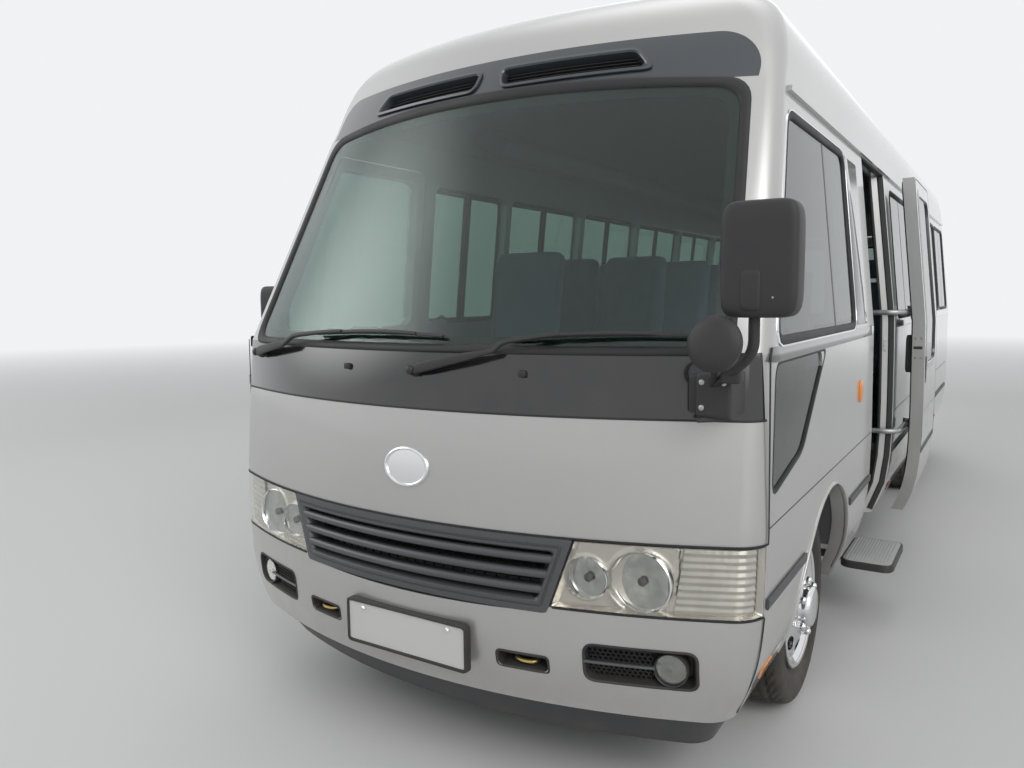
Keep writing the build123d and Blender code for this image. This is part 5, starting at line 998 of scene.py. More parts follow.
@dataclass
class BumperDetails:
    """Fog slots with honeycomb and blade, fog lamps, tow slots and a plate frame."""

    fog_x: tuple = (0.585, 0.885)
    fog_z: tuple = (0.447, 0.559)
    lamp: tuple = (0.815, 0.501, 0.044)
    tow_x: tuple = (0.320, 0.480)
    tow_z: tuple = (0.450, 0.500)

    def slot_liner(self, x: tuple, z: tuple, radius: float) -> Shape:
        """Black liner of a slot: a thin rim on the bumper, a reveal and a back, as nested outlines."""
        steps = ((-0.004, 0.0), (-0.004, 0.002), (0.0, 0.003), (0.004, 0.0), (0.008, -0.018), (0.010, -0.043))
        return rim_surface(rect(*x, *z), steps, radius, on_front, 120)

    def honeycomb(self) -> Shape:
        """Hexagonal cells at the slot's inner end: six-sided tubes in offset rows, on a black back."""
        cells = []
        a = np.linspace(0, 2 * np.pi, 6, endpoint=False) + np.pi / 6
        for row, z in enumerate(np.arange(self.fog_z[0] + 0.014, self.fog_z[1] - 0.010, 0.0125)):
            for x in np.arange(self.fog_x[0] + 0.014 + 0.0072 * (row % 2), 0.765, 0.0144):
                rings = []
                for radius, depth in ((0.0080, -0.030), (0.0080, -0.020), (0.0064, -0.020), (0.0064, -0.030)):
                    rings.append(on_front(x + radius * np.cos(a), z + radius * np.sin(a), depth))
                cells.append(Shape(np.vstack(rings), [f[::-1] for f in grid_faces(4, 6, True, True)]))
        return merge(cells)

    def blade(self) -> Shape:
        """Grey blade that runs along the slot to the lamp, thinning to its inner tip."""
        path = on_front(np.linspace(self.fog_x[0] - 0.004, 0.775, 24), 0.506, -0.003)
        return sweep(path, round_profile(0.007, 12, 0.75), UP)

    def fog_lamp(self) -> list[Shape]:
        """Housing ring, bowl and clear domed lens of a fog lamp, turned about Y."""
        cx, cz, radius = self.lamp
        centre, axis = (cx, float(Skin.front_y(cx, cz)) + 0.004, cz), (0.18, -0.98, 0.0)
        rim = ((-0.040, 1.12), (-0.004, 1.12), (0.0, 1.06), (-0.002, 1.0), (-0.038, 0.96))
        ring = lathe(np.array(rim) * (1, radius), centre, axis, 56)
        r = np.linspace(1.0, 0.06, 12)
        bowl = lathe(dish(r, radius, (-0.012, 0.96), (-0.014, 0.97), -0.024), centre, axis, 24)
        lens = lathe(dish(r, radius, (-0.009, 0.98), (-0.012, 0.98), 0.008), centre, axis, 56)
        bulb = lathe(((-0.036, 0.009), (-0.018, 0.009), (-0.014, 0.007), (-0.0135, 0.001)), centre, axis, 20)
        return [ring, bowl, lens, bulb]

    def tow_hook(self) -> Shape:
        """Bent hook in the tow slot, a round bar carried along a U."""
        t = np.linspace(0, np.pi, 17)
        x = 0.400 + 0.034 * np.cos(t)
        y = float(Skin.front_y(0.4, 0.475)) + 0.030 - 0.020 * np.sin(t)
        path = np.stack((x, np.broadcast_to(y, x.shape), np.full_like(x, 0.474)), 1)
        path = np.vstack((path[:1] + (0, 0.012, 0), path, path[-1:] + (0, 0.012, 0)))
        return sweep(path, round_profile(0.006, 10), UP)

    def plate_frame(self) -> Shape:
        """Black frame round the blank plate, with a lip over its edge."""
        half, low, top, y = 0.242, 0.418, 0.567, -3.500
        steps = ((0.0, 0.02), (0.0, -0.002), (0.003, -0.004), (0.009, -0.004), (0.011, 0.0))

        def place(x: Points, z: Points, height: float) -> Points:
            """Point of the plate's plane, pushed back by a height."""
            return np.stack((x, np.full_like(x, y + height), z), 1)

        return rim_surface(rect(-half, half, low, top), steps, 0.014, place, 96, lid=False)

    def build(self) -> None:
        """All of it, with the lenses standing for the CAD fog lamps."""
        fog, tow = self.slot_liner(
            self.fog_x, self.fog_z, 0.030
        ), self.slot_liner(self.tow_x, self.tow_z, 0.014)
        add_piece(
            "bumper_slot_liners", both(merge([fog, tow])), Finishes.moulding, smooth=40, slot="grey_plastic"
        )
        add_piece(
            "bumper_honeycomb", both(self.honeycomb()), Finishes.moulding, smooth=None, slot="grey_plastic"
        )
        add_piece("bumper_blades", both(self.blade()), Finishes.grille_grey, slot="grey_plastic")
        ring, bowl, lens, bulb = self.fog_lamp()
        add_piece("fog_lamp_bulbs", both(bulb), Finishes.cast, slot="lamp_glass")
        add_piece("fog_lamp_rings", both(ring), Finishes.moulding, slot="grey_plastic")
        add_piece("fog_lamp_bowls", both(bowl), Finishes.reflector, smooth=12, slot="bright_steel")
        lenses = add_piece("fog_lamp_lenses", both(lens), Finishes.lamp, smooth=60, slot="lamp_glass")
        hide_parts("fog_lamps")
        add_piece("tow_hooks", both(self.tow_hook()), Finishes.brass, slot="bright_steel")
        add_piece("plate_frame", self.plate_frame(), Finishes.moulding, slot="grey_plastic")
        bolts = merge([screw((x, -3.5005, 0.541), AHEAD, 0.006, 0.005) for x in (-0.17, 0.17)])
        add_piece("plate_bolts", bolts, Finishes.chrome, smooth=30, slot="bright_steel")


@dataclass
class FrontPanelDetails:
    """Badge place, shut lines and washer nozzles of the front."""

    # Centre and half sizes of the badge, and the lamps' edges
    badge: tuple = (0.004, 1.022, 0.088, 0.062)
    lamp_low: float = 0.655
    lamp_top: float = 0.862

    def plan_line(self, z: float) -> Points:
        """Path along the front at one height, from one side's shut line round both corners to the other's."""
        x = np.linspace(0, SIDE_X - 0.14, 50)
        front = np.stack((x, Skin.front_y(x, z), np.full_like(x, z)), 1)
        t = np.linspace(0, 1, 16)[1:, None]
        a, c = front[-1, :2], np.array((float(Skin.side_x(z)), SHUT_Y))
        b = np.array((float(Skin.side_x(z)), front[-1, 1] + 0.02))
        half = np.vstack((front, settle(np.column_stack((bend(a, b, c, t), np.full(15, z))))))
        return np.vstack((half[:0:-1] * (-1, 1, 1), half))

    def shut_lines(self) -> Shape:
        """Dark lines where panels meet: level ones at the band and lamps, upright ones at each side."""
        low = self.plan_line(self.lamp_low)
        cut = np.abs(low[:, 0]) > 0.495
        ends = (low[: np.argmax(~cut)], low[len(low) - np.argmax(~cut[::-1]) :])
        heights = ((0.36, self.lamp_low), (self.lamp_top, BELT_Z))
        level = [self.line(self.plan_line(z)) for z in (self.lamp_top, BAND_Z)]
        upright = [both(self.line(on_side(SHUT_Y, np.linspace(*span, 16)))) for span in heights]
        return merge([*level, *upright, *(self.line(end) for end in ends)])

    def line(self, path: Points) -> Shape:
        """One dark line, thin as a shut gap."""
        return ribbon(path, 0.006, 0.0016, 0.0004)

    def badge_disc(self) -> Shape:
        """Plain oval badge: a raised ring round a flat, bare middle."""
        cx, cz, rx, rz = self.badge
        a = np.linspace(0, 2 * np.pi, 72, endpoint=False)
        steps = ((1.0, -0.002), (1.0, 0.004), (0.97, 0.008), (0.91, 0.009), (0.86, 0.006), (0.84, 0.003))
        rings = [on_front(cx + s * rx * np.cos(a), cz + s * rz * np.sin(a), height) for s, height in steps]
        return stack_rings(rings)

    def nozzles(self) -> Shape:
        """Washer nozzles: small wedges with a rounded top, on the black band."""
        wedge = puffed_box((-0.012, -0.008, 1.312), (0.012, 0.008, 1.332), 0.4, 9, 14)
        return merge([wedge.moved((x, float(Skin.front_y(x, 1.322)) - 0.004, 0.0)) for x in (0.393, -0.27)])

    def build(self) -> None:
        """Shut lines, badge and nozzles."""
        add_piece("front_shut_lines", self.shut_lines(), Finishes.seal, slot="black_gloss")
        add_piece("front_badge", self.badge_disc(), Finishes.chrome, smooth=50, slot="bright_steel")
        add_piece("washer_nozzles", self.nozzles(), Finishes.moulding, slot="grey_plastic")


@dataclass
class Screen:
    """Seal round the windshield, its black border, and the vents over it."""

    low_half: float = 0.942
    top_half: float = 0.862
    side_top: float = 2.188
    top: float = 2.232
    vent_z: tuple = (2.262, 2.318)
    vent_x: tuple = (0.062, 0.560)

    def outline(self, inset: float, count: int = 260) -> Points:
        """Screen outline in x and z, drawn in by an inset, with round corners and an arched top."""
        low, top = (self.low_half, BELT_Z), (self.top_half, self.side_top)
        corners = ((-low[0], low[1]), low, top, (-top[0], top[1]))
        flat = resample(rounded_path(inset_corners(corners, inset), 0.075), count)
        share = np.clip((flat[:, 1] - 2.06) / (self.side_top - 2.06), 0, 1)
        flat[:, 1] += (self.top - self.side_top) * (1 - (flat[:, 0] / self.top_half) ** 2).clip(0) * share
        return flat

    def band(self, steps: tuple, turn: int) -> Shape:
        """Closed band round the screen, from pairs of inset and height; turn -1 turns its faces round."""
        rings = [on_front(*self.outline(inset).T, height) for inset, height in steps]
        return Shape(np.vstack(rings), [f[::turn] for f in grid_faces(len(rings), len(rings[0]), True, True)])

    def seal(self) -> Shape:
        """Rubber seal: rings that roll over the glass edge, from the body to the pane."""
        steps = (
            (-0.010, -0.002), (-0.008, 0.003), (-0.001, 0.005), (0.010, 0.003), (0.018, -0.003),
            (0.020, -0.009),
        )
        return self.band(steps, -1)

    def border(self) -> Shape:
        """Black printed border on the inside of the glass: a thin closed band."""
        return self.band(((0.004, -0.0135), (0.004, -0.0145), (0.046, -0.0145), (0.046, -0.0135)), 1)

    def vent(self) -> list[Shape]:
        """Frame, blades and back of the left vent."""
        (z0, z1), (x0, x1) = self.vent_z, self.vent_x
        corners = ((x0, z0), (x1, z0), (x1 - 0.045, z1), (x0 - 0.014, z1))
        steps = ((-0.014, -0.001), (-0.013, 0.003), (-0.004, 0.004), (0.0, -0.001), (0.003, -0.035))
        rim = rim_surface(corners, steps, 0.022, on_front, 140, lid=False)
        blades = []
        for z in np.linspace(z0 + 0.010, z1 - 0.010, 4):
            path = on_front(np.linspace(x0 - 0.004, x1 - 0.022, 24), z, -0.030)
            blades.append(sweep(path, box_profile(0.016, 0.003, 0.001, 1), (0.0, 0.5, 1.0)))
        x, z = np.meshgrid(np.linspace(x0 - 0.03, x1 + 0.01, 24), np.linspace(z0 - 0.012, z1 + 0.012, 5))
        back = closed_slab(on_front(x, z, -0.046), on_front(x, z, -0.050))
        return [rim, merge([*blades, back])]

    def build(self) -> None:
        """Seal, border and vents."""
        add_piece("windshield_seal", self.seal(), Finishes.seal, smooth=60, slot="grey_plastic")
        add_piece("windshield_border", self.border(), Finishes.seal, slot="black_gloss")
        rim, inner = self.vent()
        add_piece("vent_frames", both(rim), Finishes.visor_grey, slot="black_gloss")
        add_piece("vent_blades", both(inner), Finishes.moulding, smooth=None, slot="grey_plastic")


# Sides, doors and wheels
class Side(Enum):
    """The bus's sides, as the sign of X."""

    LEFT = 1
    RIGHT = -1

    def put(self, shape: Shape) -> Shape:
        """A shape drawn on the left, on this side."""
        return shape if self is Side.LEFT else shape.mirrored()


RUBBER_STEPS = (
    (-0.013, -0.003), (-0.012, 0.002), (-0.004, 0.0035), (0.007, 0.002), (0.012, -0.003), (0.014, -0.014)
)


def window_ring(corners: tuple, radius: float = 0.045, steps: tuple = RUBBER_STEPS) -> Shape:
    """Rubber round one side window, drawn on the left from (y, z) corners."""
    return rim_surface(corners, steps, radius + 0.013, on_side, 120, lid=False)


def side_strip(
    y0: float, y1: float, z: Points | float, width: float, height: float, corner: float = 0.001
) -> Shape:
    """Strip along the left side at one height."""
    y = np.linspace(y0, y1, max(6, int(abs(y1 - y0) / 0.12)))
    return ribbon(on_side(y, z), width, height, corner)


def side_patch(corners: tuple, low: float, high: float, radius: float = 0.006) -> Shape:
    """Flat panel laid on the left side, closed, from (y, z) corners and two heights above the skin."""
    return rim_surface(corners, ((0.0, low), (0.0, high * 0.6), (0.0015, high)), radius, on_side, 64)


def side_patches(spans: tuple, low_z: float, top_z: float, height: float) -> list[Shape]:
    """Upright flat panels on the left side, one for each span in Y."""
    return [side_patch(rect(*span, low_z, top_z), -0.002, height) for span in spans]


@dataclass
class SideTrim:
    """Window rubbers, sliding frames, pillar panels, bands, rub strips and markers."""

    sill: float = 1.412
    head: float = 2.095
    quarter: tuple = ((-3.105, 1.412), (-1.850, 1.412), (-1.850, 2.095), (-2.765, 2.095))
    kerb: tuple = ((-3.165, 0.985), (-2.800, 1.055), (-2.455, 1.352), (-3.135, 1.352))
    rows: tuple = ((-0.480, 0.382), (0.440, 1.302), (1.360, 2.222), (2.280, 3.102))
    right_rows: tuple = ((-2.115, -1.455), (-1.400, -0.538))

    def sliders(self, spans: tuple) -> Shape:
        """Frames of sliding panes: two uprights past the middle, and a rail along the top and the sill."""
        bars = []
        for y0, y1 in spans:
            middle = (y0 + y1) / 2
            z = np.linspace(self.sill + 0.004, self.head - 0.004, 14)
            for shift, out in ((-0.012, -0.012), (0.018, -0.018)):
                path = on_side(middle + shift, z, out)
                bars.append(sweep(path, box_profile(0.026, 0.012, 0.003), Skin.normals(path)))
            for level in (self.sill + 0.014, self.head - 0.014):
                path = on_side(np.linspace(y0 + 0.01, y1 - 0.01, 8), level, -0.014)
                bars.append(sweep(path, box_profile(0.022, 0.010, 0.003), Skin.normals(path)))
        return merge(bars)

    def arch_lip(self, y: float, radius: float) -> Shape:
        """Rolled edge of a wheel arch, carried round its arc."""
        t = np.linspace(0.02, np.pi - 0.02, 48)
        path = on_side(y + radius * np.cos(t), WHEEL_RADIUS + radius * np.sin(t), -0.002)
        return sweep(path, box_profile(0.012, 0.018, 0.004), Skin.normals(path))

    def build(self) -> None:
        """All strips and seals of both sides."""
        glazed = [window_ring(rect(*row, self.sill, self.head)) for row in self.right_rows + self.rows]
        kerb_steps = ((-0.005, -0.003), (-0.004, 0.001), (0.0, 0.0015), (0.005, 0.0), (0.007, -0.012))
        left = [
            window_ring(self.quarter), *glazed[len(self.right_rows) :],
            window_ring(self.kerb, 0.040, kerb_steps),
        ]
        rubbers = merge(left + [ring.mirrored() for ring in glazed])
        add_piece("window_rubbers", rubbers, Finishes.seal, smooth=50, slot="grey_plastic")
        slide_spans = ((-2.62, -1.850),) + self.rows
        sliders = merge([self.sliders(slide_spans), self.sliders(self.right_rows + self.rows).mirrored()])
        add_piece("window_sliders", sliders, Finishes.moulding, slot="grey_plastic")
        bead = window_ring(
            self.quarter, steps=((-0.020, -0.002), (-0.019, 0.003), (-0.014, 0.0035), (-0.012, 0.0))
        )
        add_piece("window_bead", bead, Finishes.chrome, smooth=50, slot="bright_steel")
        between = [(a[1] + 0.016, b[0] - 0.016) for a, b in zip(self.rows, self.rows[1:])]
        posts = ([(-1.832, -1.565), *between], [(-1.439, -1.416), *between, (-0.522, -0.496)])
        belts = (((-3.190, -1.386), (-0.600, 3.140)), ((-3.190, -3.150), (-2.180, 3.140)))
        bands = (
            ("pillar_panels", posts, self.sill, self.head, 0.0016),
            ("belt_bands", belts, 1.354, 1.398, 0.0018),
        )
        for name, (left, right), low, top, height in bands:
            shapes = side_patches(left, low, top, height)
            shapes += [patch.mirrored() for patch in side_patches(right, low, top, height)]
            add_piece(name, merge(shapes), Finishes.gloss_black, smooth=40, slot="black_gloss")
        left = ((-3.190, -2.716), (-1.904, -1.392), (-0.608, 1.268), (1.985, 3.140))
        right = ((-3.190, -3.148), (-1.904, 1.268), (1.985, 3.140))
        strips = [side_strip(*span, STRIP_Z, 0.030, 0.008, 0.003) for span in left]
        strips += [side_strip(*span, STRIP_Z, 0.030, 0.008, 0.003).mirrored() for span in right]
        add_piece("rub_strips", merge(strips), Finishes.strip_grey, slot="grey_plastic")
        lips = merge([self.arch_lip(FRONT_AXLE_Y, 0.472), self.arch_lip(REAR_AXLE_Y, 0.442)])
        add_piece("arch_lips", both(lips), Finishes.silver, slot="silver_paint")
        # Painted shade: a thin black line along the body crease, where the fold turns from the light.
        crease = [
            side_strip(*span, CREASE_Z, 0.004, 0.0004, 0.0001) for span in ((-3.190, -1.392), (-0.608, 3.140))
        ]
        add_piece("side_creases", both(merge(crease)), Finishes.seal, slot="black_gloss")
        y, z = -1.733, 1.130
        marker = puffed_box((0.0, y - 0.026, z - 0.048), (0.020, y + 0.026, z + 0.048), 0.75)
        marker = marker.moved((float(Skin.side_x(z)) - 0.008, 0, 0))
        add_piece("side_markers", both(marker), Finishes.orange, slot="lamp_glass")
        spans = [(y - 0.045, y + 0.045) for y in (-3.02, -0.35, 0.95, 2.75)]
        reflectors = side_patches(spans, 0.430 - 0.022, 0.430 + 0.022, 0.006)
        add_piece("side_reflectors", both(merge(reflectors)), Finishes.orange, slot="lamp_glass")


@dataclass
class WheelLooks:
    """Tyres with tread, chrome covers with oval holes, and domed nuts."""

    radius: float = WHEEL_RADIUS
    width: float = 0.212
    bead: float = 0.2225
    holes: int = 8
    side_steps: int = 9
    sheet: float = 0.0018
    front: tuple = (
        (0.2340, 0.0900), (0.2335, 0.0980), (0.2290, 0.1010), (0.2190, 0.0985), (0.2110, 0.0900),
        (0.1980, 0.0790), (0.1210, 0.1000), (0.1160, 0.1030), (0.0840, 0.1040), (0.0790, 0.1080),
        (0.0765, 0.1360), (0.0690, 0.1460), (0.0400, 0.1515), (0.0010, 0.1530),
    )
    rear: tuple = (
        (0.2340, 0.0900), (0.2335, 0.0980), (0.2290, 0.1010), (0.2190, 0.0975), (0.2130, 0.0800),
        (0.1980, -0.0480), (0.1250, -0.0520), (0.1180, -0.0520), (0.0830, -0.0510), (0.0790, -0.0480),
        (0.0765, 0.0790), (0.0690, 0.0860), (0.0400, 0.0900), (0.0010, 0.0910),
    )

    def tyre(self, x: float, y: float) -> Shape:
        """Tyre with four grooves and zigzag blocks.

        Round the section the surface is a squared ellipse; on the tread the radius drops where a groove's
        distance is small, and along the slanting slots, whose edges are a triangle wave of the angle.
        """
        cols, turns = 66, 192
        t = np.linspace(0, np.pi, cols)
        half = self.width / 2
        along = half * np.sign(np.cos(t)) * np.abs(np.cos(t)) ** 0.62
        mid = 0.300
        radial = np.where(np.sin(t) > 0, mid + (self.radius - mid) * np.sin(t) ** 0.42, mid)
        bead_t = np.linspace(0, 1, 9)[:, None]
        wall = np.hstack(
            (half + (0.081 - half) * np.sin(bead_t * np.pi / 2) ** 2, mid + (self.bead - mid) * bead_t)
        )[1:]
        ribs = 0.0014 * (np.sin(bead_t[1:, 0] * np.pi * 6) > 0.5)
        wall[:, 0] += ribs
        section = np.vstack((wall[::-1], np.stack((along, radial), 1), wall * (-1, 1)))
        a = np.linspace(0, 2 * np.pi, turns, endpoint=False)
        w, r = section[:, 0][:, None], section[:, 1][:, None] * np.ones((1, turns))
        tread = np.clip((r - (self.radius - 0.012)) / 0.006, 0, 1)
        zigzag = 0.004 * (np.abs((a * 48 / (2 * np.pi)) % 1 - 0.5) * 4 - 1)
        groove = np.zeros_like(r)
        for centre in (-0.051, -0.017, 0.017, 0.051):
            groove = np.maximum(groove, np.clip(1.4 - np.abs(w - centre - zigzag) / 0.0042, 0, 1))
        slot_phase = (a * 48 / (2 * np.pi) + w / 0.030) % 1
        slot = np.clip(1.5 - np.abs(slot_phase - 0.5) / 0.10, 0, 1) * (np.abs(w) > 0.056)
        r = r - 0.0085 * tread * np.maximum(groove, slot)
        ring = np.stack((np.zeros_like(a), np.cos(a), np.sin(a)), 1)
        points = np.array((x, y, self.radius)) + r[..., None] * ring[None]
        points = points + (w * np.ones_like(r))[..., None] * (1, 0, 0)
        return Shape(points.reshape(-1, 3), grid_faces(len(section), turns, True, True))

    def cover(self, x: float, y: float, outline: tuple) -> Shape:
        """Chrome cover: a turned sheet whose sloping zone holds oval holes.

        In the zone, a sector's points run from the oval (s = 0) to the sector's box (s = 1) in angle and
        radius, and the height at every point is read from the outline.
        """
        table = np.array(outline)[::-1]
        zone_low, zone_high = outline[6][0], outline[5][0]
        step = 2 * np.pi / self.holes
        n = self.side_steps
        edge = np.linspace(-1, 1, n, endpoint=False)
        box = np.vstack(
            (
                np.stack((edge, np.full(n, -1.0)), 1), np.stack((np.full(n, 1.0), edge), 1),
                np.stack((-edge, np.full(n, 1.0)), 1), np.stack((np.full(n, -1.0), -edge), 1),
            )
        )
        oval = unit(box) * (0.62, 0.60)
        s = np.linspace(0, 1, 5)[:, None, None]
        flat = oval * (1 - s) + box * s
        shapes = []
        middle, reach = (zone_low + zone_high) / 2, (zone_high - zone_low) / 2

        def place(angle: Points, r: Points, drop: Points | float = 0.0) -> Points:
            """Point of the cover at an angle and radius, sunk by drop."""
            height = np.interp(r, table[:, 0], table[:, 1]) - drop
            parts = (x + height + 0 * angle, y + r * np.cos(angle), self.radius + r * np.sin(angle))
            return np.stack(parts, -1)

        for k in range(self.holes):
            angle = k * step + flat[..., 0] * step / 2
            r = middle + flat[..., 1] * reach
            rows = [place(angle[0], r[0], 0.012), place(angle[0], r[0], 0.004)]
            grid = np.stack(rows + [place(angle[i], r[i]) for i in range(5)])
            shapes.append(Shape(grid.reshape(-1, 3), grid_faces(7, 4 * n, wrap_cols=True)))
        angles = (np.arange(self.holes)[:, None] * step + edge[None] * step / 2).ravel()
        for rows in (outline[:6], outline[6:]):
            line = np.array(rows)
            fine = np.interp(np.linspace(0, len(line) - 1, 3 * len(line)), np.arange(len(line)), line[:, 0])
            grid = place(angles[None, :], fine[:, None])
            shapes.append(Shape(grid.reshape(-1, 3), grid_faces(len(fine), len(angles), wrap_cols=True)))
        shapes[-1].faces.append(
            tuple(range(len(shapes[-1].points) - len(angles), len(shapes[-1].points)))[::-1]
        )
        return merge(shapes)

    def nuts(
        self, x: float, y: float, ring: float, base: float, count: int, radius: float, length: float
    ) -> Shape:
        """Domed nuts round the hub: a hexagon foot, a turned sleeve and a round top each."""
        t = np.linspace(0, np.pi / 2, 6)
        top = np.stack(
            (length * 0.62 + length * 0.38 * np.sin(t), np.maximum(radius * 0.92 * np.cos(t), 0.0008)), 1
        )
        sleeve = np.vstack(((-0.004, radius * 0.92), top))
        foot = ((-0.004, radius * 1.12), (length * 0.34, radius * 1.12), (length * 0.40, radius * 0.98))
        shapes = []
        for k in range(count):
            a = 2 * np.pi * (k + 0.5) / count
            centre = (x + base, y + ring * math.cos(a), self.radius + ring * math.sin(a))
            shapes += [lathe(sleeve, centre, (1.0, 0.0, 0.0), 18), lathe(foot, centre, (1.0, 0.0, 0.0), 6)]
        return merge(shapes)

    def build(self) -> None:
        """Tyres, covers and nuts of the four wheel bodies."""
        # Columns: name, axle, tyre centres, cover centre, outline, nut ring, nut base, nuts, nut radius, length
        table = (
            ("front", FRONT_AXLE_Y, (0.845,), 0.845, self.front, 0.0995, 0.103, 6, 0.0150, 0.034),
            ("rear", REAR_AXLE_Y, (0.627, 0.863), 0.863, self.rear, 0.101, -0.052, 6, 0.0160, 0.030),
        )
        for name, y, tyres, centre, outline, ring, base, count, size, length in table:
            tyre = merge([self.tyre(x, y) for x in tyres])
            cover = self.cover(centre, y, outline)
            nuts = self.nuts(centre, y, ring, base, count, size, length)
            for side in Side:
                place = side.name.lower()
                body = f"{name}_wheel_{place}"
                rubber = add_piece(f"{name}_tread_{place}", side.put(tyre), Finishes.tyre, body, 40, "tyre")
                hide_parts(f"{name}_tyre_{place}")
                sheet = add_piece(
                    f"{name}_cover_{place}", side.put(cover), Finishes.chrome, body, 40, "bright_steel"
                )
                weld(sheet.data, WELD, depth=self.sheet)
                sheet.data.shade_smooth()
                sheet.data.set_sharp_from_angle(angle=math.radians(40))
                add_piece(f"{name}_nuts_{place}", side.put(nuts), Finishes.chrome, body, 30, "bright_steel")


@dataclass
class Mirrors:
    """Kerb-side mirrors on their black bracket, and the driver's mirror on the door."""

    elbow: tuple = (1.060, -3.455, 1.400)
    head: tuple = ((0.985, -3.500, 1.485), (1.165, -3.410, 1.755))
    disc: tuple = (0.985, -3.518, 1.425)

    def build(self) -> None:
        """Bracket, arm, heads, panes, and the L stay that the photograph shows."""
        low, high = self.head
        shell = puffed_box(low, high, 0.30, 25, 40)
        boss = puffed_box((1.036, low[1] - 0.004, 1.500), (1.086, low[1] + 0.05, 1.598), 0.32, 15, 24)
        plates = [
            puffed_box((0.897, -3.398, 1.228), (0.990, -3.262, 1.346), 0.18, 17, 28),
            puffed_box((0.872, -3.372, 1.236), (0.902, -3.330, 1.336), 0.2, 11, 18),
        ]
        bends = ((0.935, -3.380, 1.312), (1.000, -3.425, 1.352), self.elbow, (1.060, -3.455, 1.505))
        arm = sweep(rounded_path(bends, 0.034, 8, False), round_profile(0.0135, 16), (0.2, -1.0, 0.15))
        clamp = puffed_box((0.972, -3.432, 1.322), (1.022, -3.392, 1.368), 0.35, 13, 20)
        bends = ((0.930, -3.372, 1.296), (0.962, -3.440, 1.352), self.disc)
        rod = sweep(rounded_path(bends, 0.03, 6, False), round_profile(0.0075, 12), (0.3, -0.2, 1.0))
        cx, cy, cz = self.disc
        axis = (0.10, 1.0, -0.12)
        edge = ((0.013, 0.063), (0.008, 0.067), (-0.004, 0.0675), (-0.014, 0.060))
        bowl = (*edge, (-0.020, 0.045), (-0.023, 0.024), (-0.0235, 0.001))
        back = lathe(bowl, self.disc, axis, 48)
        ball = dome((cx, cy - 0.012, cz), (-0.10, -1.0, 0.12), 0.020, 0.0115)
        bends = ((0.978, -3.356, 1.330), (0.984, -3.366, 1.226), (0.905, -3.400, 1.222))
        stay = sweep(rounded_path(bends, 0.02, 6, False), box_profile(0.012, 0.005, 0.002), (0.3, -1.0, 0.1))
        body = merge([shell, boss, *plates, arm, clamp, rod, back, ball, stay])
        piece = add_piece("kerb_mirrors", body, Finishes.moulding, smooth=38, slot="grey_plastic")
        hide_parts("mirrors")
        rim, back_y = 0.012, high[1]
        near = (low[0] + rim, back_y - 0.006, low[2] + rim)
        pane = puffed_box(near, (high[0] - rim, back_y + 0.0015, high[2] - rim), 0.16)
        disc = lathe(((0.012, 0.058), (0.0155, 0.058), (0.0165, 0.050), (0.0172, 0.001)), self.disc, axis, 48)
        add_piece("mirror_panes", merge([pane, disc]), Finishes.mirror, smooth=30, slot="bright_steel")
        # Columns: x, y, z, radius and height of each screw
        head_y, plate_y = low[1] + 0.0035, -3.397
        screws = (
            (1.105, head_y, 1.560, 0.0035, 0.003),
            (1.112, head_y, 1.532, 0.0035, 0.003),
            (0.915, plate_y, 1.320, 0.005, 0.004),
            (0.972, plate_y, 1.320, 0.005, 0.004),
            (0.915, plate_y, 1.255, 0.005, 0.004),
        )
        heads = merge([screw(tuple(row[:3]), AHEAD, *row[3:]) for row in screws])
        add_piece("mirror_screws", heads, Finishes.steel, slot="bright_steel")
        door_head = puffed_box((-1.165, -3.030, 1.357), (-1.057, -2.952, 1.600), 0.32, 23, 36)
        foot = puffed_box((-1.108, -3.068, 1.337), (-1.036, -3.012, 1.388), 0.25, 13, 20)
        door = add_piece(
            "driver_mirror", merge([door_head, foot]), Finishes.moulding, "driver_door", 38, "grey_plastic"
        )
        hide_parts("door_mirror")
        pane = puffed_box((-1.153, -2.958, 1.370), (-1.069, -2.9505, 1.588), 0.16)
        add_piece("driver_mirror_pane", pane, Finishes.mirror, "driver_door", 30, "bright_steel")


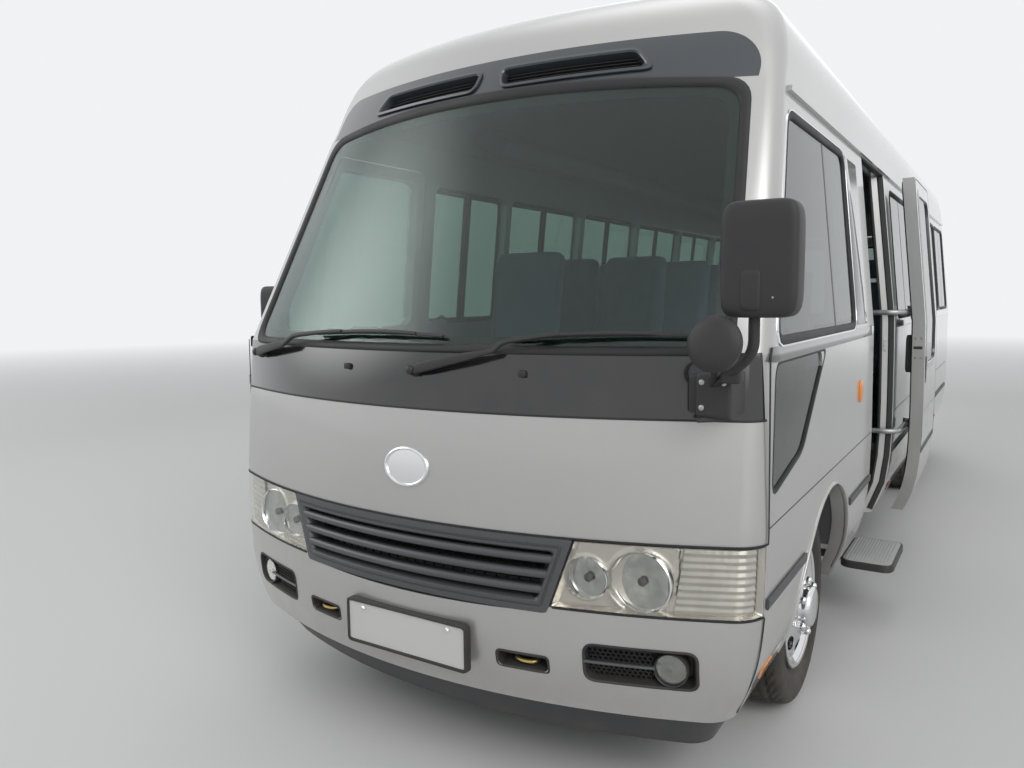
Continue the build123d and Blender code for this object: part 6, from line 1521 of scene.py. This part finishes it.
@dataclass
class Doorway:
    """Rubbers round the entrance, step mats with nosings, grab rails and the striker."""

    front_y: float = -1.380
    rear_y: float = -0.620
    top_z: float = 2.160
    bevel: float = 0.5

    def outline(self, depth: float, inset: float, low: float = 0.36) -> Points:
        """Open path up the front jamb, along the lintel and down the rear jamb, behind the skin."""
        front, top = self.front_y + inset, self.top_z - inset
        flat = rounded_path(((front, low), (front, top), (0.0, top), (0.0, low)), 0.008, 4, False)
        flat = np.vstack(
            [np.linspace(a, b, 12, endpoint=False) for a, b in zip(flat, flat[1:])] + [flat[-1:]]
        )
        x = Skin.side_x(flat[:, 1]) - depth
        rear = self.rear_y + self.bevel * (x - SIDE_X) - inset
        share = (flat[:, 0] - front) / -front
        return np.stack((x, front + share * (rear - self.front_y - inset), flat[:, 1]), 1)

    def rubber(self, depth: float, inset: float, profile: Points) -> Shape:
        """Profile carried round the opening: its foot lies on the jamb, which slants at the rear."""
        path = self.outline(depth, inset)
        slant = self.bevel * np.clip((path[:, 1] - self.rear_y + 0.15) / 0.10, 0, 1)
        across = np.stack((np.ones_like(slant), slant, np.zeros_like(slant)), 1)
        return sweep(path, profile, np.cross(tangents(path, False), across))

    def mat(self, x: tuple, y: tuple, z: float) -> Shape:
        """Ribbed step mat: its height is a rounded triangle wave across the step."""
        xs, ys = np.meshgrid(np.linspace(*x, int((x[1] - x[0]) / 0.0032)), np.linspace(*y, 12), indexing="ij")
        wave = np.abs((xs / 0.0128) % 1 - 0.5) * 2
        top = np.stack((xs, ys, z + 0.0025 + 0.0016 * wave), -1)
        low = np.stack((xs, ys, np.full_like(xs, z + 0.0004)), -1)
        return closed_slab(top, low)

    def nosing(self, x: float, z: float, y: tuple) -> Shape:
        """Angle strip over a step's edge."""
        # The path runs forwards, so X in the section points into the bus
        profile = (
            (0.032, 0.0), (0.032, 0.0045), (-0.003, 0.0045), (-0.003, -0.030), (0.0, -0.030), (0.0, 0.0)
        )
        return sweep(((x, y[1], z), (x, y[0], z)), profile, UP)

    def build(self) -> None:
        """Everything that stays on the body at the entrance."""
        outer = self.rubber(0.017, 0.0, box_profile(0.030, 0.011, 0.004))
        inner = self.rubber(0.066, -0.004, round_profile(0.009, 12))
        add_piece("doorway_rubbers", merge([outer, inner]), Finishes.seal, smooth=50, slot="grey_plastic")
        span = (self.front_y + 0.010, self.rear_y - 0.075)
        mats = (
            ((0.690, 0.905), span, 0.420),
            ((0.470, 0.660), span, 0.570),
            ((0.06, 0.440), (-1.60, -0.62), 0.720),
        )
        add_piece(
            "step_mats", merge([self.mat(*mat) for mat in mats]), Finishes.floor, smooth=20,
            slot="floor_vinyl",
        )
        nosings = [self.nosing(x, z, span) for x, z in ((0.6655, 0.570), (0.4655, 0.720))]
        add_piece("step_nosings", merge(nosings), Finishes.steel, smooth=20, slot="bright_steel")
        rails = []
        for x, y, low, high in ((0.868, -1.415, 0.80, 1.62), (0.470, -1.395, 0.80, 1.75)):
            wall, bar = y - 0.004, y + 0.02
            bends = ((x, wall, low - 0.05), (x, bar, low), (x, bar, high), (x, wall, high + 0.05))
            rails.append(
                sweep(rounded_path(bends, 0.03, 6, False), round_profile(0.014, 16), (1.0, 0.0, 0.0))
            )
        add_piece("grab_rails", merge(rails), Finishes.chrome, slot="bright_steel")
        z = 1.262
        x = float(Skin.side_x(z)) - 0.044
        plate = puffed_box((-0.010, -0.002, -0.034), (0.010, 0.002, 0.034), 0.2)
        pin = lathe(
            ((0.0, 0.006), (0.003, 0.006), (0.0035, 0.008), (0.0055, 0.0075)), (0.0, 0.0, 0.0), AHEAD, 20
        )
        heads = [screw((0.0, -0.002, at), AHEAD, 0.004, 0.002) for at in (-0.024, 0.024)]
        turned = merge([plate, pin, *heads]).turned(Matrix.Rotation(math.atan(self.bevel), 4, "Z"))
        striker = turned.moved((x, self.rear_y + self.bevel * (x - SIDE_X), z))
        add_piece("door_striker", striker, Finishes.steel, slot="bright_steel")


@dataclass
class EntranceDoorLooks:
    """Rubbers, screws, latch, handle and strips that move with the entrance door."""

    front_y: float = -1.371
    rear_y: float = -0.629
    low_z: float = 0.352
    top_z: float = 2.150
    glass: tuple = ((-1.275, 1.150), (-0.760, 1.150), (-0.760, 2.075), (-1.275, 2.075))

    def edge_line(self, out: float, width: float, height: float, inset: float, low: float = 0.0) -> Shape:
        """Strip round the door's outline on a surface parallel to the skin; the rear edge slants with X."""
        low_z, front, rear = self.low_z + low, self.front_y, self.rear_y
        corners = inset_corners(rect(front, rear, low_z, self.top_z), inset)
        flat = resample(rounded_path(corners, 0.03), pitch=0.05)
        slant = Doorway.bevel * (Skin.side_x(flat[:, 1]) + out - SIDE_X) / (rear - front)
        path = on_side(front + (flat[:, 0] - front) * (1 + slant), flat[:, 1], out)
        return sweep(
            path, box_profile(width, height, min(width, height) * 0.3), Skin.normals(path), closed=True
        )

    def build(self) -> None:
        """Pieces drawn on the shut door and moved out with it."""
        inner, outer = (-0.0638, 0.024, 0.007, 0.024, 0.090), (-0.001, 0.007, 0.0024, 0.004)
        rubber = merge([self.edge_line(*inner), self.edge_line(*outer)])
        steps = (
            (-0.030, -0.002), (-0.030, 0.0012), (-0.012, 0.0016), (-0.006, 0.0034),
            (0.006, 0.003), (0.010, -0.003), (0.012, -0.014),
        )
        ring = window_ring(self.glass, 0.06, steps)
        strip = side_strip(self.front_y + 0.012, self.rear_y - 0.012, STRIP_Z, 0.030, 0.0055, 0.002)
        # Painted shade: the black line along the body crease, carried across the door.
        crease = side_strip(self.front_y + 0.004, self.rear_y - 0.004, CREASE_Z, 0.004, 0.0012, 0.0004)
        x_mid = float(Skin.side_x(1.25)) - 0.030
        places = [(x, z) for x in (x_mid - 0.014, x_mid + 0.014) for z in (1.195, 1.300)]
        heads = merge([screw((x, self.front_y, z), AHEAD, 0.0042, 0.002) for x, z in places])
        # Boxes as offsets in X from a line on the door, in Y from its front edge, and in Z
        pull_z = 1.125
        pull_x, inside = float(Skin.side_x(pull_z)), float(Skin.side_x(1.21)) - 0.0605
        boxes = (
            (x_mid, (-0.024, 0.020), (-0.0015, 0.004), (1.240, 1.256), 0.3),
            (pull_x, (-0.004, 0.003), (0.080, 0.112), (pull_z - 0.075, pull_z + 0.075), 0.35),
            (inside, (-0.036, 0.002), (0.030, 0.092), (1.110, 1.315), 0.3),
        )
        handles = []
        for line, x, y, z, power in boxes:
            low, high = ((line + x[k], self.front_y + y[k], z[k]) for k in range(2))
            handles.append(puffed_box(low, high, power))
        # Columns: name, shape, how far it lies inside the open door's place, finish, smoothing, slot
        table = (
            ("door_rubbers", rubber, 0.0, Finishes.seal, 50, "grey_plastic"),
            ("door_glass_frame", ring, 0.0, Finishes.gloss_black, 50, "black_gloss"),
            ("door_strip", strip, 0.0024, Finishes.strip_grey, 35, "grey_plastic"),
            ("door_crease", crease, 0.0012, Finishes.seal, 35, "black_gloss"),
            ("door_screws", heads, 0.0, Finishes.steel, 30, "bright_steel"),
            ("door_handles", merge(handles), 0.0, Finishes.moulding, 38, "grey_plastic"),
        )
        for name, shape, sunk, finish, smooth, slot in table:
            add_piece(name, shape.moved(OPEN_SHIFT - (sunk, 0.0, 0.0)), finish, "entrance_door", smooth, slot)


@dataclass
class EntryStepLooks:
    """Tread with round studs, a dark rounded rim, and the two slide arms."""

    x: tuple = (0.930, 1.160)
    y: tuple = (-1.455, -1.020)
    z: tuple = (0.262, 0.300)
    arm_half: float = 0.0165

    def plate(self, inset: float, low: float, high: float, radius: float) -> Shape:
        """Plate with round corners and a softened upper edge."""
        steps = (
            (0.004, low), (0.0, low + 0.004), (0.0, high - 0.005), (0.0015, high - 0.0015), (0.005, high)
        )
        rings = []
        for step, height in steps:
            flat = resample(rounded_path(inset_corners(rect(*self.x, *self.y), inset + step), radius), 88)
            rings.append(np.column_stack((flat, np.full(88, height))))
        return stack_rings(rings)

    def studs(self) -> Shape:
        """Rows of low round studs: each is a ring of eight points and a raised middle."""
        spans = [np.arange(low + 0.026, high - 0.020, 0.0135) for low, high in (self.x, self.y)]
        xs, ys = np.meshgrid(*spans, indexing="ij")
        top, sides = self.z[1], 8
        a = np.linspace(0, 2 * np.pi, sides, endpoint=False)
        steps = ((0.0042, top - 0.0006), (0.0036, top + 0.0012), (0.0018, top + 0.0018))
        stud = stack_rings([np.stack((r * np.cos(a), r * np.sin(a), np.full(sides, h)), 1) for r, h in steps])
        return merge([stud.moved((x, y, 0.0)) for x, y in zip(xs.ravel(), ys.ravel())])

    def build(self) -> None:
        """Rim and arms in black, tread in light grey."""
        rim = self.plate(0.0, self.z[0], self.z[1] - 0.003, 0.050)
        section = box_profile(2 * self.arm_half, 0.031, 0.003)
        arms = [sweep(((0.462, y, 0.280), (0.940, y, 0.280)), section, UP) for y in (-1.330, -1.120)]
        base = add_piece(
            "entry_step_frame", merge([rim, *arms]), Finishes.moulding, "entry_step", 35, "raw_steel"
        )
        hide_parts("entry_step")
        tread = merge([self.plate(0.010, self.z[1] - 0.006, self.z[1] - 0.0004, 0.042), self.studs()])
        add_piece("entry_step_tread", tread, Finishes.tread_grey, "entry_step", 30, "raw_steel")


@dataclass
class Wipers:
    """Two arms with hooded pivots and bowed blades with their rubbers."""

    # Columns: pivot, blade start, blade end, share of the blade where the arm meets it
    table: tuple = (
        ((-0.874, -3.270, 1.342), (-0.452, -3.373, 1.418), (0.118, -3.413, 1.422), 0.255),
        ((0.023, -3.443, 1.321), (0.349, -3.392, 1.416), (0.833, -3.257, 1.427), 0.290),
    )

    def arm(self, pivot: Points, grip: Points) -> Shape:
        """Arm whose width falls from the hood at the pivot to the hook on the blade."""
        t = np.linspace(0, 1, 24)
        path = settle(pivot + t[:, None] * (grip - pivot), 0.0)
        lift = 0.020 + 0.014 * np.sin(np.pi * t) ** 0.7
        path = path + lift[:, None] * Skin.normals(path)
        scale = np.interp(t, (0, 0.05, 0.12, 0.45, 0.55, 1.0), (0.8, 1.35, 1.4, 1.0, 0.62, 0.5))
        return sweep(path, box_profile(0.024, 0.013, 0.005), Skin.normals(path), scale=scale)

    def blade(self, start: Points, end: Points) -> Shape:
        """Rubber on the glass, its spine over it, and a bow that stands on them."""
        t = np.linspace(0, 1, 40)
        line = settle(start + t[:, None] * (end - start))
        normal = Skin.normals(line)
        rubber = sweep(line + 0.0045 * normal, box_profile(0.004, 0.009, 0.001, 1), normal)
        spine = sweep(line + 0.0105 * normal, box_profile(0.010, 0.004, 0.001, 1), normal)
        mid = t[(t > 0.16) & (t < 0.84)]
        path = settle(start + mid[:, None] * (end - start))
        rise = 0.012 + 0.010 * np.sin(np.pi * (mid - 0.16) / 0.68) ** 0.5
        path = path + rise[:, None] * Skin.normals(path)
        return merge([rubber, spine, sweep(path, box_profile(0.011, 0.006, 0.002, 1), Skin.normals(path))])

    def build(self) -> None:
        """Both wipers, in place of the CAD rods."""
        shapes = []
        for pivot, start, end, share in self.table:
            pivot, start, end = (np.array(v) for v in (pivot, start, end))
            grip = start + share * (end - start)
            shapes += [self.arm(pivot, grip), self.blade(start, end)]
            foot = settle(pivot[None])[0]
            normal = Skin.normals(foot[None])[0]
            post = ((-0.006, 0.021), (0.006, 0.020), (0.012, 0.015), (0.030, 0.014))
            shapes += [lathe(post, foot, normal, 24), dome(foot + 0.026 * normal, normal, 0.015, 0.010)]
        piece = add_piece("wiper_arms", merge(shapes), Finishes.moulding, smooth=35, slot="grey_plastic")
        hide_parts("wipers")


# Rear
@dataclass
class RearDetails:
    """Lamps, window rubbers, handles and strips at the tail."""

    lamp_x: tuple = (0.840, 0.935)
    # Columns: low and high Z of each lens, finish
    lenses: tuple = ((0.730, 0.842, "white_lens"), (0.846, 0.984, "red"), (0.988, 1.130, "amber"))

    def lens(self, low: float, high: float) -> Shape:
        """Lens with a crowned face and soft edges, standing on the tail."""
        x = (self.lamp_x[0] + self.lamp_x[1]) / 2
        y = float(Skin.rear_y(x, (low + high) / 2))
        return puffed_box((self.lamp_x[0], y - 0.020, low), (self.lamp_x[1], y + 0.014, high), 0.16, 17, 32)

    def build(self) -> None:
        """Everything on the tail; the leaves carry their own pieces."""
        for low, high, name in self.lenses:
            lens = both(self.lens(low, high))
            piece = add_piece(f"rear_lens_{name}", lens, getattr(Finishes, name), smooth=40, slot="red_lens")
            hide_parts("rear_lamps")
        corners = [(-x, z) for x, z in rect(0.832, 0.943, 0.722, 1.138)]
        steps = ((0.0, -0.004), (0.0, 0.005), (0.007, 0.006), (0.008, -0.002))
        bezel = rim_surface(corners, steps, 0.012, on_rear, 96, lid=False)
        add_piece("rear_lamp_bezels", both(bezel), Finishes.moulding, smooth=40, slot="grey_plastic")
        steps = (
            (-0.016, -0.002), (-0.015, 0.003), (-0.004, 0.004), (0.008, 0.002), (0.013, -0.004),
            (0.014, -0.012),
        )
        ring = rim_surface(rect(-0.690, -0.110, 1.330, 2.010), steps, 0.07, on_rear, 120, lid=False)
        for side in Side:
            body, sign = f"rear_door_{side.name.lower()}", side.value
            # The ring is drawn on the X- side
            shape = ring.mirrored() if side is Side.LEFT else ring
            add_piece(f"{body}_rubber", shape, Finishes.seal, body, 50, "grey_plastic")
            grip = sorted((sign * 0.036, sign * 0.144))
            handle = self.tail_box(grip, (1.095, 1.145), (-0.006, 0.012), float(Skin.rear_y(0.06, 1.12)), 0.3)
            add_piece(f"{body}_handle", handle, Finishes.moulding, body, 38, "grey_plastic")
            span = (sign * 0.64 - 0.045, sign * 0.64 + 0.045)
            reflector = self.tail_box(
                span, (0.78, 0.82), (-0.004, 0.008), float(Skin.rear_y(0.64, 0.80)), 0.2
            )
            add_piece(f"{body}_reflector", reflector, Finishes.red, body, 38, "red_lens")
        stop = self.tail_box(
            (-0.16, 0.16), (2.225, 2.262), (-0.012, 0.014), float(Skin.rear_y(0.0, 2.24)), 0.2
        )
        add_piece("high_stop_lamp", stop, Finishes.red, smooth=40, slot="red_lens")
        path = on_rear(np.linspace(-0.86, 0.86, 40), 0.56, -0.005)
        pad = sweep(path, box_profile(0.010, 0.046, 0.003), UP)
        add_piece("rear_bumper_pad", pad, Finishes.strip_grey, slot="grey_plastic")

    def tail_box(self, x: tuple, z: tuple, out: tuple, y: float, power: float) -> Shape:
        """Soft-edged box on the tail, from its spans in X and Z and two heights over the tail at Y."""
        return puffed_box((x[0], y + out[0], z[0]), (x[1], y + out[1], z[1]), power)


# Inside
@dataclass
class Cabin:
    """Ceiling, air ducts, dashboard hood, instruments and steering wheel."""

    def ceiling(self) -> Shape:
        """Curved headliner: it drops towards the sides as the roof does."""
        x, y = np.meshgrid(np.linspace(-0.86, 0.86, 33), np.linspace(-2.52, 3.05, 60), indexing="ij")
        z = 2.520 - 0.34 * np.abs(x / 0.93) ** 4
        low = np.stack((x, y, z), -1)
        return closed_slab(low, low + (0, 0, 0.012))

    def duct(self) -> Shape:
        """Air duct along each side of the ceiling, with its outlets."""
        y = np.linspace(-1.9, 2.9, 20)
        outlet = ((0.0, 0.030), (0.006, 0.030), (0.008, 0.024), (0.004, 0.020), (0.004, 0.002))
        tubes, outlets = [], []
        for x in (-0.72, 0.72):
            lean = -np.sign(x) * 0.5
            path = np.stack((np.full_like(y, x), y, np.full_like(y, 2.330)), 1)
            tubes.append(sweep(path, box_profile(0.20, 0.10, 0.035), (lean, 0.0, 1.0)))
            for at in np.arange(-1.5, 2.8, 0.76):
                outlets.append(lathe(outlet, (x * 0.93, at, 2.285), (lean, 0.0, -1.0), 20))
        return merge(tubes + outlets)

    def hood(self) -> Shape:
        """Hood over the instruments: a crowned shell over the driver's side of the dashboard."""
        return puffed_box((-0.760, -3.080, 1.230), (-0.290, -2.925, 1.335), 0.45, 21, 40)

    def dials(self) -> Shape:
        """Two dial rims and two small gauges on the instrument face."""
        shapes = []
        for x, radius in ((-0.600, 0.048), (-0.450, 0.048), (-0.525, 0.026), (-0.365, 0.026)):
            inner = ((0.007, radius * 0.9), (0.001, radius * 0.86), (0.001, 0.002))
            shapes.append(
                lathe(((-0.004, radius), (0.006, radius), *inner), (x, -2.926, 1.275), (0.0, 1.0, 0.25), 40)
            )
        return merge(shapes)

    def wheel(self) -> Shape:
        """Steering wheel with a grip, three spokes, a pad and its column."""
        hub, foot = np.array((-0.520, -2.700, 1.150)), np.array((-0.520, -3.010, 0.720))
        axis = unit(hub - foot)
        e1 = np.array((1.0, 0.0, 0.0))
        e2 = np.cross(axis, e1)
        a = np.linspace(0, 2 * np.pi, 72, endpoint=False)
        ring = hub + 0.202 * (np.cos(a)[:, None] * e1 + np.sin(a)[:, None] * e2)
        shapes = [sweep(ring, round_profile(0.0135, 14), axis, closed=True)]
        for turn in (-0.35, np.pi + 0.35, np.pi / 2 * 3):
            tip = hub + 0.196 * (math.cos(turn) * e1 + math.sin(turn) * e2)
            t = np.linspace(0, 1, 8)[:, None]
            path = hub + t * (tip - hub) - axis * 0.012 * np.sin(np.pi * t) ** 2
            shapes.append(sweep(path, box_profile(0.034, 0.010, 0.004), axis))
        pad = (
            (-0.030, 0.040), (-0.010, 0.066), (0.010, 0.066), (0.020, 0.055), (0.024, 0.030), (0.025, 0.001)
        )
        shapes.append(lathe(pad, hub, axis, 40))
        shapes.append(sweep(np.stack((foot, hub - axis * 0.02)), round_profile(0.024, 20), e1))
        return merge(shapes)

    def build(self) -> None:
        """All of it; the wheel stands for the CAD one."""
        add_piece("ceiling_liner", self.ceiling(), Finishes.lining, smooth=50, slot="floor_vinyl")
        add_piece("ceiling_ducts", self.duct(), Finishes.lining, smooth=40, slot="floor_vinyl")
        add_piece("dash_hood", self.hood(), Finishes.dash, smooth=50, slot="grey_plastic")
        add_piece("dash_dials", self.dials(), Finishes.moulding, slot="grey_plastic")
        wheel = add_piece("driver_wheel", self.wheel(), Finishes.moulding, smooth=50, slot="grey_plastic")
        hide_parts("steering_wheel")


@dataclass
class Seats:
    """Padded cushions and backs, swelled by cloth simulation, on the places of the CAD seats."""

    width: float = 0.417
    depth: float = 0.430
    back_height: float = 0.73
    cushion_z: tuple = (1.060, 1.150)
    pitch: float = 0.760
    first_y: float = -1.640
    # Cap on how far a vertex swells, and the settings of the simulation
    swell: float = 0.014
    voxel: float = 0.026
    pressure: float = 4.0
    frames: int = 20

    def places(self) -> list:
        """Low X, high X and front Y of every seat."""
        pair = ((-0.915, -0.498), (-0.492, -0.075))
        rows = [(*span, self.first_y + i * self.pitch) for i in range(6) for span in pair]
        rows += [(0.490, 0.915, self.first_y + i * self.pitch) for i in range(2, 6)]
        return [(-0.740, -0.300, -2.430)] + rows

    def pad(self, shape: Shape, name: str) -> Shape:
        """Swells a closed shape with pressure.

        The shape is remeshed, cloth with inner pressure runs for some frames without gravity, each
        vertex is held within the cap of its start, and one subdivision rounds the result.
        """
        obj = linked(name, mesh_of(name, shape))
        remesh = obj.modifiers.new("even", "REMESH")
        remesh.mode = "VOXEL"
        remesh.voxel_size = self.voxel
        self.bake(obj)
        start = read(obj.data.vertices, "co")
        cloth = obj.modifiers.new("cloth", "CLOTH")
        cloth.settings.use_pressure = True
        cloth.settings.uniform_pressure_force = self.pressure
        cloth.settings.effector_weights.gravity = 0.0
        cloth.point_cache.frame_end = self.frames
        scene = bpy.context.scene
        for number in range(1, self.frames + 1):
            scene.frame_set(number)
        self.bake(obj)
        move = read(obj.data.vertices, "co") - start
        length = np.linalg.norm(move, axis=1, keepdims=True)
        capped = start + move * np.minimum(1.0, self.swell / np.maximum(length, 1e-9))
        obj.data.vertices.foreach_set("co", capped.ravel())
        scene.frame_set(1)
        obj.modifiers.new("round", "SUBSURF").levels = 1
        self.bake(obj)
        result = Shape(read(obj.data.vertices, "co"), [tuple(p.vertices) for p in obj.data.polygons])
        bpy.data.objects.remove(obj)
        return result

    def bake(self, obj: bpy.types.Object) -> None:
        """Puts the result of an object's modifiers into its mesh and clears them."""
        graph = bpy.context.evaluated_depsgraph_get()
        graph.update()
        mesh = bpy.data.meshes.new_from_object(obj.evaluated_get(graph), depsgraph=graph)
        obj.modifiers.clear()
        obj.data = mesh

    def build(self) -> None:
        """One cushion and one back are swelled, then set at every place at its width."""
        inset, (low, top) = 0.010, self.cushion_z
        half = self.width / 2 - inset
        near, far = (-half, inset, low + 0.004), (half, self.depth - inset, top - 0.004)
        cushion = self.pad(puffed_box(near, far, 0.22, 25, 44), "cushion_start")
        back = puffed_box((-half, -0.038, 0.008), (half, 0.038, 0.722), 0.20, 33, 44)
        lean = 0.0475 + np.clip(back.points[:, 2] / self.back_height, 0, 1) * 0.112
        back.points = back.points + np.stack((0 * lean, lean, 0 * lean + low), 1)
        backrest = self.pad(back, "back_start")
        cushions, backs = [], []
        for x0, x1, y in self.places():
            scale = np.array(((x1 - x0) / self.width, 1.0, 1.0))
            middle = (x0 + x1) / 2
            cushions.append(Shape(cushion.points * scale, cushion.faces).moved((middle, y, 0.0)))
            back_y = y + self.depth + 0.0045
            backs.append(Shape(backrest.points * scale, backrest.faces).moved((middle, back_y, 0.0)))
        for name, shapes, node in (
            ("seat_pads", cushions, "seat_cushions"), ("seat_rests", backs, "seat_backs")
        ):
            piece = add_piece(name, merge(shapes), Finishes.cloth, smooth=60, slot="seat_fabric")
            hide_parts(node)


# Camera, light and stage
@dataclass
class Studio:
    """Camera at the photograph's angle, a pale floor, and soft lamps."""

    eye: tuple = (1.57847945, -5.34129421, 1.5360327)
    yaw: float = 32.35513749
    pitch: float = 6.1438326
    roll: float = -0.64445973
    # Focal length in pixels of a picture this wide, and the sensor's width in millimetres
    focal: float = 793.9364735960481
    picture_width: float = 1024.0
    sensor: float = 36.0
    floor_tone: tuple = (0.72, 0.72, 0.71)
    lamps: tuple = (
        # name, place, aim, size, power
        ("key", (10.0, -9.0, 8.5), (0.0, -1.0, 1.0), 15.0, 900.0),
        ("fill", (-11.0, -8.0, 7.5), (0.0, -2.0, 1.0), 14.0, 420.0),
        ("top", (0.0, 0.5, 10.5), (0.0, 0.0, 0.0), 13.0, 150.0),
        ("back", (-4.0, 12.0, 7.5), (0.0, 3.0, 1.0), 12.0, 120.0),
    )

    def camera(self) -> None:
        """Camera whose columns are its right, up and backward vectors, from yaw, pitch and roll."""
        yaw, pitch, roll = (math.radians(v) for v in (self.yaw, self.pitch, self.roll))
        ahead = Vector((-math.sin(yaw) * math.cos(pitch), math.cos(yaw) * math.cos(pitch), -math.sin(pitch)))
        level = Vector((math.cos(yaw), math.sin(yaw), 0.0))
        above = level.cross(ahead)
        right = level * math.cos(roll) + above * math.sin(roll)
        up = above * math.cos(roll) - level * math.sin(roll)
        matrix = Matrix((right, up, -ahead)).transposed().to_4x4()
        matrix.translation = Vector(self.eye)
        data = bpy.data.cameras.new("view")
        data.sensor_width = self.sensor
        data.lens = self.focal * self.sensor / self.picture_width
        data.clip_end = 300.0
        camera = linked("view", data)
        camera.matrix_world = matrix
        bpy.context.scene.camera = camera

    def soften(self, data: bpy.types.AreaLight) -> None:
        """Lets a lamp's strength fall smoothly to nothing at its edge, so that no disc is mirrored."""
        data.use_nodes = True
        tree = data.node_tree
        place = add_node(tree, "NewGeometry")
        centre = add_node(tree, "VectorMath", {1: (0.5, 0.5, 0.0)}, operation="SUBTRACT")
        reach = add_node(tree, "VectorMath", operation="LENGTH")
        drop = {"From Min": 0.05, "From Max": 0.49, "To Min": 2.8, "To Max": 0.0}
        fall = add_node(tree, "MapRange", drop, interpolation_type="SMOOTHSTEP")
        wire(
            tree,
            (place, "Parametric", centre, 0),
            (centre, 0, reach, 0),
            (reach, "Value", fall, "Value"),
            (fall, 0, tree.nodes["Emission"], "Strength"),
        )

    def light(self) -> None:
        """Area lamps aimed at the bus, and an even world that cameras, gloss and glass see as pale."""
        for name, place, aim, size, power in self.lamps:
            data = bpy.data.lights.new(name, "AREA")
            data.shape = "DISK"
            data.size = size
            data.energy = power
            self.soften(data)
            lamp = linked(name, data)
            lamp.location = place
            lamp.rotation_euler = (Vector(aim) - Vector(place)).to_track_quat("-Z", "Y").to_euler()
        world = bpy.data.worlds.new("even_light")
        bpy.context.scene.world = world
        world.use_nodes = True
        tree = world.node_tree
        even = tree.nodes["Background"]
        even.inputs["Color"].default_value = (0.40, 0.41, 0.42, 1)
        pale = add_node(tree, "Background", {"Color": PALE})
        path = add_node(tree, "LightPath")
        seen, glass = (add_node(tree, "Math", operation="MAXIMUM") for _ in range(2))
        mix = add_node(tree, "MixShader")
        wire(
            tree,
            (path, "Is Camera Ray", seen, 0),
            (path, "Is Glossy Ray", seen, 1),
            (seen, 0, glass, 0),
            (path, "Is Transmission Ray", glass, 1),
            (glass, 0, mix, "Fac"),
            (even, 0, mix, 1),
            (pale, 0, mix, 2),
            (mix, 0, tree.nodes["World Output"], "Surface"),
        )

    def floor(self) -> None:
        """Round floor that takes the shadow near the bus and fades to the background far from it."""
        sides = 64
        ring = np.concatenate(([0.02], np.geomspace(2.0, 90.0, 12)))[:, None]
        a = np.linspace(0, 2 * np.pi, sides, endpoint=False)
        points = np.stack((ring * np.cos(a), ring * np.sin(a), np.full((len(ring), sides), -0.001)), -1)
        faces = grid_faces(len(ring), sides, wrap_cols=True) + [tuple(range(sides))]
        mesh = mesh_of("studio_floor", Shape(points.reshape(-1, 3), faces))
        material = bpy.data.materials.new("studio_floor")
        material.use_nodes = True
        tree = material.node_tree
        shader = tree.nodes["Principled BSDF"]
        set_inputs(shader, {"Base Color": (*self.floor_tone, 1), "Roughness": 0.8, "Specular IOR Level": 0.1})
        place = add_node(tree, "TexCoord")
        far = add_node(tree, "VectorMath", operation="LENGTH")
        fade = add_node(tree, "MapRange", {"From Min": 8.0, "From Max": 28.0})
        glow = add_node(tree, "Emission", {"Color": PALE})
        mix = add_node(tree, "MixShader")
        wire(
            tree,
            (place, "Object", far, 0),
            (far, "Value", fade, "Value"),
            (fade, 0, mix, "Fac"),
            (shader, 0, mix, 1),
            (glow, 0, mix, 2),
            (mix, 0, tree.nodes["Material Output"], "Surface"),
        )
        mesh.materials.append(material)
        linked("studio_floor", mesh)


class PlainNodes:
    """CAD nodes that keep their own mesh and get a finish."""

    finishes: dict = {
        "chassis_frame": Finishes.chassis,
        "floor_pan": Finishes.floor,
        "entrance_well": Finishes.floor,
        "bumper_lip": Finishes.lip_black,
        "engine_block": Finishes.cast,
        "fuel_tank": Finishes.chassis,
        "exhaust": Finishes.steel,
        "front_suspension": Finishes.chassis,
        "rear_suspension": Finishes.chassis,
        "dashboard": Finishes.dash,
        "seat_legs": Finishes.moulding,
        "number_plate": Finishes.plate,
        "mudflaps": Finishes.flap,
        "door_arms": Finishes.steel,
        "knuckle_left": Finishes.cast,
        "knuckle_right": Finishes.cast,
        "track_rod": Finishes.chassis,
        "front_rim_left": Finishes.steel,
        "front_rim_right": Finishes.steel,
        "rear_rim_left": Finishes.steel,
        "rear_rim_right": Finishes.steel,
    }

    def build(self) -> None:
        """Puts each finish into the slots of its node."""
        for node, material in self.finishes.items():
            source = frame["nodes"][node]
            if not source.material_slots:
                source.data.materials.append(material)
            for item in source.material_slots:
                item.material = material


def main() -> None:
    """Builds the studio and every piece."""
    logging.basicConfig(level=logging.INFO, format="%(message)s")
    bpy.context.scene.view_settings.view_transform = "Standard"
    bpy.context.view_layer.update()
    studio = Studio()
    studio.camera()
    studio.light()
    studio.floor()
    PlainNodes().build()
    PanelSet().build()
    front = (Grille, HeadLamp, BumperDetails, FrontPanelDetails, Screen)
    sides = (SideTrim, WheelLooks, Mirrors, Doorway, EntranceDoorLooks, EntryStepLooks)
    for looks in (*front, *sides, Wipers, RearDetails, Cabin, Seats):
        looks().build()


if __name__ == "__main__":
    main()
